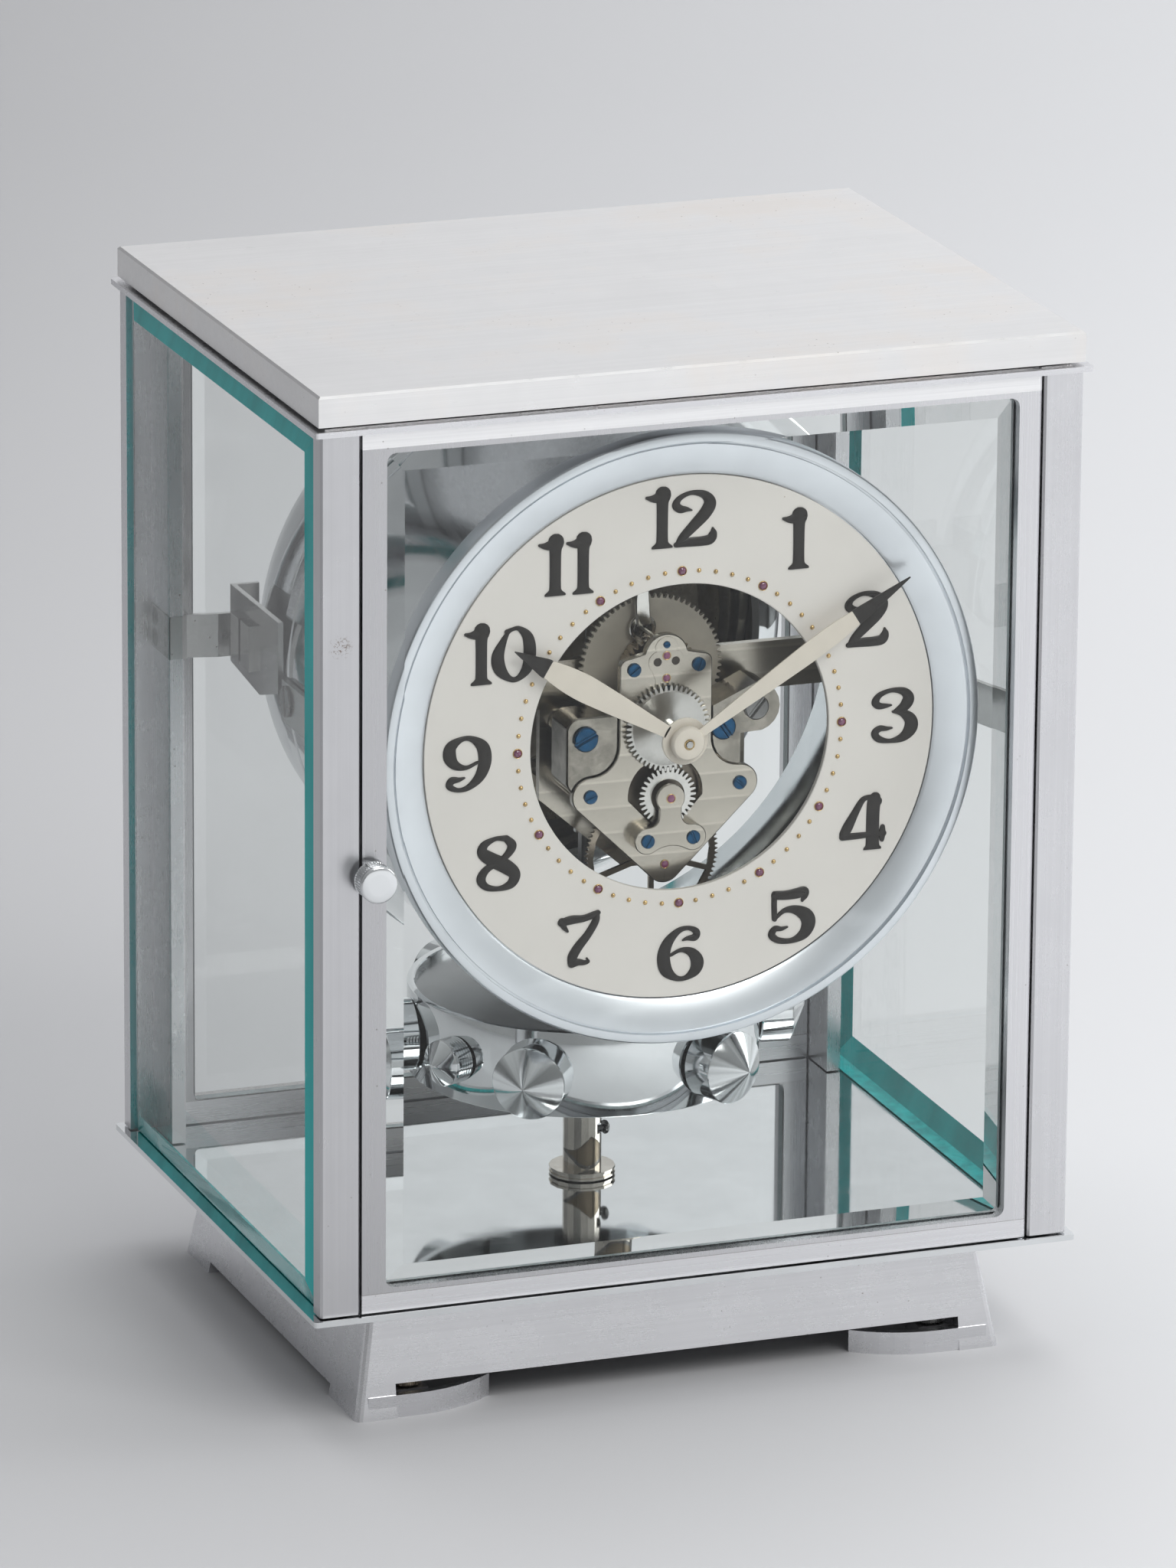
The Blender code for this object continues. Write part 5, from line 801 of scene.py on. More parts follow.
def backdrop_paper(name, left, right):
    """Pale paper with a barely visible fibre, brighter towards the right as painted light and darker towards
    the left as painted shade; its back lets one look through.
    """
    finish = Finish(name, Specular_IOR_Level=0.25)
    x, y = finish.axes(0, 1)
    aside = (0.94 * x - 0.35 * y).between(-0.26, 0.26)
    fibre = finish.noise(420.0)
    cloud = finish.noise(2.4, 2.0, 0.5)
    # Painted light: the paper's colour ramps from the dark left shade to the bright right one
    tone = finish.blend(cloud.between(0.3, 0.7) * 0.04, finish.blend(aside, left, right), shade(left, 0.9))
    finish.feed(Base_Color=tone, Roughness=0.62 + 0.06 * (fibre - 0.5))
    behind = finish.node("ShaderNodeNewGeometry", output="Backfacing")
    finish.join(behind, finish.surface, finish.clear((1.0, 1.0, 1.0)))
    return finish.material


def dress(material, *names):
    """Gives nodes of the frame one finish."""
    for name in names:
        mesh = frame["nodes"][name].data
        mesh.materials.clear()
        mesh.materials.append(material)


def length(label, text, value):
    """A property for a length whose default is given in millimetres."""
    return bpy.props.FloatProperty(name=label, description=text, default=value * MM, min=0.0, unit="LENGTH",
                                   precision=5)


def colour(label, text, value):
    """A property for a colour."""
    return bpy.props.FloatVectorProperty(name=label, description=text, default=value, size=3, min=0.0,
                                         max=1.0, subtype="COLOR")


class ClockSizes(bpy.types.PropertyGroup):
    """Sizes that a user would change; the defaults of lengths are given in millimetres."""

    numeral_height: length("Numeral height", "Height of each dial numeral", 12.4)
    numeral_rise: length("Numeral rise", "How far the numerals stand out of the dial", 0.35)
    numeral_weight: bpy.props.FloatProperty(
        name="Numeral weight", description="Share of the drawn stroke width", default=1.14, min=0.5, max=2.0,
        subtype="FACTOR")
    stud_circle: length("Stud circle", "Radius of the circle of minute studs", 37.6)
    stud_radius: length("Stud radius", "Radius of a brass minute stud", 0.52)
    jewel_radius: length("Jewel radius", "Radius of a red hour stone", 0.86)
    screw_radius: length("Screw radius", "Radius of a small blued screw head", 1.55)
    big_screw_radius: length("Big screw radius", "Radius of a large blued screw head", 2.8)
    stripe_pitch: length("Stripe pitch", "Width of one stripe on the plates", 5.8)
    knurl_depth: length("Knurl depth", "Depth of the grooves round the door knob", 0.22)
    edge_round: length("Edge round", "Radius of small edges", 0.25)
    round_sides: bpy.props.IntProperty(
        name="Round sides", description="Sides of the largest round pieces", default=224, min=48, max=512)


class ClockColours(bpy.types.PropertyGroup):
    """Colours that a user would change."""

    satin: colour("Satin chrome", "Brushed plating of the case", (0.79, 0.79, 0.81))
    lid: colour("Lid chrome", "Brushed plating of the lid", (0.90, 0.895, 0.89))
    chrome: colour("Bright chrome", "Polished plating of drum, pendulum and floor", (0.77, 0.79, 0.80))
    bezel: colour("Bezel chrome", "Plating of the bezel", (0.82, 0.85, 0.885))
    nickel: colour("Nickel", "Plates of the movement", (0.52, 0.485, 0.42))
    lock: colour("Lock nickel", "Sleeve of the pendulum lock", (0.62, 0.58, 0.52))
    steel: colour("Steel", "Bare steel and the straps", (0.50, 0.50, 0.49))
    brass: colour("Brass", "Wheels and screws in brass", (0.46, 0.40, 0.32))
    matt: colour("Matt nickel", "Ratchet wheel", (0.60, 0.55, 0.46))
    lever: colour("Lever steel", "Click and polished blocks", (0.60, 0.59, 0.56))
    gilt: colour("Gilt", "Minute studs and jewel rings", (0.78, 0.55, 0.26))
    dial: colour("Dial silver", "Matt silvering of the dial", (0.83, 0.79, 0.742))
    numeral: colour("Numeral paint", "Dark paint of numerals and hand tips", (0.026, 0.023, 0.021))
    cream: colour("Cream", "Face of the hands", (0.84, 0.77, 0.67))
    blue: colour("Blued steel", "Screws of the movement", (0.010, 0.085, 0.19))
    ruby: colour("Ruby", "Hour stones and bearing stones", (0.15, 0.022, 0.085))
    # Painted shade: the dark floor of the plate's small holes
    hole: colour("Plate hole", "Floor of the small holes in the front plate", (0.05, 0.042, 0.035))
    cut: colour("Lock cut", "Floor of the lock's cam cut", (0.20, 0.165, 0.12))
    glass: colour("Glass", "Tint of the clear panes", (0.982, 0.990, 0.987))
    glass_deep: colour("Deep glass", "Green of the glass edges", (0.035, 0.56, 0.56))
    glass_pale: colour("Pale glass", "Edges of the door's and the rear pane", (0.35, 0.42, 0.43))
    # The paper's two colours are painted light: the left one is painted shade, the right one the lit paper
    paper: colour("Paper", "Floor and backdrop at the right", (0.78, 0.785, 0.80))
    paper_shaded_left: colour("Paper at the left", "Floor and backdrop at the left", (0.44, 0.44, 0.45))


class ClockOperator:
    """What every step shares: the sizes, the colours and the finished event."""

    bl_options = {"REGISTER", "UNDO"}

    def execute(self, context):
        self.make(context.scene.clock_sizes, context.scene.clock_colours)
        return {"FINISHED"}


# The digits in thousandths of their height: for each stroke, rows of (across, up, width)
DIGITS = {
    "1": (
        ((290, 0, 340), (290, 35, 330), (290, 90, 220), (290, 160, 185), (290, 500, 180), (290, 800, 190),
         (295, 900, 240), (300, 970, 260)),
        ((0, 930, 50), (90, 910, 100), (200, 915, 150), (380, 945, 110)),
    ),
    "2": (
        ((360, 655, 30), (270, 675, 80), (150, 690, 130), (75, 770, 130), (150, 890, 85), (360, 965, 70),
         (600, 910, 130), (705, 760, 200), (620, 580, 200), (400, 360, 170), (200, 170, 130),
         (100, 50, 70)),
        ((80, 45, 80), (320, 75, 140), (560, 75, 150), (720, 100, 160), (770, 200, 130), (765, 290, 40)),
    ),
    "3": (
        ((360, 695, 30), (270, 690, 70), (130, 700, 110), (65, 780, 130), (150, 900, 90), (370, 965, 70),
         (600, 920, 130), (690, 790, 190), (610, 650, 170), (420, 565, 50)),
        ((400, 570, 40), (580, 530, 120), (730, 400, 200), (740, 240, 220), (600, 90, 150), (360, 35, 70),
         (140, 90, 110), (60, 200, 120), (150, 280, 100), (280, 270, 70), (380, 275, 30)),
    ),
    "4": (
        ((620, 0, 300), (620, 40, 280), (620, 110, 220), (620, 500, 215), (630, 800, 220),
         (655, 900, 240), (660, 950, 180)),
        ((660, 955, 90), (500, 965, 80), (400, 900, 100), (270, 680, 130), (150, 460, 170),
         (80, 330, 160)),
        ((50, 275, 110), (400, 275, 100), (740, 280, 80), (800, 280, 140)),
        ((800, 170, 80), (800, 280, 120), (810, 400, 80)),
    ),
    "5": (
        ((130, 900, 140), (340, 885, 150), (540, 900, 170), (670, 920, 160), (680, 840, 120),
         (640, 760, 50)),
        ((110, 930, 90), (110, 700, 90), (120, 470, 90)),
        ((120, 460, 50), (300, 600, 80), (500, 600, 140), (700, 490, 220), (765, 330, 230),
         (680, 140, 180), (460, 35, 90), (200, 60, 100), (70, 170, 120), (130, 280, 100), (250, 270, 70),
         (360, 295, 30)),
    ),
    "6": (
        ((470, 745, 30), (560, 770, 70), (700, 780, 120), (720, 880, 110), (570, 960, 70),
         (380, 920, 100), (190, 730, 170), (110, 480, 210), (160, 220, 200), (340, 60, 100),
         (520, 40, 80), (700, 160, 180), (745, 330, 210), (640, 500, 150), (440, 565, 70),
         (240, 490, 50)),
    ),
    "7": (
        ((50, 830, 120), (240, 865, 140), (460, 870, 110), (660, 920, 110), (730, 950, 90)),
        ((60, 850, 120), (100, 750, 90), (160, 670, 50)),
        ((720, 950, 80), (690, 800, 120), (550, 570, 130), (380, 370, 150), (270, 200, 160),
         (250, 80, 140)),
        ((250, 55, 130), (370, 75, 110), (480, 55, 80), (560, 70, 50), (530, 130, 30)),
    ),
    "8": (
        ((550, 945, 100), (360, 955, 70), (160, 860, 130), (130, 720, 180), (300, 580, 220),
         (550, 440, 230), (720, 280, 190), (660, 110, 150), (440, 40, 80), (200, 90, 110),
         (100, 240, 150), (200, 410, 120), (420, 520, 90), (600, 660, 120), (670, 810, 150),
         (570, 940, 110)),
    ),
    "9": (
        ((370, 255, 30), (280, 230, 70), (140, 220, 120), (100, 120, 110), (260, 40, 70), (460, 80, 100),
         (660, 260, 170), (750, 520, 210), (710, 780, 200), (520, 940, 100), (330, 960, 80),
         (130, 840, 180), (100, 660, 210), (200, 500, 150), (400, 435, 70), (610, 510, 50)),
    ),
    "0": (
        ((300, 900, 50), (210, 740, 110), (110, 480, 200), (150, 240, 200), (320, 60, 100), (480, 45, 90),
         (650, 220, 170), (700, 500, 200), (660, 780, 170), (500, 945, 80), (370, 940, 60),
         (280, 900, 90)),
    ),
}
# Where each digit stands: its left edge and its middle height from the dial's centre, in millimetres
NUMERALS = (
    ("1", 23.4, 41.9), ("2", 37.9, 22.9), ("3", 44.7, 0.3), ("4", 37.6, -23.7), ("5", 21.0, -43.2),
    ("6", -4.8, -49.3), ("7", -27.9, -43.5), ("8", -47.1, -24.4), ("9", -54.4, -1.2),
    ("1", -49.6, 22.5), ("0", -43.6, 22.6), ("1", -32.8, 40.9), ("1", -26.4, 40.8),
    ("1", -8.3, 49.3), ("2", -2.5, 49.2),
)


class CLOCK_OT_case(ClockOperator, bpy.types.Operator):
    """Finishes the plinth, plates, posts, lid, frames and straps, and makes the rear left strap's pad."""

    bl_idname = "clock.case"
    bl_label = "Case"

    def make(self, sizes, colours):
        dress(brushed("Satin_Along_X", colours.satin, 0), "base_plinth", "upper_flange_plate")
        dress(brushed("Satin_Lid", colours.lid, 0, 0.30, STAIN_TINT), "lid")
        # Painted shade: the posts brushed along z take a darker copy of the satin than the rails
        along_z = brushed("Satin_Along_Z_Painted_Shade", shade(colours.satin, 0.90), 2)
        dress(along_z, "post_front_right", "post_rear_left", "post_rear_right")
        for node in ("door_frame", "rear_frame"):
            dress(framed("Satin_" + node, colours.satin, node), node)
        # The front left post: real rust at one place, on a darker copy of the satin that is painted shade, as
        # the post stands at the dark left
        rust = (low("post_front_left") + np.array([4.5, 0.0, 151.0]) * MM, 3.0 * MM)
        dress(brushed("Satin_Rust_And_Painted_Shade", shade(colours.satin, 0.78), 2, 0.30, rust=rust), "post_front_left")
        dress(polished("Polished_Floor", colours.chrome, 0.05), "lower_flange_plate")
        straps = [f"strap_{end}_{side}" for end in ("front", "rear") for side in ("left", "right")]
        strap = brushed("Satin_Strap", colours.steel, 1, 0.24)
        dress(strap, *straps, "side_bracket_left", "side_bracket_right")
        self.pad(strap, colours)

    def pad(self, strap, colours):
        """The left strap's band on the rear post, its clamp on the bracket, the screws of both, and a dark
        strip of painted shade between the clamp's bars.
        """
        wall = 3.3 * MM
        soft = 0.04 * MM
        corner, band = low("post_rear_left"), low("strap_rear_left")
        face, top = high("post_rear_left")[1] - wall, high("strap_rear_left")[2]
        inner = high("side_glass_left")[0] + 0.1 * MM
        outer = low("side_bracket_left")[0]
        start = (inner, corner[1] - 0.15 * MM, band[2])
        leg_end = (high("post_rear_left")[0] - wall + 0.05 * MM, face - 1.0 * MM, top)
        mould = Mould().add(*brick(start, leg_end, soft))
        mould.add(*brick(start, (band[0] + 0.3 * MM, corner[1], top), soft))

        def bar(thick, front, rear, bottom, crown, bevel):
            first = (outer - thick * MM, front * MM, bottom * MM)
            return brick(first, (outer + 0.02 * MM, rear * MM, crown * MM), bevel)

        mould.add(*bar(1.4, 43.2, 48.8, 144.4, 154.9, soft))
        mould.add(*bar(1.4, 36.1, 41.9, 144.4, 154.9, soft))
        # Painted shade: a thin dark strip fills the gap between the two clamp bars
        mould.add(*bar(0.3, 41.9, 43.2, 144.6, 154.7, 0.0), 1)
        disc = profile((2.0, 0.02), (2.0, -0.04), (1.9, -0.06))
        for rise in (2.6 * MM, 7.4 * MM):
            mould.add(*turned(disc, 40, facing_side((inner, face - 4.0 * MM, band[2] + rise))), 1)
        screw(mould, 1.0 * MM, 0.5 * MM, facing_front((outer - 1.15 * MM, band[1], 148.3 * MM)), 40.0, 1)
        front = high("strap_front_left")
        place = facing_side((front[0] - 1.3 * MM, 14.2 * MM, front[2] - 4.2 * MM))
        screw(mould, 3.5 * MM, 0.6 * MM, place, 80.0, 1)
        # Dark steel for the screws, which also serves as painted shade for the strip between the bars
        dark = tarnished("Pad_Screw_And_Gap_Shade", shade(colours.steel, 0.6), 0.25)
        mould.cast("Strap_Pad", "case", [strap, dark], "steel", smooth=40.0)


class CLOCK_OT_glazing(ClockOperator, bpy.types.Operator):
    """Makes the four panes with bevelled borders and green edges."""

    bl_idname = "clock.glazing"
    bl_label = "Glazing"

    def make(self, sizes, colours):
        clear = clear_glass("Clear_Pane", colours.glass)
        edge = edge_glass("Pane_Edge", colours.glass_deep)
        pale = edge_glass("Pale_Pane_Edge", colours.glass_pale)
        front = bevel_glass("Front_Bevel", colours.glass, colours.glass_pale, 0.90)
        side = bevel_glass("Side_Bevel", colours.glass, colours.glass_deep, 0.34)
        flat_cut = (*FLAT_CUT, (clear, front, pale))
        side_cut = (*SIDE_CUT, (clear, side, edge))
        self.pane("door_glass", 1, -1.0, "door", *flat_cut)
        self.pane("rear_glass", 1, 1.0, "case", *flat_cut)
        self.pane("side_glass_left", 0, -1.0, "case", *side_cut)
        self.pane("side_glass_right", 0, 1.0, "case", *side_cut)

    def pane(self, node, axis, side, body, width, depth, materials):
        """Three rectangles lie at (inset, depth) = (0, whole), (0, cut) and (width, 0) from the outer face.

        The rear edge of a side pane is left clear: one looks out through it at a grazing angle.
        """
        half = (high(node) - low(node)) / 2.0
        outward = np.array([side, 0.0, 0.0]) if axis == 0 else np.array([0.0, side, 0.0])
        across = (0, 1, 0) if axis == 0 else (1, 0, 0)
        at = placed(centre_of(node) + outward * half[axis], across, (0, 0, 1), -outward)
        inset = np.array([0.0, 0.0, width])[:, None]
        u = np.array([-1, 1, 1, -1]) * (half[1 - axis] - inset)
        v = np.array([-1, -1, 1, 1]) * (half[2] - inset)
        w = np.array([2.0 * half[axis], depth, 0.0])[:, None]
        grid = lattice(3, 4, True)
        groups = [*ends(3, 4), grid[4:], grid[[0, 2, 3]], grid[[1]]]
        mould = Mould().add(at(u, v, w), groups, (0, 0, 1, 2, 0 if axis == 0 else 2))
        mould.cast("Pane_" + node, body, materials, "glass", [node], smooth=4.0)


class CLOCK_OT_knob(ClockOperator, bpy.types.Operator):
    """Makes the round door knob with a flat face and a knurled band behind it."""

    bl_idname = "clock.knob"
    bl_label = "Door knob"

    def make(self, sizes, colours):
        start = low("door_knob")
        radius = (high("door_knob")[0] - start[0]) / 2.0
        at = facing_front((start[0] + radius, start[1], start[2] + radius))
        face = profile((-0.5, 0.0), (-0.2, 0.1), (-0.05, 0.28), (0.0, 0.5), (0.0, 1.1), (-0.3, 1.25),
                       (-0.3, 4.45), (0.0, 4.55), (-0.1, 4.7), radius=radius)
        stem = profile((3.1, 4.75), (3.1, 6.2), (0.8, 6.25), (0.8, 12.9))
        rows = np.vstack([(radius * 0.02, 0.0), (radius * 0.55, 0.0), face, stem])
        mould = Mould().add(*turned(rows, 96, at))
        mould.add(*toothed(44, radius - sizes.knurl_depth, radius, radius * 0.4, 1.35 * MM, 4.4 * MM, at))
        bearing = np.linspace(0.0, TURN, 40, endpoint=False)
        half_width, reach = 1.2 * MM, 3.1 * MM
        upright = reach * (bearing < math.pi) + half_width * np.sin(bearing)
        tongue = np.stack([half_width * np.cos(bearing), upright], 1)
        mould.add(*plate(tongue, 12.3 * MM, 13.5 * MM, 0.1 * MM, at))
        chrome = polished("Knob_Chrome", colours.chrome, 0.07, 0.12)
        mould.cast("Knob", "knob", [chrome], "bright_chrome", ["door_knob"])


class CLOCK_OT_drum(ClockOperator, bpy.types.Operator):
    """Makes the bezel with its hollow cone and step, and the drum that holds the movement."""

    bl_idname = "clock.drum"
    bl_label = "Bezel and drum"

    def make(self, sizes, colours):
        """The bezel's cone leans outwards by a parabola; every other run of the profiles is straight."""
        share = np.linspace(0.0, 1.0, 11)
        lean = -2.1 * MM * share - 1.0 * MM * share * (1.0 - share)
        cone = np.stack([59.35 * MM + 6.95 * MM * share, lean], 1)
        seat = profile((57.5, 1.5), (59.3, 1.5), (59.3, 0.05))
        step = profile((66.36, -2.0), (66.36, -1.3), (66.86, -1.3), (66.86, -2.5), (66.95, -2.6))
        rim = profile((-0.8, -2.6), (-0.42, -2.5), (-0.12, -2.2), (0.0, -1.8), (0.0, 2.5), (-0.1, 2.6),
                      radius=high("bezel_ring")[0])
        bezel = np.vstack([seat, cone, step, rim, profile((57.5, 2.6))])
        self.ring("Bezel", sizes, bezel, polished("Bezel_Chrome", colours.bezel, 0.30), "satin_chrome",
                  "bezel_ring")
        radius = high("drum_shell")[0] - 0.25 * MM
        mouth = profile((-2.0, 0.0), (-0.15, 0.0), (0.0, 0.15), radius=radius,
                        height=low("drum_shell")[1] - DIAL_CENTRE[1])
        flange = profile((0.0, -5.1), (0.1, -5.0), (0.25, -4.85), (0.25, -0.2), (0.1, 0.0), (-2.0, 0.0),
                         radius=radius, height=high("drum_shell")[1] - DIAL_CENTRE[1])
        self.ring("Drum", sizes, np.vstack([mouth, flange]), polished("Drum_Chrome", colours.chrome, 0.06),
                  "bright_chrome", "drum_shell")

    def ring(self, name, sizes, rows, finish, slot, node):
        """A profile turned about the dial's centre into a closed ring."""
        mould = Mould().add(*turned(rows, sizes.round_sides, on_dial(), True))
        mould.cast(name, "case", [finish], slot, [node], 24.0)


class CLOCK_OT_dial(ClockOperator, bpy.types.Operator):
    """Makes the open dial ring with its minute studs, hour stones and raised numerals."""

    bl_idname = "clock.dial"
    bl_label = "Dial"

    def make(self, sizes, colours):
        rim = profile((-0.1, 0.0), (0.0, 0.1), (0.0, 1.2), radius=high("dial_ring")[0])
        rows = np.vstack([profile((34.6, 0.15), (34.75, 0.0)), rim, profile((34.6, 1.2))])
        silver = silvered("Dial_Silver", colours.dial)
        mould = Mould().add(*turned(rows, sizes.round_sides, on_dial(), True))
        mould.cast("Dial", "case", [silver], "dial_silver", ["dial_ring"])
        self.studs(sizes, colours)
        self.stones(sizes, colours)
        self.numerals(sizes, colours)

    def studs(self, sizes, colours):
        """A dome at every minute that carries no stone."""
        marks = np.array([i for i in range(60) if i % 5])
        angle = TURN * marks / 60.0
        shifts = np.stack([np.sin(angle), 0.0 * angle, np.cos(angle)], 1) * sizes.stud_circle
        radius = sizes.stud_radius
        dome = [(radius, SUNK), (radius * 0.97, -0.12 * MM), (radius * 0.80, -0.30 * MM),
                (radius * 0.45, -0.42 * MM), (radius * 0.08, -0.46 * MM)]
        mould = Mould().repeat(*turned(dome, 20, on_dial()), shifts)
        gilt = tarnished("Stud_Gilt", colours.gilt, 0.24)
        mould.cast("Minute_Studs", "case", [gilt], "gilt", smooth=60.0)

    def stones(self, sizes, colours):
        """A set stone at every hour, on the circle of the studs."""
        mould = Mould()
        for hour in range(12):
            angle = TURN * hour / 12.0
            place = on_dial(sizes.stud_circle * math.sin(angle), sizes.stud_circle * math.cos(angle))
            jewel(mould, sizes.jewel_radius, 0.5 * MM, place, 0)
        materials = [tarnished("Stone_Ring", colours.gilt, 0.26, 0.7), ruby("Hour_Ruby", colours.ruby)]
        mould.cast("Hour_Stones", "case", materials, "gilt", smooth=60.0)

    def numerals(self, sizes, colours):
        """Raised strokes; a stroke that starts on the digit's foot line is flat there."""
        mould = Mould()
        tall = sizes.numeral_height
        for digit, left, middle in NUMERALS:
            place = on_dial(left * MM, middle * MM - tall / 2.0)
            for route in DIGITS[digit]:
                drawn = np.array(route) / 1000.0 * tall * (1.0, 1.0, sizes.numeral_weight)
                mould.add(*stroke(drawn, sizes.numeral_rise, place, route[0][1] > 0))
        paint = painted("Numeral_Paint", colours.numeral, 0.34)
        mould.cast("Numerals", "case", [paint], "dark_hand", smooth=50.0)


class CLOCK_OT_hands(ClockOperator, bpy.types.Operator):
    """Makes the lance-shaped hands: pale blades and rings with dark points, and a gilt pin."""

    bl_idname = "clock.hands"
    bl_label = "Hands"

    def make(self, sizes, colours):
        """A blade's rows are its reach from the axis and its half widths there, in millimetres."""
        dark = painted("Hand_Paint", colours.numeral, 0.30)
        cream = painted("Hand_Cream", colours.cream, 0.45, 0.93)
        materials = (dark, cream, tarnished("Hand_Pin", shade(colours.gilt, 0.6), 0.24))
        hour, at = Mould(), self.facing(*HOUR_HAND)
        self.blade(hour, at, 1, (4.6, 10.0, 18.0, 25.5, 28.5, 32.5, 37.2),
                   (1.35, 1.75, 2.45, 2.95, 3.0, 2.75, 2.05))
        self.blade(hour, at, 0, (37.0, 38.0, 41.0, 44.0, 46.0), (2.15, 2.1, 1.35, 0.65, 0.12))
        ring = profile((1.6, 0.0), (5.15, 0.0), (5.3, 0.15), (5.3, 0.4), (1.6, 0.4))
        hour.add(*turned(ring, 72, at, True), 1)
        hour.cast("Hour_Hand", "hour", materials, "dark_hand", ["hour_hand"], 30.0)
        minute, at = Mould(), self.facing(*MINUTE_HAND)
        self.blade(minute, at, 1, (3.4, 12.0, 22.0, 32.0, 38.0, 42.0, 46.2),
                   (0.95, 1.40, 1.90, 2.30, 2.35, 2.2, 1.75))
        self.blade(minute, at, 0, (46.0, 47.2, 52.0, 57.0, 61.0), (1.85, 1.8, 1.25, 0.65, 0.12))
        cap = profile((0.85, -0.85), (1.3, -1.0), (2.7, -0.98), (3.4, -0.80), (3.75, -0.45), (3.9, 0.0),
                      (3.9, 0.4), (0.85, 0.4))
        minute.add(*turned(cap, 72, at, True), 1)
        pin = profile((0.82, -1.1), (1.0, -1.15), (1.2, -1.1), (1.25, -0.9), (0.82, -0.8))
        minute.add(*turned(pin, 36, at, True), 2)
        minute.cast("Minute_Hand", "minute", materials, "dark_hand", ["minute_hand"], 30.0)

    def facing(self, degrees, depth):
        """Faces the viewer, turned clockwise by so many degrees about the dial's centre."""
        angle = math.radians(degrees)
        across = (math.cos(angle), 0.0, -math.sin(angle))
        up = (math.sin(angle), 0.0, math.cos(angle))
        return placed(DIAL_CENTRE + np.array([0.0, depth, 0.0]), across, up, (0, 1, 0))

    def blade(self, mould, at, finish, reach, half_width):
        """A wall as far to either side of the middle line as its half widths say."""
        half = smoothed(np.stack([half_width, reach], 1), 4)
        mould.add(*plate(both_sides(half) * MM, 0.0, HAND_THICK, HAND_BEVEL, at), finish)


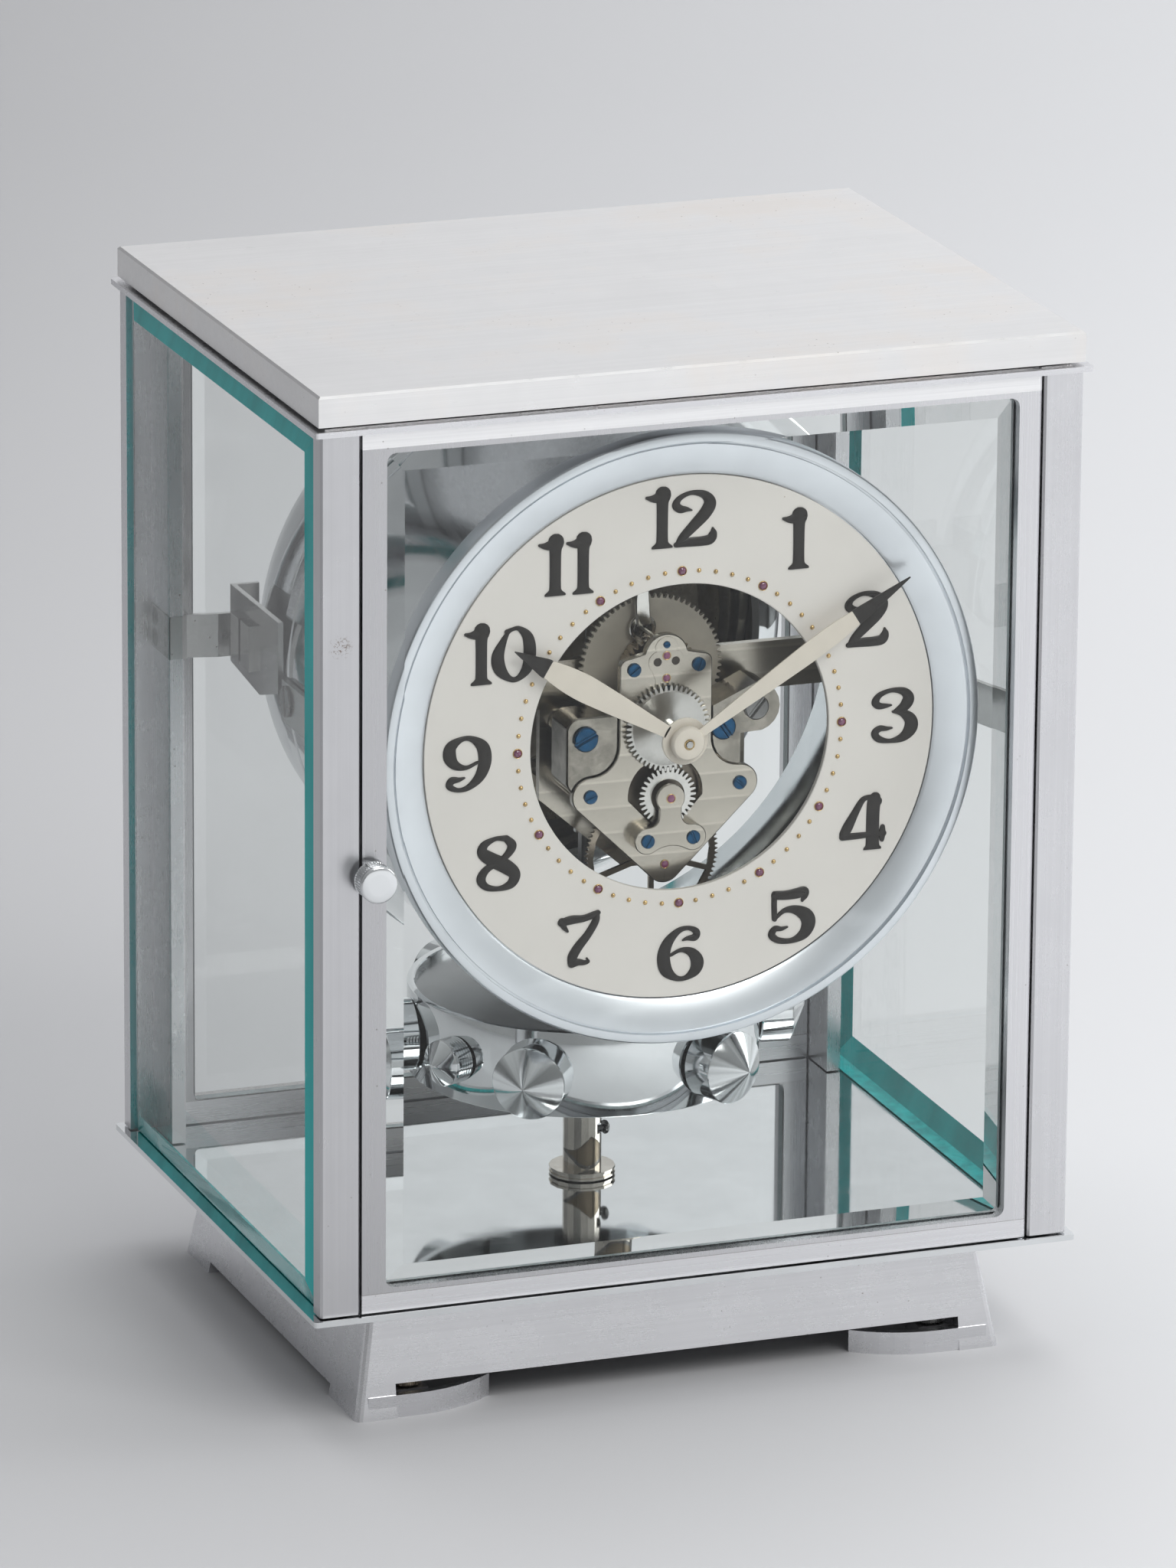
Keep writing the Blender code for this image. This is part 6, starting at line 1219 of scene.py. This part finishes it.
class CLOCK_OT_movement(ClockOperator, bpy.types.Operator):
    """Makes the striped front plate, the bridge and the left block, and sets their screws and stones."""

    bl_idname = "clock.movement"
    bl_label = "Movement plates"

    def make(self, sizes, colours):
        nickel = striped("Striped_Nickel", colours.nickel, sizes.stripe_pitch)
        edge = polished("Nickel_Edge", shade(colours.nickel, 1.25), 0.10, 0.05)
        block = tarnished("Block_Nickel", shade(colours.nickel, 0.72), 0.16, 0.38)
        self.plates(nickel, edge, colours)
        self.bridge(nickel, edge)
        self.block(block, edge)
        dress(nickel, "main_plate")
        dress(block, "right_lug")
        self.screws(sizes, colours)

    def screws(self, sizes, colours):
        """Rows of x, z, depth, radius, rise, turn in degrees and finish; then the stones in line."""
        face, bridge = low("front_plate")[1], low("wheel_bridge")[1]
        cap = face - 0.1 * MM
        small, tiny, big = sizes.screw_radius, sizes.screw_radius * 0.50, sizes.big_screw_radius
        mould = Mould()
        for x, z, depth, radius, rise, degrees, finish in (
                (-7.5, 13.5, face, small, 0.5, 35.0, 0), (7.5, 13.5, face, small, 0.5, 70.0, 0),
                (-17.4, -14.4, face, small, 0.5, 20.0, 0), (17.4, -14.4, face, small, 0.5, 140.0, 0),
                (0.0, 18.6, cap, tiny, 0.30, 15.0, 0), (0.0, 8.7, cap, tiny, 0.30, 80.0, 0),
                (-5.3, -24.7, bridge, small, 0.4, 60.0, 0), (5.3, -24.7, bridge, small, 0.4, 110.0, 0),
                (-18.7, -1.1, face, big, 0.9, 25.0, 0), (13.3, -1.3, face, big, 0.9, 125.0, 0),
                (21.0, 2.5, face, big, 0.9, 50.0, 1)):
            screw(mould, radius, rise * MM, on_dial(x * MM, z * MM, depth), degrees, finish)
        for z in (16.1 * MM, 11.0 * MM, -31.4 * MM):
            jewel(mould, 0.80 * MM, 0.25 * MM, on_dial(0.0, z, cap), 2)
        jewel(mould, 0.85 * MM, 0.25 * MM, on_dial(*MINUTE_ARBOR, bridge), 2)
        materials = [blued("Blued_Steel", colours.blue),
                     tarnished("Dark_Steel", shade(colours.steel, 0.5), 0.3),
                     tarnished("Stone_Setting", colours.gilt, 0.25, 0.7),
                     ruby("Bearing_Ruby", shade(colours.ruby, 1.3))]
        mould.cast("Movement_Screws", "case", materials, "steel", smooth=40.0)

    def plates(self, nickel, edge, colours):
        """The front plate round its window, the lobed cap let into its crown, and two small holes shown as
        dark discs of painted shade.
        """
        start = low("front_plate")[1]
        at = on_dial(depth=start)
        right = arcs((0.0, -31.66, 4.0, -90.0, -44.8), (17.4, -14.4, 4.2, -44.8, 84.0),
                     (17.4, -3.5, 6.7, 262.0, 180.0), (8.7, 14.0, 2.0, 0.0, 90.0),
                     (0.0, 16.0, 5.0, 10.0, 90.0))
        outline, window = both_sides(right), 8.5 * MM
        mould = Mould().add(*windowed(outline, MINUTE_ARBOR, window, 0.0, PLATE_THICK, 0.22 * MM, at))
        mould.add(*turned(profile((0.5, 1.9), (0.5, 11.1)), 16, on_dial(*CLICK_EYE, start)))
        cap = arcs((0.0, 9.9, 2.6, -90.0, 15.0), (1.7, 14.7, 2.5, -50.0, 75.0), (0.0, 17.7, 2.7, 10.0, 90.0))
        mould.add(*plate(both_sides(cap), -0.12 * MM, SUNK, 0.04 * MM, at))
        mould.cast("Front_Plate", "case", [nickel, edge], "nickel", ["front_plate"], 24.0)
        # Painted shade: the two small holes are dark discs on the plate
        holes = Mould()
        rows = profile((0.95, 0.0), (0.95, -0.16), (0.5, -0.14))
        for x in (-2.1 * MM, 2.1 * MM):
            holes.add(*turned(rows, 28, on_dial(x, 14.8 * MM, start)))
        dark = painted("Plate_Holes_Painted_Shade", colours.hole, 0.3)
        holes.cast("Plate_Holes_Painted_Shade", "case", [dark], "steel", smooth=30.0)

    def bridge(self, nickel, edge):
        """A keyhole: a round head and a neck on a foot with two round ends."""
        at = on_dial(depth=low("wheel_bridge")[1])
        foot = arcs((0.0, -33.2, 7.0, 90.0, 59.0), (5.3, -24.7, 3.0, -120.0, 90.0))
        head = arcs((4.9, -19.4, 2.3, 270.0, 180.0), (0.0, -15.4, 3.3, -40.0, 90.0))
        keyhole = both_sides(np.concatenate([foot, head]))
        mould = Mould().add(*plate(keyhole, 0.0, 0.95 * MM, 0.18 * MM, at))
        mould.add(*plate(both_sides(foot), 0.9 * MM, 3.6 * MM, 0.02 * MM, at), 1)
        mould.cast("Wheel_Bridge", "case", [nickel, edge], "nickel", ["wheel_bridge"], 24.0)

    def block(self, nickel, edge):
        """The left block with round corners, the pillar behind it and its cock across the centre arbor."""
        start = low("left_block")[1]
        at = on_dial(depth=start)
        outline = arcs((-20.0, 0.7, 3.0, 90.0, 180.0), (-20.0, -10.6, 3.0, 180.0, 218.0),
                       (-17.4, -14.4, 4.5, 165.0, 100.0), (-17.4, -3.5, 6.35, -82.0, 0.0),
                       (-11.4, 3.3, 0.4, 0.0, 90.0))
        mould = Mould().add(*plate(outline, 0.0, BLOCK_THICK, 0.35 * MM, at))
        mould.add(*turned(profile((2.5, 9.8), (2.5, 14.3)), 32, on_dial(-19.5 * MM, -1.0 * MM, start)))
        cock = arcs((0.0, -0.25, 1.8, -90.0, 90.0), (-17.0, -0.25, 1.8, 90.0, 270.0))
        mould.add(*plate(cock, BLOCK_THICK - 1.5 * MM, BLOCK_THICK, 0.1 * MM, at))
        mould.cast("Left_Block", "case", [nickel, edge], "nickel", ["left_block"], 24.0)


class CLOCK_OT_train(ClockOperator, bpy.types.Operator):
    """Makes the hour, minute and ratchet wheels and the click, and finishes the rest of the train."""

    bl_idname = "clock.train"
    bl_label = "Wheels"

    def make(self, sizes, colours):
        for node in ("third_wheel", "escape_wheel", "barrel"):
            dress(ringed("Ringed_" + node, colours.brass, centre_of(node)), node)
        dress(tarnished("Bright_Steel", shade(colours.steel, 1.15), 0.2), "minute_arbor", "pallet_lever")
        self.hour_wheel(colours)
        self.minute_wheel(colours)
        self.ratchet(colours)
        self.click(colours)

    def hour_wheel(self, colours):
        """A full disc, a little hollow towards its middle, with fine teeth and a pipe to its hand."""
        pipe = low("hour_wheel")[1] - DIAL_CENTRE[1]
        front, at = MOTION_FRONT, on_dial()
        disc = profile((2.2, -0.1), (3.4, 0.25), (6.0, 0.30), (8.0, 0.12), (8.6, 0.0), (8.6, 1.0),
                       (1.15, 1.0), height=front)
        rows = np.vstack([(2.2 * MM, pipe), disc, (1.15 * MM, pipe)])
        mould = Mould().add(*turned(rows, 96, at, True))
        mould.add(*toothed(48, 8.6 * MM, 9.75 * MM, 8.3 * MM, front, front + 1.0 * MM, at, 0.5))
        finish = ringed("Ringed_Hour_Wheel", colours.lever, DIAL_CENTRE, 0.20)
        mould.cast("Hour_Wheel", "hour", [finish], "brass", ["hour_wheel"], 28.0)

    def minute_wheel(self, colours):
        """A toothed ring round a hollow, on the arbor of a wide wheel behind the plate; the hollow, the arbor
        and the wheel are darkened as painted shade.
        """
        front, at = MOTION_FRONT, on_dial(*MINUTE_ARBOR)
        mould = Mould().add(*toothed(32, 5.45 * MM, 6.65 * MM, 3.9 * MM, front, front + 1.0 * MM, at))
        hollow = profile((4.0, 0.7), (4.0, 1.0), (0.5, 1.0), (0.5, 0.7), height=front)
        mould.add(*turned(hollow, 48, at, True), 1)
        mould.add(*toothed(64, 13.2 * MM, 14.1 * MM, 0.5 * MM, 11.9 * MM, 12.7 * MM, at), 1)
        mould.add(*turned(profile((0.6, 5.8), (0.6, 14.5), (0.35, 14.6), (0.35, 25.2)), 24, at), 1)
        centre = DIAL_CENTRE + np.array([0.0, 0.0, MINUTE_ARBOR[1]])
        bright = ringed("Ringed_Motion_Pinion", shade(colours.lever, 1.15), centre, 0.18)
        # Painted shade: the hollow, the arbor and the wheel behind the plate take a dark copy of the brass
        painted_shade_finish = ringed("Ringed_Minute_Wheel_Painted_Shade", shade(colours.brass, 0.45), centre, 0.35)
        mould.cast("Minute_Wheel", "minute_wheel", [bright, painted_shade_finish], "brass", ["minute_wheel"], 28.0)

    def ratchet(self, colours):
        """A matt disc with slanting teeth: a tooth's flank leans as its point runs ahead of its foot."""
        at = on_dial(*RATCHET_MIDDLE)
        count = 72
        share = np.tile([0.02, 0.45, 0.62, 0.84], count) + np.repeat(np.arange(count), 4)
        radius = np.tile([15.75, 15.75, 16.6, 16.6], count) * MM
        angle = -TURN * share / count
        outline = np.stack([radius * np.cos(angle), radius * np.sin(angle)], 1)[::-1]
        mould = Mould().add(*plate(outline, 20.5 * MM, 21.5 * MM, 0.08 * MM, at))
        mould.add(*turned(profile((1.0, 9.3), (1.0, 25.2)), 24, at))
        centre = DIAL_CENTRE + np.array([RATCHET_MIDDLE[0], 0.0, RATCHET_MIDDLE[1]])
        matt = ringed("Ringed_Ratchet", colours.matt, centre, 0.52, 0.35)
        mould.cast("Ratchet_Wheel", "ratchet", [matt], "steel", ["ratchet_wheel"], 28.0)

    def click(self, colours):
        """A rounded upright finger on an eye, held by a dark screw, with its hook over the ratchet."""
        front = DIAL_CENTRE[1] + CLICK_FRONT
        finger = np.array([(-1.8, 20.6, 3.3), (-1.95, 23.0, 3.5), (-2.1, 26.0, 3.4), (-2.1, 28.2, 3.0)]) * MM
        hook = arcs((-2.1, 25.4, 1.5, 180.0, 360.0), (-2.1, 28.0, 1.5, 0.0, 180.0))
        mould = Mould().add(*stroke(finger, 0.7 * MM, on_dial(depth=front), False, False, 5))
        mould.add(*plate(hook, 19.0 * MM, 20.2 * MM, 0.1 * MM, on_dial()))
        eye = profile((2.9, 18.85), (3.1, 19.0), (3.1, 20.0), (0.8, 20.0), (0.8, 18.85))
        mould.add(*turned(eye, 48, on_dial(*CLICK_EYE), True))
        screw(mould, 2.1 * MM, 0.5 * MM, on_dial(*CLICK_EYE, front), 60.0, 1)
        bright = tarnished("Click_Steel", shade(colours.lever, 1.2), 0.16, 0.75)
        dark = tarnished("Click_Screw", shade(colours.steel, 0.45), 0.22)
        mould.cast("Click", "click", [bright, dark], "steel", ["click"], 35.0)


class CLOCK_OT_housing(ClockOperator, bpy.types.Operator):
    """Makes the domed housing behind the drum and finishes what it holds."""

    bl_idname = "clock.housing"
    bl_label = "Housing"

    def make(self, sizes, colours):
        """A turned shell: soft curves of (share of radius, share of depth) before and behind its widest."""
        start, end = low("dome_housing"), high("dome_housing")
        radius, depth = (end[0] - start[0]) / 2.0, end[1] - start[1]
        widest, wall, hole = 21.5 * MM, 1.7 * MM, 0.5 * MM
        front = smoothed([(0.83, 0.0), (0.90, 0.14), (0.962, 0.40), (0.993, 0.70), (1.0, 1.0)], 4)
        rear = smoothed([(1.0, 0.0), (0.975, 0.4), (0.90, 0.72), (0.754, 0.94), (0.49, 1.0)], 5)[1:]
        outer = np.vstack([front * (radius, widest), rear * (radius, depth - widest) + (0.0, widest)])
        inner = np.stack([outer[:, 0] - wall, np.minimum(outer[:, 1], depth - wall)], 1)
        rows = np.vstack([(hole, depth), outer[::-1], inner, (hole, depth - wall)])
        at = facing_front((0.0, start[1], (start[2] + end[2]) / 2.0))
        chrome = polished("Dome_Chrome", shade(colours.chrome, 0.96), 0.08, 0.16)
        mould = Mould().add(*turned(rows, sizes.round_sides, at))
        mould.cast("Dome", "case", [chrome], "satin_chrome", ["dome_housing"], 30.0)
        dress(tarnished("Capsule_Brass", colours.brass, 0.3), "expansion_capsule", "capsule_follower")


class CLOCK_OT_pendulum(ClockOperator, bpy.types.Operator):
    """Makes the pendulum ring, its six coned weights and its two grooved trim weights."""

    bl_idname = "clock.pendulum"
    bl_label = "Pendulum"

    def make(self, sizes, colours):
        chrome = polished("Pendulum_Chrome", colours.chrome, 0.045, 0.08)
        radius, top = RING_HIGH[0], RING_HIGH[2]
        under = top - 19.77 * MM
        middle = (under + top) / 2.0
        self.ring(sizes, colours, chrome, radius, under, top)
        self.weights(colours, radius, middle)
        self.trims(chrome, radius, middle)
        dress(tarnished("Shaft_Steel", colours.steel, 0.2), "pendulum_shaft", "suspension_block")

    def ring(self, sizes, colours, chrome, radius, under, top):
        """A turned rim, web and hub; what lies inside the rim, from the web on, takes a rougher finish in a
        much darker copy of the chrome, which is painted shade.
        """
        bottom, web, edge = RING_LOW[2], top - 1.6 * MM, sizes.edge_round
        lip, bore, hub = radius - 1.8 * MM, 1.8 * MM, 6.2 * MM
        floor, soft = web - 2.0 * MM, edge * 0.3
        rows = [(radius, under + edge), (radius, top - edge), (radius - soft, top - soft),
                (radius - edge, top), (lip + edge, top), (lip, top - edge), (lip, web), (bore, web),
                (bore, bottom), (hub - edge, bottom), (hub, bottom + edge), (hub, floor), (lip, floor),
                (lip, under), (radius - edge, under), (radius - soft, under + soft)]
        points, (skin,) = turned(rows, sizes.round_sides, standing(0.0, RING_AXIS), True)
        first, last = 6 * sizes.round_sides, 12 * sizes.round_sides
        # Painted shade: the inside of the ring is a dark copy of the chrome
        painted_shade_finish = polished("Pendulum_Web_Painted_Shade", shade(colours.chrome, 0.35), 0.22)
        mould = Mould().add(points, [skin[:first], skin[first:last], skin[last:]], (0, 1, 0))
        mould.cast("Pendulum_Ring", "pendulum", [chrome, painted_shade_finish], "bright_chrome", ["pendulum_ring"], 35.0)

    def weights(self, colours, radius, middle):
        """Turned drums round the ring, each ending in a flat cone."""
        foot = profile((0.2, 0.05), (7.9, 0.1), (8.25, 0.4), height=radius)
        cone = profile((8.25, 47.0), (8.15, 47.2), (7.9, 47.4), (0.5, 51.70), (0.1, 51.80))
        rows = np.vstack([foot, cone])
        mould = Mould()
        for i in range(WEIGHTS):
            mould.add(*turned(rows, 112, self.outward(FIRST_WEIGHT + 360.0 / WEIGHTS * i, middle)))
        cones = coned("Coned_Chrome_Painted_Reflections", shade(colours.chrome, 1.1), middle)
        nodes = [f"pendulum_weight_{i + 1}" for i in range(WEIGHTS)]
        mould.cast("Weights", "pendulum", [cones], "bright_chrome", nodes, 24.0)

    def trims(self, chrome, radius, middle):
        """Knobs with six grooves, each a straight land and a slanting cut, under a low cone."""
        land = profile((5.2, 0.0), (5.2, 0.42), (4.85, 0.57))
        lands = [land + (0.0, radius + 0.3 * MM + 0.72 * MM * i) for i in range(6)]
        crown = profile((5.2, 44.7), (5.0, 44.95), (0.4, 47.6))
        rows = np.vstack([profile((0.2, 0.2), height=radius), *lands, crown])
        mould = Mould()
        for i in range(2):
            mould.add(*turned(rows, 96, self.outward(FIRST_TRIM + 180.0 * i, middle)))
        nodes = ["trim_weight_1", "trim_weight_2"]
        mould.cast("Trim_Weights", "pendulum", [chrome], "bright_chrome", nodes, 24.0)

    def outward(self, degrees, height):
        """Looks out from the pendulum's axis at a bearing and a height; w is the distance from the axis."""
        angle = math.radians(degrees)
        out = (math.cos(angle), math.sin(angle), 0.0)
        side = (-math.sin(angle), math.cos(angle), 0.0)
        return placed((0.0, RING_AXIS, height), side, (0, 0, 1), out)


class CLOCK_OT_lock(ClockOperator, bpy.types.Operator):
    """Finishes the pendulum lock and the levelling feet, and makes the cam cut and levelling wheels."""

    bl_idname = "clock.lock"
    bl_label = "Lock and levelling"

    def make(self, sizes, colours):
        dress(tarnished("Lock_Nickel", colours.lock, 0.16, 0.8), "lock_sleeve")
        dark = tarnished("Lock_Steel", shade(colours.steel, 0.35), 0.25)
        dress(dark, "lock_plunger")
        self.cam(dark, colours)
        brass = tarnished("Levelling_Brass", shade(colours.brass, 0.8), 0.3)
        dark = tarnished("Levelling_Dark", shade(colours.steel, 0.45), 0.35)
        dress(dark, "levelling_foot_left", "levelling_foot_right")
        for side, finish in (("left", brass), ("right", dark)):
            node = "levelling_wheel_" + side
            start, end = low(node), high(node)
            radius = (end[0] - start[0]) / 2.0
            place = standing(*centre_of(node)[:2])
            mould = Mould().add(*toothed(48, radius - 0.2 * MM, radius, 1.85 * MM, start[2], end[2], place))
            mould.cast("Levelling_Wheel_" + side.title(), "wheel_" + side, [finish], "brass", [node], 40.0)

    def cam(self, dark, colours):
        """The dark cam cut of the sleeve, its lower edge and floor apart, and the side screw's round head."""
        centre = centre_of("lock_sleeve")
        turn = np.linspace(CAM_START, CAM_END, 64)
        bearing = np.radians(turn + CAM_BEARING)
        upper = np.interp(turn, (CAM_START, -29.5, -10.5, 10.0, 29.5, 50.0, 70.7, CAM_END),
                          (34.8, 34.97, 35.6, 37.0, 38.3, 37.2, 35.65, 34.0)) * MM
        lower = np.interp(turn, (CAM_START, -52.0, -29.5, -8.9, 13.9, 39.3, 66.0, CAM_END),
                          (34.7, 33.8, 32.65, 31.2, 30.45, 30.8, 31.8, 33.4)) * MM
        floor = np.minimum(lower + 1.0 * MM, upper - 0.05 * MM)
        inside = slice(6, -3)
        mould = Mould().add(*wrapped(bearing, lower, upper, 4.40 * MM, 0.1 * MM, centre))
        mould.add(*wrapped(bearing[inside], floor[inside], upper[inside] - 0.12 * MM, 4.43 * MM, 0.1 * MM,
                           centre), 1)
        brown = tarnished("Lock_Cut_Floor", colours.cut, 0.20, 0.6)
        mould.cast("Lock_Cam", "lock_sleeve", [dark, brown], "nickel", smooth=30.0)
        height = low("lock_sleeve")[2] + 10.0 * MM
        at = facing_side((high("lock_plunger")[0] - 0.5 * MM, centre[1], height))
        head = profile((0.3, 0.0), (1.55, 0.0), (1.65, 0.25), (1.5, 0.8), (1.0, 1.15), (0.1, 1.3))
        Mould().add(*turned(head, 32, at)).cast("Lock_Screw", "lock_plunger", [dark], "steel", smooth=40.0)


class CLOCK_OT_studio(ClockOperator, bpy.types.Operator):
    """Sets the pale floor and backdrop, the soft lights and the camera."""

    bl_idname = "clock.studio"
    bl_label = "Studio"

    def make(self, sizes, colours):
        self.sweep(backdrop_paper("Backdrop_Paper", colours.paper_shaded_left, colours.paper))
        for row in LAMPS:
            self.lamp(*row)
        self.room()
        bpy.context.scene.view_settings.view_transform = "Standard"
        self.camera()

    def sweep(self, paper):
        """A floor that turns up by a quarter round into a wall, the same at every x."""
        share = np.linspace(0.0, 1.0, 33)[:, None]
        bend = TURN / 4.0 * np.clip((share - FLOOR_SHARE) / ROUND_SHARE, 0.0, 1.0)
        flat = FLOOR_START + share / FLOOR_SHARE * (FLOOR_END - FLOOR_START)
        wall = np.clip((share - FLOOR_SHARE - ROUND_SHARE) / WALL_SHARE, 0.0, 1.0) * WALL_RISE
        x = np.linspace(-SWEEP_HALF_WIDTH, SWEEP_HALF_WIDTH, 13)[None, :]
        y = np.where(share < FLOOR_SHARE, flat, FLOOR_END + ROUND_RADIUS * np.sin(bend))
        z = ROUND_RADIUS * (1.0 - np.cos(bend)) + wall
        points = np.stack(np.broadcast_arrays(x, y, z), -1)
        mesh = bpy.data.meshes.new("Backdrop")
        mesh.from_pydata(points.reshape(-1, 3).tolist(), [], lattice(33, 13).tolist())
        mesh.materials.append(paper)
        mesh.shade_smooth()
        sweep = bpy.data.objects.new("Backdrop", mesh)
        bpy.context.scene.collection.objects.link(sweep)

    def room(self):
        """The air around the stage: dark towards the front and the left, bright behind and to the right."""
        world = bpy.data.worlds.new("Room")
        world.use_nodes = True
        tree = world.node_tree
        spot = tree.nodes.new("ShaderNodeTexCoord")
        lean = tree.nodes.new("ShaderNodeVectorMath")
        lean.operation = "DOT_PRODUCT"
        lean.inputs[1].default_value = AIR_LEAN
        ramp = tree.nodes.new("ShaderNodeMapRange")
        for index, value in enumerate((-AIR_REACH, AIR_REACH, *AIR_STRENGTH), 1):
            ramp.inputs[index].default_value = value
        tree.links.new(spot.outputs["Generated"], lean.inputs[0])
        tree.links.new(lean.outputs["Value"], ramp.inputs[0])
        tree.links.new(ramp.outputs[0], tree.nodes["Background"].inputs["Strength"])
        tree.nodes["Background"].inputs["Color"].default_value = AIR_TINT
        bpy.context.scene.world = world

    def lamp(self, name, place, size, power, tint):
        """A round lamp that aims at the clock."""
        light = bpy.data.lights.new(name, "AREA")
        light.shape = "DISK"
        light.size = size
        light.energy = power
        light.color = tint
        thing = bpy.data.objects.new(name, light)
        thing.location = place
        thing.visible_camera = False
        aim = Vector(LAMP_AIM) - Vector(place)
        thing.rotation_euler = aim.to_track_quat("-Z", "Y").to_euler()
        bpy.context.scene.collection.objects.link(thing)

    def camera(self):
        """Stands at an azimuth and an elevation from the clock; the roll turns it about its line of sight."""
        azimuth, elevation, roll = (math.radians(a) for a in CAMERA_TURN)
        back = np.array([math.sin(azimuth) * math.cos(elevation), -math.cos(azimuth) * math.cos(elevation),
                         math.sin(elevation)])
        right = np.array([math.cos(azimuth), math.sin(azimuth), 0.0])
        up = np.cross(back, right)
        level = math.cos(roll) * right + math.sin(roll) * up
        upright = -math.sin(roll) * right + math.cos(roll) * up
        view = bpy.data.cameras.new("View")
        view.lens = CAMERA_LENS
        view.sensor_width = CAMERA_SENSOR
        view.sensor_fit = "AUTO"
        thing = bpy.data.objects.new("View", view)
        pose = np.eye(4)
        pose[:3] = np.stack([level, upright, back, CAMERA_PLACE], 1)
        thing.matrix_world = Matrix(pose.tolist())
        bpy.context.scene.collection.objects.link(thing)
        bpy.context.scene.camera = thing


STEPS = (CLOCK_OT_case, CLOCK_OT_glazing, CLOCK_OT_knob, CLOCK_OT_drum, CLOCK_OT_dial, CLOCK_OT_hands,
         CLOCK_OT_movement, CLOCK_OT_train, CLOCK_OT_housing, CLOCK_OT_pendulum, CLOCK_OT_lock,
         CLOCK_OT_studio)


class CLOCK_PT_panel(bpy.types.Panel):
    """Lists every step of the clock in the sidebar."""

    bl_idname = "CLOCK_PT_panel"
    bl_label = "Clock"
    bl_space_type = "VIEW_3D"
    bl_region_type = "UI"
    bl_category = "Clock"

    def draw(self, context):
        for step in STEPS:
            self.layout.operator(step.bl_idname)


CLASSES = (ClockSizes, ClockColours, *STEPS, CLOCK_PT_panel)


def register():
    """Adds the classes, and hangs the sizes and colours on the scene."""
    for item in CLASSES:
        bpy.utils.register_class(item)
    bpy.types.Scene.clock_sizes = bpy.props.PointerProperty(type=ClockSizes)
    bpy.types.Scene.clock_colours = bpy.props.PointerProperty(type=ClockColours)


def unregister():
    """Takes back what register added, in the other order."""
    del bpy.types.Scene.clock_colours
    del bpy.types.Scene.clock_sizes
    for item in reversed(CLASSES):
        bpy.utils.unregister_class(item)


def main():
    """Builds the clock step by step."""
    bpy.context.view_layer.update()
    register()
    for step in STEPS:
        space, name = step.bl_idname.split(".")
        getattr(getattr(bpy.ops, space), name)()


if __name__ == "__main__":
    main()
